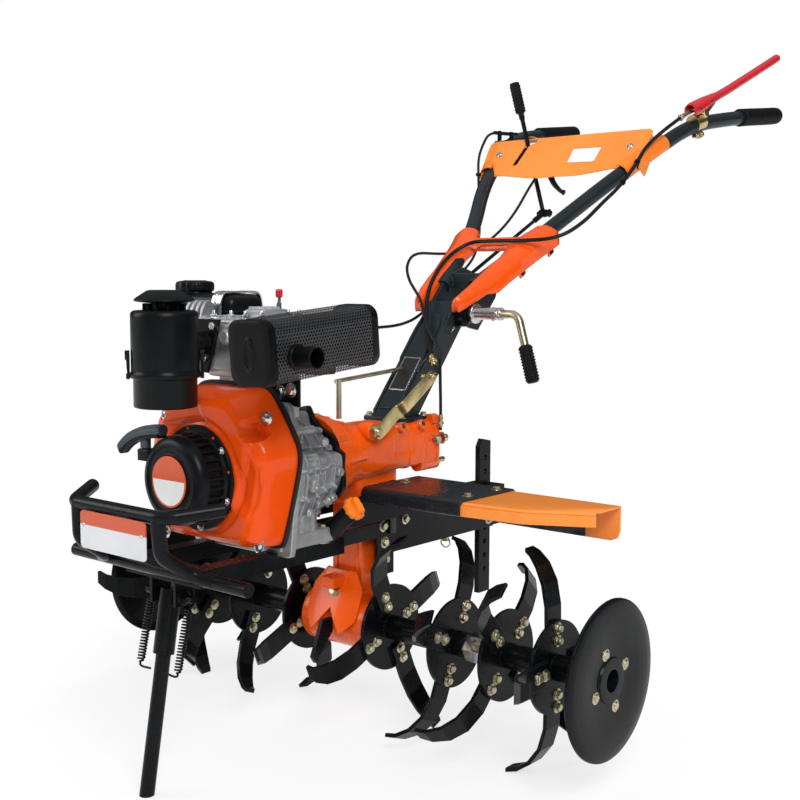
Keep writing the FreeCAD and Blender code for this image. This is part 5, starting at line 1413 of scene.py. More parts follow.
def make_stand():
    """The stand's return springs as open coils with hooked ends, and its pin's nuts."""
    low, high = extent("stand_springs")
    down = unit(np.array([0, low[1] + 3 - (high[1] - 3), low[2] - high[2]]))
    edge, other = square_axes(down)
    turns, t = 22, np.linspace(0, 1, 420)
    radius = 5.4 * np.minimum(1, np.minimum(t, 1 - t) * 18 + 0.2)
    angle = 2 * np.pi * turns * t
    way = np.cos(angle)[:, None] * edge + np.sin(angle)[:, None] * other
    shells = []
    for side in (-1, 1):
        top = np.array([side * 46.0, high[1] - 7, high[2] - 3])
        line = at(top + down * (t[:, None] * 104 + 4) + radius[:, None] * way)
        shells.append(carried(line, circle(1.5, 8), down))
        hook = smooth_line(at([top + down * 106, top + down * 112, top + down * 114 - (side * 8, 0, 0),
                               top + down * 113 - (side * 26, 0, 0)]), 16)
        shells.append(carried(hook, circle(1.8, 10), (0, 1, 0.2)))
    thing = piece("stand_coils", shells, "black_paint", "stand", slot="zinc", crease=60)
    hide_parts("stand_springs")
    nuts = []
    for sign in (-1, 1):
        nuts += hex_bolt(at(sign * 32, -424, 314), (sign, 0, 0), 15, 9)
    piece("stand_nuts", nuts, "black_paint", "stand", slot="zinc")


FLANGES = ((99, 0), (248, 2), (355, 1), (454, 3))


def make_tine_bolts():
    """Two bolts through the root of every tine, with their heads on the tine and nuts behind.

    A flange's four tines stand a quarter turn apart, each flange 22.5 degrees on from another.
    """
    lag = math.degrees(math.atan(38 / 185))
    for side, name in SIDES:
        shells = []
        for place, order in FLANGES:
            for number in range(4):
                turn = math.radians(180 + 22.5 * (order + 0.5) + 90 * number + lag)
                way = side * (1, -1)[number % 2]
                for radius in (45, 66):
                    y, z = -radius * math.sin(turn), AXLE + radius * math.cos(turn)
                    shells += hex_bolt(at(side * place + way * 9.4, y, z), (way, 0, 0), 12, 6.5)
                    shells += hex_bolt(at(side * place - way * 3, y, z), (-way, 0, 0), 12, 8)
        piece("tine_bolts_" + name, shells, "zinc", "rotor")


def make_couplings():
    """The hexagonal couplings with chamfered ends, a locking bolt each and its nut."""
    for _, name in SIDES:
        low, high = extent("drum_coupling_" + name)
        profile = [(16.4, 1), (22.6, 0), (25.5, 2.6), (25.9, 4), (25.9, 50), (25.5, 51.4), (22.6, 54),
                   (16.4, 53), (16.4, 1)]
        points, faces = turned(profile, at(low[0], 0, AXLE), X, 72, 6)
        thing = piece("coupling_" + name, [(points, faces[:-2])], "coupling_steel", "rotor")
        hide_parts("drum_coupling_" + name)
        middle = (low[0] + high[0]) / 2
        climb = math.radians(30)
        way = np.array([0, -math.cos(climb), math.sin(climb)])
        centre = np.array([middle, 0, AXLE])
        bolt = hex_bolt(at(centre + 22.4 * way), way, 10, 6)
        nut = hex_bolt(at(centre - 22.4 * way), -way, 10, 7)
        piece("coupling_bolt_" + name, bolt + nut, "zinc", "rotor")


def make_discs():
    """The end discs: a dished face with a rolled rim and a hub, turned about the axle."""
    for side, name in SIDES:
        low, high = extent("end_disc_" + name)
        inner = high[0] - 18 if side > 0 else low[0] + 18
        profile = [(18.5, 0), (32, 0), (34, 3), (34, 9), (60, 9.5), (84, 12.6), (112, 12.4), (126, 10.8),
                   (129.4, 9.2), (130.9, 10.6), (130.6, 14), (128, 15.4), (112, 16.6), (84, 17.4), (60, 14.2),
                   (38, 13.6), (36, 17), (24, 17.6), (18.5, 17.4), (18.5, 0)]
        points, faces = turned(profile, at(inner, 0, AXLE), (side, 0, 0), 96)
        thing = piece("end_dish_" + name, [(points, faces[:-2])], "tine_steel", "rotor")
        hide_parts("end_disc_" + name)
        bolts = []
        for turn in np.radians([20, 110, 200, 290]):
            bolts += hex_bolt(at(inner + side * 13.4, 48 * math.cos(turn), AXLE + 48 * math.sin(turn)),
                              (side, 0, 0), 12, 4)
        piece("disc_bolts_" + name, bolts, "zinc", "rotor")


def fender_section(top):
    """An inner fender's closed outline of (back, up): a sheet with a rolled front and a folded back."""
    roll = np.radians(np.linspace(0, 90, 9))
    nose = np.stack([-36 - 12 * np.sin(roll), top - 12 + 12 * np.cos(roll)], -1)
    inner_nose = np.stack([-36 - 9 * np.sin(roll), top - 12 + 9 * np.cos(roll)], -1)[::-1]
    return np.concatenate([[(118, top - 60), (118, top - 5), (113, top)], nose,
                           [(-48, top - 24), (-45, top - 27)], [(-45, top - 20)], inner_nose,
                           [(111, top - 3), (115, top - 7), (115, top - 60)]])


def make_fender(sign, name):
    """An inner fender with two raised beads across it, its bracket and its bolts."""
    top = float(extent("inner_fender_left")[1][2])
    ring = fender_section(top)
    ends = ((70, -1.0), (71, 0), (120, 0), (200, 0), (288, 0), (290, -1.0))
    shells = [capped(at(np.array([np.column_stack([np.full(len(ring), sign * x), ring[:, 0],
                                                   ring[:, 1] + lift]) for x, lift in ends])))]
    for x in (86, 274):
        line = smooth_line(at([(sign * x, -20, top - 0.6), (sign * x, 34, top + 0.2),
                               (sign * x, 88, top - 0.6)]), 16)
        shells.append(carried(line, circle(3.0, 12, 0.6), Z))
    shells.append(block((sign * 54, 20, top - 6), (sign * 110, 62, top - 3)))
    shells.append(block((sign * 54, 46, top - 102), (sign * 60, 62, top - 3)))
    thing = piece("fender_" + name, shells, "fender_paint", crease=35)
    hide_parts("inner_fender_" + name)
    bolts = []
    for x, y in ((100, 40), (272, 0), (272, 84)):
        bolts += hex_bolt(at(sign * x, y, top), Z, 12, 6)
    piece("fender_bolts_" + name, bolts, "zinc")


def fender_lip(sign, level, front):
    """The folded lip along an outer fender's bent front edge."""
    edge = np.zeros((30, 3))
    edge[:, 0] = np.interp(np.linspace(0, 1, 30), [0, 0.5, 1], front[:, 0])
    edge[:, 1] = np.interp(edge[:, 0], front[:, 0], front[:, 1])
    edge[:, 2] = level - 12
    edge[:, 0] *= sign
    section = np.array([(-1.3, -11), (1.3, -11), (1.3, 9), (3.4, 11.6), (6, 12.2), (6, 9.6), (1.6, 7),
                        (-1.3, 7)])
    return capped(at(np.array([np.column_stack([np.full(len(section), x), y + section[:, 0],
                                                z + section[:, 1]]) for x, y, z in edge])))


def make_fender_deck(sign, name):
    """An outer fender: its lip, its five-cornered deck, its end plate and the skirt behind."""
    level = float(extent("outer_fender_left")[1][2])
    front = np.array([(266, -44), (400, -30), (508, 26)], float)
    deck = np.array([(266, -40), (400, -26), (506, 30), (506, 110), (266, 110)], float)
    middle = deck.mean(0)
    rings = []
    for z, inset in ((level - 3, 0), (level - 0.6, 0), (level, 0.012)):
        drawn = middle + (deck - middle) * (1 - inset)
        rings.append(np.column_stack([sign * drawn[:, 0], drawn[:, 1], np.full(5, z)]))
    end = [(440, -60), (489, -60), (501, -55), (506, -43), (506, -2), (440, -2)]
    shells = [fender_lip(sign, level, front), capped(at(np.array(rings))),
              slab([(sign * x, z) for x, z in end][::sign], 3.6, at(0, 110.6, level), X, Z, 0.8)]
    thing = piece("fender_deck_" + name, shells, "panel_orange", crease=35)
    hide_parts("outer_fender_" + name)
    skirt = [block((sign * 266, 107, level - 60), (sign * 440, 110.6, level - 2))]
    piece("fender_skirt_" + name, skirt, "fender_paint", crease=35)


def make_fenders():
    """The fenders of both sides, inner ones first on each."""
    for sign, name in SIDES:
        make_fender(sign, name)
        make_fender_deck(sign, name)


def make_clutch_arm():
    """The clutch arm: a stepped strip with rounded ends on its shaft, and the cable's swivel pin."""
    count, blunt = 70, 6
    line = smooth_line(at([(74, -16, 533), (74, 8, 546), (74, 40, 568), (76, 50, 575), (83, 58, 582),
                           (84, 70, 590), (84, 110, 616), (84, 146, 640)]), count)
    share = np.linspace(0, 1, count)
    ends = np.minimum(share, 1 - share) * count
    swell = np.clip(np.sqrt(np.clip(1 - (1 - ends / blunt) ** 2, 0, None)), 0.05, 1)
    swell[ends > blunt] = 1
    base = rounded(26, 4, 1.2)[None] / 1000
    way = unit(np.gradient(line, axis=0))
    side = unit(np.cross(way, X))
    out = np.cross(side, way)
    rows = line[:, None] + base[..., :1] * side[:, None] * swell[:, None, None] + base[..., 1:] * out[:, None]
    shells = [capped(rows), lathe([(12, 0), (12, 12), (10.5, 14)], at(60, -6, 540), X, 28),
              lathe([(8, 0), (8, 21), (6.5, 22.5)], at(57, -6, 540), X, 24),
              lathe([(4.4, 0), (4.4, 30), (3.6, 31)], at(62, 136, 632), X, 20),
              lathe([(7, 0), (8, 2), (8, 12), (7, 14)], at(84, 136, 624), (0, 0.1, 1), 24)]
    shells += hex_bolt(at(88, 136, 632), X, 9, 4)
    thing = piece("clutch_arm_strip", shells, "yellow_zinc")
    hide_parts("clutch_arm")


def make_hitch():
    """The hitch bracket's drawbar pin with its ring, its bolts, and the welds along it."""
    low, high = extent("hitch_bracket")
    tall = high[2] - low[2]
    shells = [lathe([(7.9, 0), (7.9, tall + 26), (6.6, tall + 28)], at(0, 290, low[2] - 20), Z, 28),
              lathe([(11, 0), (11, 5)], at(0, 290, high[2]), Z, 28)]
    ring = smooth_line(at([(0, 290, low[2] - 14), (9, 290, low[2] - 17), (11, 290, low[2] - 27),
                           (0, 290, low[2] - 34), (-11, 290, low[2] - 27), (-9, 290, low[2] - 17),
                           (0, 290, low[2] - 14)]), 40)
    shells.append(carried(ring, circle(1.4, 8), (0, 1, 0.1)))
    for sign in (-1, 1):
        for y in (110, 350):
            shells += hex_bolt(at(sign * 42, y, high[2] - 24), (sign, 0, 0), 12, 7)
        shells += hex_bolt(at(sign * 42, 382, low[2] + 18), (sign, 0, 0), 14, 8)
    piece("hitch_fittings", shells, "zinc")
    weld = []
    for sign in (-1, 1):
        upright = [(sign * 42, 66, low[2] + 4), (sign * 43, 66, low[2] + 36), (sign * 42, 66, high[2] - 2)]
        weld.append(carried(smooth_line(at(upright), 20), circle(2.6, 10), Y))
        level = [(sign * 36, 120, high[2]), (sign * 36, 250, high[2] + 0.4), (sign * 36, 390, high[2])]
        weld.append(carried(smooth_line(at(level), 20), circle(1.8, 8), Z))
    piece("hitch_welds", weld, "black_paint", crease=50)


# ------------------------------------------------------------ column and handlebar

TUBE = [(39, 30, 52), (94, 203, 163), (178, 363, 292), (240, 564, 410), (272, 708, 436), (281, 889, 459)]


def tube_line(side, count=160):
    """The middle of one handlebar tube, in metres, as a smooth line through its corners."""
    return smooth_line([at_hinge(side * x, back, up) for x, back, up in TUBE], count)


def tube_part(side, low, high, count=40):
    """The stretch of a tube's middle line between two distances behind the hinge, in millimetres."""
    line = tube_line(side, 400)
    back = (line[:, 1] - HINGE[1]) * 1000
    kept = line[(back >= low) & (back <= high)]
    return kept[np.linspace(0, len(kept) - 1, min(count, len(kept))).astype(int)]


def studs(rows, columns, pitch, height):
    """A ripple of short raised studs: rows of the pitch along the axis, columns around it."""

    def ripple(angle, along):
        """1, and more on a stud by its height's share of the radius."""
        ring = step(np.cos(2 * np.pi * along / pitch), -0.2, 0.5)
        column = step(np.cos(columns * angle), -0.5, 0.2)
        return 1 + height * ring * column * (along > 4) * (along < rows * pitch)

    return ripple


def column_slope():
    """The column's foot and its direction up, with the panel's length, in millimetres."""
    low, high = extent("handle_column")
    foot, head = np.array([0, 93, low[2]]), np.array([0, 276, high[2]])
    return foot, unit(head - foot), float(np.linalg.norm(head - foot))


def make_column():
    """The column's pressed front panel with its rounded arch, two bent ribs, its foot and its bosses."""
    low, high = extent("handle_column")
    foot, climb, length = column_slope()
    turn = np.linspace(0, np.pi, 22)
    arch = np.column_stack([24 * np.cos(turn), length - 72 + 40 * np.sin(turn)])
    shells = [slab(np.concatenate([[(-24, 26), (24, 26)], arch]), 3.4, at(foot), X, climb, 3.0)]
    bends = [(length - 34, 27, -1), (length - 74, 31.5, -1.5), (length - 120, 32, -1), (150, 32, -1),
             (138, 28, -2), (118, 27, -2), (108, 32, -1), (20, 32.5, -1)]
    rib = smooth_line(at([foot + climb * up + (x, out, 0) for up, x, out in bends]), 80)
    shells += [carried(rib, circle(3.0, 12), X), carried(rib * (-1, 1, 1), circle(3.0, 12), X)]
    shells.append(block((-46, 88, low[2] - 1), (46, 176, low[2] + 7), 3))
    for sign in (-1, 1):
        shells.append(lathe([(18, 0), (17, 5), (15, 7)], at(sign * 34, 296, high[2] - 24), (sign, 0, 0), 32))
    piece("column_panel", shells, "slate_paint")


def make_data_plate():
    """The blank data plate on the column, in its bright frame."""
    foot, climb, _ = column_slope()
    place = at(foot + climb * 108)
    piece("data_frame", [slab(rounded(42, 78, 2), 4.4, place, X, climb, 0.4)], "bright_steel")
    piece("data_plate", [slab(rounded(37, 73, 1.5), 4.9, place, X, climb, 0.3)], "gasket", slot="black_paint")


def make_column_bolts():
    """The bolts of the column's foot, the data plate's rivets, and the cable's wire clip."""
    foot, climb, _ = column_slope()
    out = np.array([0, -0.776, 0.631])
    bolts = []
    for x in (-40, 40):
        for y in (100, 166):
            bolts += hex_bolt(at(x, y, foot[2] + 7), Z, 11, 7)
    for x, up in ((18, 70), (-18, 70), (18, 146), (-18, 146)):
        bolts.append(turned([(0, 0), (1.8, 0), (1.4, 1), (0, 1.3)],
                            at(foot + climb * up + (x, 0, 0)) + out * 0.0048, out, 12))
    hooks = [(34, 262, 716), (40, 260, 722), (44, 256, 720), (42, 252, 714), (35, 254, 710)]
    bolts.append(carried(smooth_line(at(hooks), 24), circle(1.4, 8), (1, 0, 0.2)))
    bolts += hex_bolt(at(24, 112, foot[2] + 26), out, 10, 5)
    piece("column_bolts", bolts, "zinc")


COVER = sloped_frame(at_hinge(0, 30, 52), 32.7)


def on_cover(points, sign=1):
    """Points at (across, up the slope, out) in millimetres on the covers' slope, in metres."""
    origin, across, up, out = COVER
    points = np.asarray(points, float)
    return origin + (sign * points[..., :1] * across + points[..., 1:2] * up + points[..., 2:] * out) / 1000


def cover_strip(inner, outer, along, lift, depth, sign, crease, fall, ends, rise):
    """A moulded strip between two edges: crowned across, creased along, and closed over both ends.

    Across it u runs from 0 to 1. Its height is lift - 8|2u - 1|^4, less rise(crease - u) before the
    crease and fall(u - crease) past it; near an end it comes down by the rule of a quarter circle.
    """
    wall = 2.6
    u = np.concatenate([np.linspace(0, 0.12, 8), np.linspace(0.16, 0.84, 18), np.linspace(0.88, 1, 8)])
    before, past = np.clip(crease - u, 0, 1) / crease, np.clip(u - crease, 0, 1) / (1 - crease)
    crown = -8 * np.abs(2 * u - 1) ** 4 - fall * past - rise * before
    near = np.clip((along - along[0]) / ends[0], 0, 1)
    far = np.clip((along[-1] - along) / ends[1], 0, 1)
    reach = np.sqrt(1 - (1 - near) ** 2) * np.sqrt(1 - (1 - far) ** 2)
    floor = lift - depth
    rows = []
    for place, low, high, share in zip(along, inner, outer, reach):
        skirt = floor - 14.5 * float(step(place, -24, 14)) * (1 - 0.6 * float(step(place, 196, 214)))
        level = np.full(len(u), place)
        height = floor + 3 + (lift + crown - floor - 3) * share
        top = np.column_stack([low + (high - low) * u, level, height])
        under = np.column_stack([low + wall + (high - low - 2 * wall) * u[::-1], level,
                                 np.maximum(height[::-1] - wall, floor + 0.4)])
        rows.append(np.concatenate([[(low, place, floor)], top,
                                    [(high, place, skirt), (high - wall, place, skirt)], under,
                                    [(low + wall, place, floor)]]))
    return capped(on_cover(np.array(rows), sign))


def cover_bridge():
    """The covers' bridge between the arms: crowned across, with edges that bow a little."""
    v = np.linspace(0, 1, 26)
    rows = []
    for x in np.linspace(-60, 60, 40):
        share = np.abs(x) / 60
        low, high = 133 + 2 * share, 173 - 1.0 * (1 - share)
        y = low + (high - low) * v
        z = 17.5 - 7 * np.abs(2 * v - 1) ** 4 - 3.5 * np.clip(0.5 - v, 0, 1)
        top = np.column_stack([np.full(26, x), y, z])
        under = np.column_stack([np.full(26, x), y[::-1], 8.0 + (z[::-1] - 17.5) * 0.5])
        rows.append(np.concatenate([[(x, low, 2)], top, [(x, high, 2), (x, high - 2.4, 2)], under[1:-1],
                                    [(x, low + 2.4, 2)]]))
    return capped(on_cover(np.array(rows)))


COVER_TABS = ((95.5, 78), (118, 160))


def make_covers():
    """The moulded cover: two creased arms over the tubes, a bridge and its fixing tabs."""
    arm = np.array([(-84, 38, 55), (-70, 40, 62), (-30, 43, 79), (10, 44, 88), (47, 46, 93), (86, 53, 102),
                    (134, 46, 114), (172, 56, 125), (190, 66, 131), (214, 78, 122)], float)
    along = np.linspace(-84, 214, 80)
    inner, outer = (np.interp(along, arm[:, 0], arm[:, edge]) for edge in (1, 2))
    shells = [cover_strip(inner, outer, along, 21.5, 26.5, sign, 0.55, 10.0, (14, 12), 2.0)
              for sign in (-1, 1)]
    shells.append(cover_bridge())
    _, across, up, _ = COVER
    for sign in (-1, 1):
        for x, y in COVER_TABS:
            foot = on_cover((x + 2, y + 10, -29), sign)
            shells.append(slab(rounded(4, 22, 1.4), 16, foot, across, up, 0.8))
    thing = piece("cover_moulding", shells, "cover_orange", "handlebar", crease=30)
    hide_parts("tube_covers")


def make_cover_screws():
    """The domed screws in the covers' tabs."""
    bolts = []
    for sign in (-1, 1):
        for x, y in COVER_TABS:
            bolts += dome_bolt(on_cover((x + 4, y + 10, -23), sign), (sign, 0, 0), 4, 3)
    piece("cover_screws", bolts, "black_plastic", "handlebar")


def make_fork():
    """The fork's bolts, and the spacer, collar and pin of its crank."""
    shells = []
    for sign in (-1, 1):
        for back, up in ((84, 44), (60, 62)):
            shells += hex_bolt(at_hinge(sign * 41, back, up), (sign, 0, 0), 12, 7)
    shells += hex_bolt(at_hinge(-46, 0, 0), (-1, 0, 0), 22, 9)
    piece("fork_bolts", shells, "black_plastic", "handlebar")
    spacer = [lathe([(24, 0), (24, 5), (19, 8), (19, 22), (16, 25)], at_hinge(41, 0, 0), X, 36),
              lathe([(13, 0), (12, 16)], at_hinge(38, -16, -14), X, 24)]
    piece("crank_spacer", spacer, "black_plastic", "handlebar")
    crank = [lathe([(19, 0), (20, 1), (20, 4), (19, 5), (13.2, 5.4), (12.4, 8), (12.2, 52), (11, 55)],
                   at_hinge(66, 0, 0), X, 36),
             lathe([(3, 0), (3, 26), (2.4, 27)], at_hinge(111, -2, -13.5), (0, 0.1, 1), 16),
             lathe([(11.4, 0), (12.6, 1.5), (12.6, 8), (11.4, 9.5)], at_hinge(122, 0, 0), X, 32)]
    piece("crank_collar", crank, "bright_steel", "handlebar")


def studded_grip(top, way, profile, pattern):
    """A grip turned along its way, with raised studs in rows and columns."""
    return turned(profile, top, way, 96, 0, studs(*pattern))


def make_crank_grip():
    """The studded grip at the end of the fork's crank."""
    way = unit(np.array([37.0, -4, -118]))
    foot = at_hinge(205, -4, -118) - way * 0.062
    straight = [(12.6, height) for height in range(5, 70)]
    profile = [(0, 0), (9, 0), (12.2, 2), (12.6, 4), *straight, (12.4, 71), (9.5, 74), (0, 74)]
    grip = studded_grip(foot, way, profile, (11, 8, 6.2, 0.14))
    thing = piece("crank_sleeve", [grip], "rubber", "handlebar", crease=50)
    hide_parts("crank_grip")


def make_grips():
    """The hand grips: a collar, ribbed rubber and a domed end on each tube."""
    shells = []
    for side in (-1, 1):
        ends = [at_hinge(side * x, back, up) for x, back, up in TUBE[-2:]]
        way = unit(ends[1] - ends[0])
        past = np.linspace(ends[1], ends[1] + way * 0.032, 40)[1:]
        run = np.concatenate([tube_line(side, 600), past])[::-1]
        left = distances(run) * 1000
        place = np.concatenate([[190, 189.5], np.arange(189, 13, -1.0), [11, 7, 4, 1.5, 0.2, 0]])
        line = np.column_stack([np.interp(place, left, run[:, axis]) for axis in range(3)])
        radii = np.interp(place, [0, 0.2, 1.5, 4, 7, 11, 14, 184, 185.5, 189, 189.5, 190],
                          [9, 13, 17.2, 18.8, 19.4, 19.4, 18.6, 18.6, 20.2, 20.2, 19, 16.6])
        ribs = 1.25 * step(np.cos(2 * np.pi * place / 7.0), -0.35, 0.25)
        radii = radii + np.where((place > 15) & (place < 182), ribs, 0)
        shells.append(carried(line, circle(1.0, 56), Z, radii))
    thing = piece("hand_grip_rubber", shells, "rubber", "handlebar", crease=50)
    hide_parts("hand_grips")


PANEL = sloped_frame(at_hinge(0, 389, 307), 57.4)


def on_panel(x, y, rise=3.0):
    """A point at (across, up the slope, out) in millimetres on the control panel, in metres."""
    origin, across, up, out = PANEL
    return origin + (x * across + y * up + rise * out) / 1000


def make_panel_screws():
    """The two domed screws near the panel's sides."""
    screws = []
    for x, y in ((-176, 60), (171, 55)):
        screws += dome_bolt(on_panel(x, y), PANEL[3], 5.2, 3.6)
    piece("panel_screws", screws, "bright_steel", "handlebar")


def rolled_rim(outline):
    """A thin rim round an opening in the panel, its corners cut at 5 mm or at two fifths of a side."""
    corners = np.array(outline, float)
    line = []
    for before, corner, after in zip(np.roll(corners, 1, 0), corners, np.roll(corners, -1, 0)):
        back, ahead = np.linalg.norm(before - corner), np.linalg.norm(after - corner)
        line += [corner + (before - corner) * min(5 / back, 0.4),
                 corner + (before - corner) / back + (after - corner) / ahead,
                 corner + (after - corner) * min(5 / ahead, 0.4)]
    rim = np.array([on_panel(x, y) for x, y in line + line[:1]])
    return carried(rim, circle(0.9, 8), PANEL[3])


def panel_edge(points, rise, count, radius, sides):
    """A rounded edge along points on the panel."""
    line = smooth_line(np.array([on_panel(x, y, rise) for x, y in points]), count)
    return carried(line, circle(radius, sides), PANEL[3])


def make_panel_rims():
    """The rolled rims of the panel's window and gate slot, and of its four edges."""
    window = [(20, 22), (92, 20), (100, 61), (24, 62)]
    slot = [(-128, 24), (-114, 24), (-98, 80), (-80, 86), (-80, 97), (-98, 105), (-119.7, 105), (-111.3, 80)]
    rims = [rolled_rim(window), rolled_rim(slot)]
    for sign in (-1, 1):
        sides = [(sign * x, y) for x, y in ((196, -3), (203, 24), (211, 84), (207, 96))]
        rims.append(panel_edge(sides, 1.6, 24, 2.4, 12))
    low = [(-206, -3.5), (-150, -0.5), (-105, -6), (-60, -12), (0, -12), (60, -12), (105, -6), (150, -0.5),
           (206, -3.5)]
    rims.append(panel_edge(low, 1.5, 80, 1.9, 10))
    rims.append(panel_edge([(x, 98) for x in (-204, -100, 0, 100, 204)], 1.5, 40, 1.9, 10))
    piece("panel_rims", rims, "panel_orange", "handlebar", crease=50)


def make_panel_wraps():
    """A black plate under the gate slot that is painted shade in the opening, and the panel's wraps round
    both tubes in the caps' deeper orange as painted shade on the panel's amber.
    """
    _, across, up, _ = PANEL
    # Black plate behind the gate slot: painted shade seen through the opening.
    gate = [slab([(-144, 8), (-104, 8), (-86, 76), (-126, 82)], 2, on_panel(0, 0, -4), across, up, 0.5)]
    piece("gate_slot_painted_shade", gate, "black_plastic", "handlebar", slot="panel_orange", crease=50)
    ring = open_ring((19.4, 19.4), 2.2, -120, 120, 40)
    wraps = [carried(tube_part(-1, 392, 470), (ring * (-1, 1))[::-1], Z),
             carried(tube_part(1, 366, 477), ring, Z)]
    # The wraps are the panel's own amber sheet, coloured in the caps' deeper orange: painted shade on their
    # curve round the tubes.
    piece("panel_wraps", wraps, "cap_orange", "handlebar", slot="panel_orange", crease=50)


def make_shift_lever():
    """The shift lever: a studded grip, its rod to the joint, the joint's bolt, and the rod below it."""
    top, joint, rod_end = at_hinge(-148, 436, 521), at_hinge(-62, 435, 220), at_hinge(-56, 12, 10)
    way, rod_way = unit(joint - top), unit(rod_end - joint)
    straight = [(11.2, height) for height in range(2, 68)]
    profile = [(0, -2), (8, -2), (11, -1), (11.2, 1), *straight, (10, 70), (7, 72), (0, 72)]
    grip = studded_grip(top, way, profile, (9, 6, 7.6, 0.17))
    piece("shift_grip", [grip], "rubber", "handlebar", crease=50)
    length, rod_length = (float(np.linalg.norm(end - joint)) * 1000 for end in (top, rod_end))
    shells = [lathe([(6.6, 70), (6.6, 84), (5, 88), (5, length)], top, way, 24),
              lathe([(4, 0), (4, rod_length - 2), (3.4, rod_length)], joint, rod_way, 20),
              lathe([(7, -11), (9, -8), (9.4, 0), (9, 8), (7, 11)], joint, X, 28),
              lathe([(4.2, -16), (4.2, 16)], joint, X, 20)]
    shells += hex_bolt(joint + (0.016, 0, 0), X, 11, 6)
    shells.append(lathe([(4, 0), (4, 27), (6, 27.5), (6, 30)], top + way * 0.160, X, 20))
    fork_line = smooth_line([joint + rod_way * share for share in (0.010, 0.022, 0.040)], 10)
    shells.append(carried(fork_line, circle(6.4, 16), Z))
    thing = piece("shift_stick", shells, "black_paint", "handlebar")
    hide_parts("shift_lever")


def make_reverse_lever():
    """The reverse lever: a hook that thins along its length and swells to a blunt tip."""
    line = smooth_line([at_hinge(-46, 418, 341), at_hinge(-34, 412, 316), at_hinge(-18, 405, 288),
                        at_hinge(0, 402, 270), at_hinge(9, 401, 264), at_hinge(15, 400, 262)], 60)
    share = np.linspace(0, 1, 60)
    swell = 1.25 - 0.55 * step(share, 0.1, 0.75) + 0.28 * hump(share, 0.97, 0.03, 0.12)
    hook = carried(line, circle(6.4, 20), Y, swell * round_end(share, 0.96, 0.045))
    thing = piece("reverse_hook", [hook], "black_plastic", "handlebar", crease=50)
    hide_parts("reverse_lever")


CLUTCH_CORNERS = [at_hinge(258, 520, 432), at_hinge(272, 700, 506), at_hinge(283, 918, 600)]
CLUTCH_WAY = unit(CLUTCH_CORNERS[1] - CLUTCH_CORNERS[0])


def make_clutch_lever():
    """The clutch lever: a bent bar with a blunt end, and a hood over its root, open below."""
    foot, bend, end = CLUTCH_CORNERS
    line = smooth_line([foot * 0.8 + bend * 0.2, foot * 0.5 + bend * 0.5, foot * 0.12 + bend * 0.88,
                        bend * 0.6 + end * 0.4, bend * 0.3 + end * 0.7, end], 60)
    bar = carried(line, circle(9.3, 28), Z, round_end(np.linspace(0, 1, 60), 0.985, 0.0155))
    hood_line = np.array([foot + CLUTCH_WAY * share for share in np.linspace(0.0, 0.112, 30)])
    swell = np.interp(np.linspace(0, 1, 30), [0, 0.08, 0.5, 1], [0.94, 1.04, 0.92, 0.62])
    hood = carried(hood_line, open_ring((15.4, 17), 2.2, -38, 218, 34), Z, swell)
    thing = piece("clutch_handle", [bar, hood], "lever_red", "handlebar", crease=45)
    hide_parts("clutch_lever")


def clutch_pins(side):
    """The clutch lever's pivot pin across its hood, with three rounded heads."""
    foot = CLUTCH_CORNERS[0]
    pivot = foot + CLUTCH_WAY * 0.018
    head, small = [(0, 0), (5.4, 0), (4.6, 2.4), (0, 3)], [(0, 0), (5, 0), (4.2, 2.0), (0, 2.6)]
    return [lathe([(3.4, 0), (3.4, 28)], pivot - side * 0.014, side, 16),
            turned(head, pivot + side * 0.013, side, 20), turned(head, pivot - side * 0.013, -side, 20),
            turned(small, foot + CLUTCH_WAY * 0.072 + side * 0.011, side, 20)]


def make_clutch_clamp():
    """The clutch lever's clamp round the tube, with its block, bolts, bridge and return spring."""
    foot, way = CLUTCH_CORNERS[0], CLUTCH_WAY
    side = unit(np.cross(way, Z))
    over = np.cross(side, way)
    pivot = foot + way * 0.018
    clamp_line = tube_part(1, 566, 700, 60)[:12]
    middle = clamp_line[5]
    fittings = [*clutch_pins(side), carried(clamp_line, circle(19.4, 40), Z),
                slab(rounded(22, 12, 2), 34, middle + (0, 0, -0.034), Y, (-1, 0, 0), 2)]
    clamp_way = unit(clamp_line[-1] - clamp_line[0])
    for back in (-6, 7):
        fittings += hex_bolt(middle + clamp_way * back / 1000 + (0.007, 0, -0.028), X, 9, 5)
    bridge = smooth_line([middle + (0, 0, 0.017), middle + (0.002, -0.004, 0.030),
                          pivot + over * -0.006 + way * 0.004, pivot + over * -0.002], 24)
    fittings.append(carried(bridge, rounded(16, 4, 1.4), Z))
    spring_foot = foot + way * 0.060 - over * 0.020
    fittings.append(lathe([(9, 0), (11, 2), (11, 7), (9, 9)], spring_foot - side * 0.005, side, 32))
    leg = smooth_line([spring_foot, spring_foot + way * 0.02 + over * 0.004,
                       spring_foot + way * 0.045 + over * 0.012], 16)
    fittings.append(carried(leg, rounded(9, 3, 1), side))
    piece("clutch_clamp", fittings, "yellow_zinc", "handlebar", crease=45)


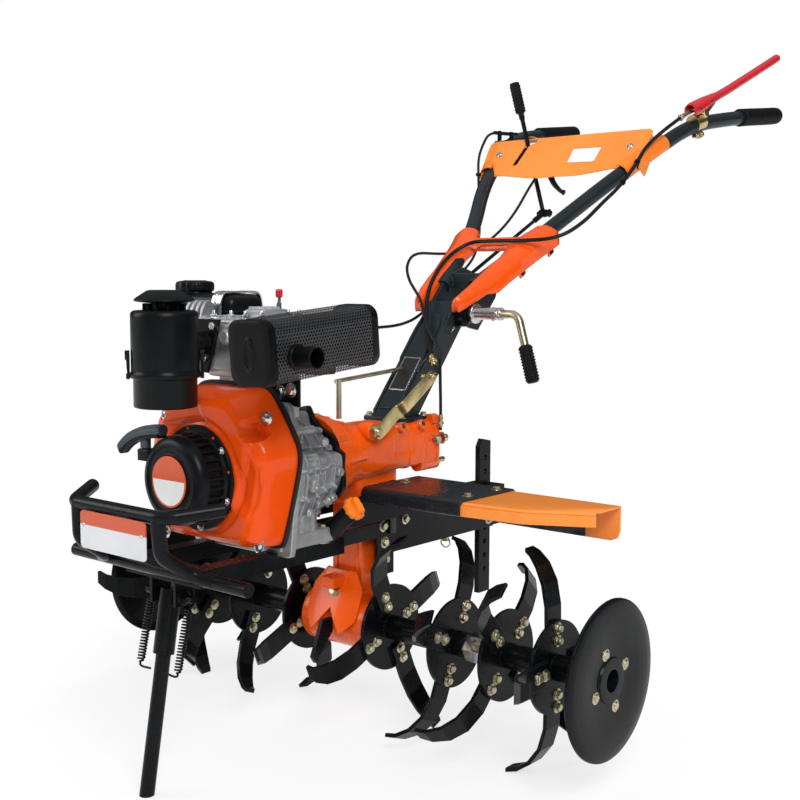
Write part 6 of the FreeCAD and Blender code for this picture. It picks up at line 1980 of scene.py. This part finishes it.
def make_throttle():
    """The throttle's clamp and thumb lever on the right tube, its cable's barrel, and its bolts."""
    tube = tube_part(-1, 470, 500, 14)
    middle = tube[len(tube) // 2]
    lean = (0.1, 0, 1)
    lever = smooth_line([middle + (-0.004, 0, 0.028), middle + (0.016, 0.010, 0.033),
                         middle + (0.040, 0.016, 0.034), middle + (0.050, 0.018, 0.030)], 20)
    barrel = smooth_line([at_hinge(-224, 464, 418), at_hinge(-221, 500, 419), at_hinge(-215, 546, 421)], 16)
    shells = [carried(tube, circle(19.6, 36), Z),
              slab(rounded(16, 20, 3), 10, middle + (-0.002, 0, 0.014), X, Y, 2.5),
              lathe([(13, 0), (13.6, 1.6), (13.6, 6), (12, 8)], middle + (-0.004, 0, 0.022), lean, 36),
              carried(lever, rounded(7, 3, 1.2), Z), carried(barrel, circle(4.4, 16), Z)]
    for x, back, up in ((-223, 482, 411), (-218, 524, 412)):
        shells.append(slab(rounded(13, 26, 3), 4, at_hinge(x, back, up), Y, Z, 1.0))
    piece("throttle_clamp", shells, "black_plastic", "handlebar", crease=45)
    bolts = hex_bolt(middle + (-0.004, 0, 0.030), lean, 8, 4)
    bolts += hex_bolt(middle + (0.006, -0.018, -0.004), AHEAD, 8, 4)
    piece("throttle_bolts", bolts, "zinc", "handlebar", crease=45)


# ------------------------------------------------------------ cables

CLUTCH_RUN = [(258, 519.7, 431.8), (254.8, 478, 415), (216, 408, 356), (209, 374, 310), (196, 330, 262),
              (200, 253, 224), (194, 190, 181), (168, 142, 151), (110, 126, 146), (8, 128, 147),
              (-42, 126, 146), (-66, 89, 120), (-55, 29, 84), (-30, -28, 48), (-18, -52, 8), (20, -92, -48),
              (62, -130, -88), (78, -136, -112)]
THROTTLE_RUN = [(-224, 470, 418), (-222, 440, 414), (-215, 408, 388), (-212, 384, 352), (-210.8, 383.2, 310),
                (-196, 366, 262), (-176, 344, 212), (-168, 330, 150), (-140, 260, 100), (-100, 120, 56),
                (-70, 20, 6), (-62, -60, -24), (-56, -180, -28), (-50, -330, -26), (-50, -420, -22)]
REVERSE_RUN = [(-41.6, 412.6, 318), (-62, 410, 314), (-78, 320, 190), (-112, 232, 126), (-145, 150, 122),
               (-140, 60, 124), (-134, 26, 96), (-105, 0, 66), (-66, -28, 46), (-26, -58, 27), (-3, -75, -3),
               (31, -101, -35), (66, -112, -66), (70, -116, -130), (70, -114, -170), (70, -114, -222)]


def cable_line(name, run):
    """Points along a smooth spline whose control points are the cable's route."""
    curve = bpy.data.curves.new(name + "_route", "CURVE")
    curve.dimensions = "3D"
    curve.resolution_u = 12
    spline = curve.splines.new("NURBS")
    spline.points.add(len(run) - 1)
    for point, place in zip(spline.points, run):
        point.co = (*at_hinge(*place), 1)
    spline.order_u = 3
    spline.use_endpoint_u = True
    thing = bpy.data.objects.new(name + "_route", curve)
    mesh = bpy.data.meshes.new_from_object(thing)
    line = np.array([vertex.co for vertex in mesh.vertices])
    bpy.data.objects.remove(thing)
    bpy.data.meshes.remove(mesh)
    bpy.data.curves.remove(curve)
    return line


LEAN = (0, 0.1, 1)


def cable_tube(line, radius, sides=16):
    """A sheath along a cable's line, its ring kept from twisting from point to point."""
    way = unit(np.gradient(line, axis=0))
    side = unit(np.cross(way[0], LEAN))
    angle = np.linspace(0, 2 * np.pi, sides, endpoint=False)
    rows = []
    for place, forward in zip(line, way):
        side = unit(side - forward * np.dot(side, forward))
        over = np.cross(forward, side)
        rows.append(place + radius * (np.cos(angle)[:, None] * side + np.sin(angle)[:, None] * over))
    return capped(np.array(rows))


def stretch(line, low, high):
    """The part of a line between two distances from its start, in millimetres."""
    along = distances(line) * 1000
    places = np.linspace(low, high, max(2, int((high - low) / 2) + 1))
    return np.column_stack([np.interp(places, along, line[:, axis]) for axis in range(3)])


def line_length(line):
    """A line's whole length, in millimetres."""
    return float(distances(line)[-1]) * 1000


def ferrule(line, low, high, radius, grooves=0):
    """A metal sleeve round a stretch of cable, with screw grooves where they are asked for."""
    part = stretch(line, low, high)
    share = np.linspace(0, 1, len(part))
    swell = 1 + 0.09 * min(grooves, 1) * np.cos(2 * np.pi * grooves * share)
    swell = swell * (1 - 0.25 * ((share < 0.02) | (share > 0.98)))
    return carried(part, circle(radius, 16), LEAN, swell)


def make_sheath(name, run, radius):
    """A cable's sheath between the machine and the handlebar, and its middle line."""
    line = cable_line(name, run)
    thing = piece(name + "_sheath", [cable_tube(line, radius)], "cable_black", None, slot="black_plastic",
                  crease=60)
    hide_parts(name)
    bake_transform(thing)
    return line


def make_cables():
    """The clutch, throttle and reverse cables with the sleeves at their ends, and their ties."""
    radius = bpy.context.scene.tiller_sizes.cable / 2
    clutch = make_sheath("clutch_cable", CLUTCH_RUN, radius)
    throttle = make_sheath("throttle_cable", THROTTLE_RUN, radius * 0.75)
    reverse = make_sheath("reverse_cable", REVERSE_RUN, radius * 0.75)
    piece("clutch_cable_top", [ferrule(clutch, 4, 34, 5.2), ferrule(clutch, 34, 40, 7.4)], "zinc",
          "handlebar", crease=50)
    total = line_length(clutch)
    piece("clutch_cable_end",
          [ferrule(clutch, total - 46, total - 20, 5.4, 12), ferrule(clutch, total - 34, total - 28, 8.6),
           ferrule(clutch, total - 20, total, 3.0)], "yellow_zinc", crease=50)
    make_cable_ties(clutch, throttle)
    total = line_length(throttle)
    piece("throttle_cable_end",
          [ferrule(throttle, total - 26, total - 4, 4.6, 8), ferrule(throttle, total - 4, total, 6)], "zinc",
          crease=50)
    total = line_length(reverse)
    piece("reverse_cable_end",
          [ferrule(reverse, total - 30, total - 6, 4.6, 9), ferrule(reverse, total - 16, total - 11, 7),
           ferrule(reverse, total - 6, total, 2.6)], "zinc", crease=50)


def make_cable_ties(clutch, throttle):
    """Two ties round the clutch cable, one with its tail, and one round the throttle cable."""
    places = ((clutch, 190), (clutch, 252), (throttle, 150))
    ties = [carried(stretch(line, place, place + 5), circle(6.4, 14), LEAN) for line, place in places]
    tail = stretch(clutch, 190, 194)[0]
    tail_line = np.array([tail, tail + (0.008, -0.014, -0.010), tail + (0.012, -0.022, -0.018)])
    ties.append(carried(tail_line, rounded(4, 1.6, 0.6), LEAN))
    piece("cable_ties", ties, "black_plastic", "handlebar", crease=50)


# ------------------------------------------------------------ stage

WHITE = (1, 1, 1, 1)


def stage_floor():
    """A pale level floor that keeps the soft shadow and goes over to plain white with distance."""
    below = -0.0006
    angle = np.linspace(0, 2 * np.pi, 64, endpoint=False)
    radius = np.array([0.001, 2, 6, 40.0])[:, None]
    rings = np.stack(np.broadcast_arrays(radius * np.cos(angle), radius * np.sin(angle), below), -1)
    points, faces = skin(rings, True)
    mesh = bpy.data.meshes.new("floor")
    mesh.from_pydata(points.tolist(), [], faces)
    floor = bpy.data.objects.new("floor", mesh)
    bpy.context.scene.collection.objects.link(floor)
    material = bpy.data.materials.new("stage_floor")
    material.use_nodes = True
    material.node_tree.nodes.clear()
    w = Wiring(material.node_tree)
    lit = w.add("ShaderNodeBsdfDiffuse", {"Color": (0.86, 0.86, 0.86, 1)})
    glow = w.add("ShaderNodeEmission", {"Color": WHITE, "Strength": 1.0})
    place = w.add("ShaderNodeTexCoord").outputs["Object"]
    reach = w.add("ShaderNodeVectorMath", {0: place}, operation="LENGTH").outputs["Value"]
    path = w.add("ShaderNodeLightPath")
    seen = w.math("MAXIMUM", path.outputs["Is Camera Ray"],
                  w.math("MAXIMUM", path.outputs["Is Glossy Ray"], path.outputs["Is Transmission Ray"]))
    share = w.math("MULTIPLY", seen, w.spread(reach, 1.0, 3.4, 0.72, 1.0))
    mix = w.add("ShaderNodeMixShader", {0: share, 1: lit.outputs[0], 2: glow.outputs[0]})
    end = w.add("ShaderNodeOutputMaterial")
    w.tree.links.new(mix.outputs[0], end.inputs["Surface"])
    mesh.materials.append(material)


def stage_world():
    """White where it is looked at, and on the machine a sky that is bright overhead and dim at the sides."""
    world = bpy.data.worlds.new("studio")
    bpy.context.scene.world = world
    world.use_nodes = True
    w = Wiring(world.node_tree)
    world.node_tree.nodes.clear()
    path = w.add("ShaderNodeLightPath")
    seen = w.math("MAXIMUM", path.outputs["Is Camera Ray"], path.outputs["Is Transmission Ray"])
    way = w.add("ShaderNodeSeparateXYZ", {0: w.add("ShaderNodeTexCoord").outputs["Generated"]})
    mirrored = w.spread(way.outputs["Z"], 0.35, 0.95, 0.04, 0.55)
    soft = w.spread(way.outputs["Z"], 0.05, 0.75, 0.18, 0.95)
    shiny = path.outputs["Is Glossy Ray"]
    level = w.math("ADD", w.math("MULTIPLY", mirrored, shiny),
                   w.math("MULTIPLY", soft, w.math("SUBTRACT", 1.0, shiny)))
    light = w.add("ShaderNodeBackground", {"Color": (0.95, 0.97, 1.0, 1), "Strength": level})
    white = w.add("ShaderNodeBackground", {"Color": WHITE, "Strength": 1.0})
    mix = w.add("ShaderNodeMixShader", {0: seen, 1: light.outputs[0], 2: white.outputs[0]})
    end = w.add("ShaderNodeOutputWorld")
    w.tree.links.new(mix.outputs[0], end.inputs["Surface"])


def stance(side, above, back, place):
    """The matrix of a thing whose own axes point to side, above and back, at a place in metres."""
    turn = np.eye(4)
    turn[:3, 0], turn[:3, 1], turn[:3, 2], turn[:3, 3] = side, above, back, place
    return Matrix(turn.tolist())


def soft_lamp(name, place, target, size, power, mirrored=True):
    """A rectangular lamp turned to a target; unmirrored, it doesn't show in polished surfaces."""
    data = bpy.data.lights.new(name, "AREA")
    data.shape = "RECTANGLE"
    data.size, data.size_y = size
    data.energy = power
    lamp = bpy.data.objects.new(name, data)
    bpy.context.scene.collection.objects.link(lamp)
    lamp.visible_glossy = mirrored
    back = -unit(np.asarray(target, float) - place)
    side = unit(np.cross(Z, back))
    lamp.matrix_world = stance(side, np.cross(back, side), back, place)


def stage_camera():
    """The camera stands in front and to the operator's left, at the height of the fenders."""
    data = bpy.data.cameras.new("view")
    data.lens = 53.79
    data.sensor_width = 36
    data.clip_end = 100
    camera = bpy.data.objects.new("view", data)
    bpy.context.scene.collection.objects.link(camera)
    place = (1.4775, -1.9675, 0.8122)
    azimuth, fall, roll = math.radians(39.97), math.radians(5.70), math.radians(0.171)
    back = np.array([math.sin(azimuth) * math.cos(fall), -math.cos(azimuth) * math.cos(fall), math.sin(fall)])
    side = np.array([math.cos(azimuth), math.sin(azimuth), 0.0])
    above = np.cross(back, side)
    right = math.cos(roll) * side + math.sin(roll) * above
    top = -math.sin(roll) * side + math.cos(roll) * above
    camera.matrix_world = stance(right, top, back, place)
    bpy.context.scene.camera = camera


# ------------------------------------------------------------ add-on

class TillerPaints(bpy.types.PropertyGroup):
    """The machine's paint colours."""
    orange: bpy.props.FloatVectorProperty(name="Orange",
                                          description="Gloss paint of the shroud, gear case and covers",
                                          subtype="COLOR", size=3, min=0, max=1, default=(0.86, 0.078, 0.003))
    amber: bpy.props.FloatVectorProperty(name="Amber",
                                         description="Satin paint of the control panel and outer fenders",
                                         subtype="COLOR", size=3, min=0, max=1, default=(0.92, 0.27, 0.035))
    slate: bpy.props.FloatVectorProperty(name="Slate", description="Paint of the column and the handlebar",
                                         subtype="COLOR", size=3, min=0, max=1, default=(0.014, 0.022, 0.026))
    black: bpy.props.FloatVectorProperty(name="Black", description="Paint of the frame, tank and fenders",
                                         subtype="COLOR", size=3, min=0, max=1,
                                         default=(0.006, 0.0065, 0.0072))


class TillerSizes(bpy.types.PropertyGroup):
    """The sizes of the fasteners and controls."""
    bolt: bpy.props.FloatProperty(name="Bolt", description="Width across the flats of the frame's bolts",
                                  unit="LENGTH", min=0.005, max=0.02, default=0.013)
    cable: bpy.props.FloatProperty(name="Cable", description="Diameter of the clutch cable's sheath",
                                   unit="LENGTH", min=0.004, max=0.012, default=0.008)
    lamp_power: bpy.props.FloatProperty(name="Lamp power", description="Power of the main lamp, in watts",
                                        min=1, max=1000, default=95)


class TILLER_OT_stage(bpy.types.Operator):
    """Adds the floor, lamps, world and camera"""
    bl_idname = "tiller.stage"
    bl_label = "Stage"

    def execute(self, context):
        power = context.scene.tiller_sizes.lamp_power
        stage_floor()
        stage_world()
        stage_camera()
        soft_lamp("key_lamp", (2.6, -2.2, 3.0), (0, 0, 0.5), (1.6, 1.6), power)
        soft_lamp("fill_lamp", (-2.6, -2.6, 2.0), (0, 0, 0.5), (1.8, 1.8), power * 0.45)
        soft_lamp("back_lamp", (-1.2, 2.8, 2.8), (0, 0, 0.6), (1.6, 1.2), power * 0.45, False)
        context.scene.view_settings.view_transform = "Standard"
        return {"FINISHED"}


class TILLER_OT_paint(bpy.types.Operator):
    """Gives every fixed part its finish"""
    bl_idname = "tiller.paint"
    bl_label = "Paint fixed parts"

    def execute(self, context):
        own = {"starter_badge": "starter_badge", "bumper_plate": "bumper_plate", "cylinder": "cylinder"}
        for part in frame["record"]["subparts"]:
            name = own.get(part["node"], part["material_slot"])
            repaint(part["node"], finish(name))
        return {"FINISHED"}


class TILLER_OT_shroud(bpy.types.Operator):
    """Builds the fan shroud with its raised panels, gasket and bolts"""
    bl_idname = "tiller.shroud"
    bl_label = "Fan shroud"

    def execute(self, context):
        make_shroud()
        make_gasket()
        make_shroud_bolts()
        return {"FINISHED"}


class TILLER_OT_starter(bpy.types.Operator):
    """Builds the recoil starter and its pull handle"""
    bl_idname = "tiller.starter"
    bl_label = "Recoil starter"

    def execute(self, context):
        make_starter()
        make_starter_fasteners()
        make_pull_handle()
        return {"FINISHED"}


class TILLER_OT_crankcase(bpy.types.Operator):
    """Builds the ribbed crankcase casting, its bolts and the oil filler"""
    bl_idname = "tiller.crankcase"
    bl_label = "Crankcase"

    def execute(self, context):
        make_crankcase()
        make_crankcase_bolts()
        make_filler()
        return {"FINISHED"}


class TILLER_OT_head(bpy.types.Operator):
    """Builds the rocker cover, tank and air cleaner over the engine"""
    bl_idname = "tiller.head"
    bl_label = "Head, tank and air cleaner"

    def execute(self, context):
        make_rocker_cover()
        make_head_nuts()
        make_decompression_lever()
        make_head_castings()
        make_intake()
        make_tank()
        make_tank_cap()
        make_tank_strap()
        make_cleaner()
        make_cleaner_clips()
        return {"FINISHED"}


class TILLER_OT_muffler(bpy.types.Operator):
    """Builds the muffler and its perforated guard"""
    bl_idname = "tiller.muffler"
    bl_label = "Muffler"

    def execute(self, context):
        make_muffler()
        make_muffler_bolts()
        make_muffler_guard()
        return {"FINISHED"}


class TILLER_OT_gear(bpy.types.Operator):
    """Builds the gear case casting, the drive leg's shield and the clutch arm"""
    bl_idname = "tiller.gear"
    bl_label = "Gear case and leg"

    def execute(self, context):
        make_gear_case()
        make_gear_bolts()
        make_adapter_plate()
        make_shield()
        make_leg_fittings()
        make_clutch_arm()
        return {"FINISHED"}


class TILLER_OT_frame(bpy.types.Operator):
    """Adds the frame's bolts, the bumper's plate, the stand's springs and the hitch's fittings"""
    bl_idname = "tiller.frame"
    bl_label = "Frame and stand"

    def execute(self, context):
        make_frame()
        make_front_plate()
        make_stand()
        make_hitch()
        return {"FINISHED"}


class TILLER_OT_fenders(bpy.types.Operator):
    """Builds the pressed fenders and their amber extensions"""
    bl_idname = "tiller.fenders"
    bl_label = "Fenders"

    def execute(self, context):
        make_fenders()
        return {"FINISHED"}


class TILLER_OT_rotor(bpy.types.Operator):
    """Adds the tines' bolts, the couplings and the end discs"""
    bl_idname = "tiller.rotor"
    bl_label = "Rotor"

    def execute(self, context):
        make_tine_bolts()
        make_couplings()
        make_discs()
        return {"FINISHED"}


class TILLER_OT_column(bpy.types.Operator):
    """Adds the column's pressed panel, its plate, and the fork's crank fittings"""
    bl_idname = "tiller.column"
    bl_label = "Column and fork"

    def execute(self, context):
        make_column()
        make_data_plate()
        make_column_bolts()
        make_fork()
        make_crank_grip()
        return {"FINISHED"}


class TILLER_OT_covers(bpy.types.Operator):
    """Builds the moulded cover over the handlebar's tubes"""
    bl_idname = "tiller.covers"
    bl_label = "Tube covers"

    def execute(self, context):
        make_covers()
        make_cover_screws()
        return {"FINISHED"}


class TILLER_OT_controls(bpy.types.Operator):
    """Builds the grips, levers, panel fittings and throttle"""
    bl_idname = "tiller.controls"
    bl_label = "Controls"

    def execute(self, context):
        make_grips()
        make_panel_screws()
        make_panel_rims()
        make_panel_wraps()
        make_shift_lever()
        make_reverse_lever()
        make_clutch_lever()
        make_clutch_clamp()
        make_throttle()
        return {"FINISHED"}


class TILLER_OT_cables(bpy.types.Operator):
    """Builds the three control cables and their ends"""
    bl_idname = "tiller.cables"
    bl_label = "Cables"

    def execute(self, context):
        make_cables()
        return {"FINISHED"}


class TILLER_PT_panel(bpy.types.Panel):
    """Lists the machine's paints, sizes and pieces"""
    bl_idname = "TILLER_PT_panel"
    bl_label = "Rotary tiller"
    bl_space_type = "VIEW_3D"
    bl_region_type = "UI"
    bl_category = "Tiller"

    def draw(self, context):
        layout = self.layout
        for group in (context.scene.tiller_paints, context.scene.tiller_sizes):
            box = layout.box()
            for name in group.bl_rna.properties.keys():
                if name not in ("rna_type", "name"):
                    box.prop(group, name)
        for operator in OPERATORS:
            layout.operator(operator.bl_idname)


OPERATORS = (TILLER_OT_stage, TILLER_OT_paint, TILLER_OT_shroud, TILLER_OT_starter, TILLER_OT_crankcase,
             TILLER_OT_head, TILLER_OT_muffler, TILLER_OT_gear, TILLER_OT_frame, TILLER_OT_fenders,
             TILLER_OT_rotor, TILLER_OT_column, TILLER_OT_covers, TILLER_OT_controls, TILLER_OT_cables)
CLASSES = (TillerPaints, TillerSizes, *OPERATORS, TILLER_PT_panel)


def register():
    """Makes the add-on's classes and its two property groups known."""
    for item in CLASSES:
        bpy.utils.register_class(item)
    bpy.types.Scene.tiller_paints = bpy.props.PointerProperty(type=TillerPaints)
    bpy.types.Scene.tiller_sizes = bpy.props.PointerProperty(type=TillerSizes)


def unregister():
    """Takes the property groups and classes away again."""
    del bpy.types.Scene.tiller_sizes
    del bpy.types.Scene.tiller_paints
    for item in reversed(CLASSES):
        bpy.utils.unregister_class(item)


def main():
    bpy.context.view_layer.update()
    register()
    for operator in OPERATORS:
        getattr(bpy.ops.tiller, operator.bl_idname.split(".")[1])()


if __name__ == "__main__":
    main()
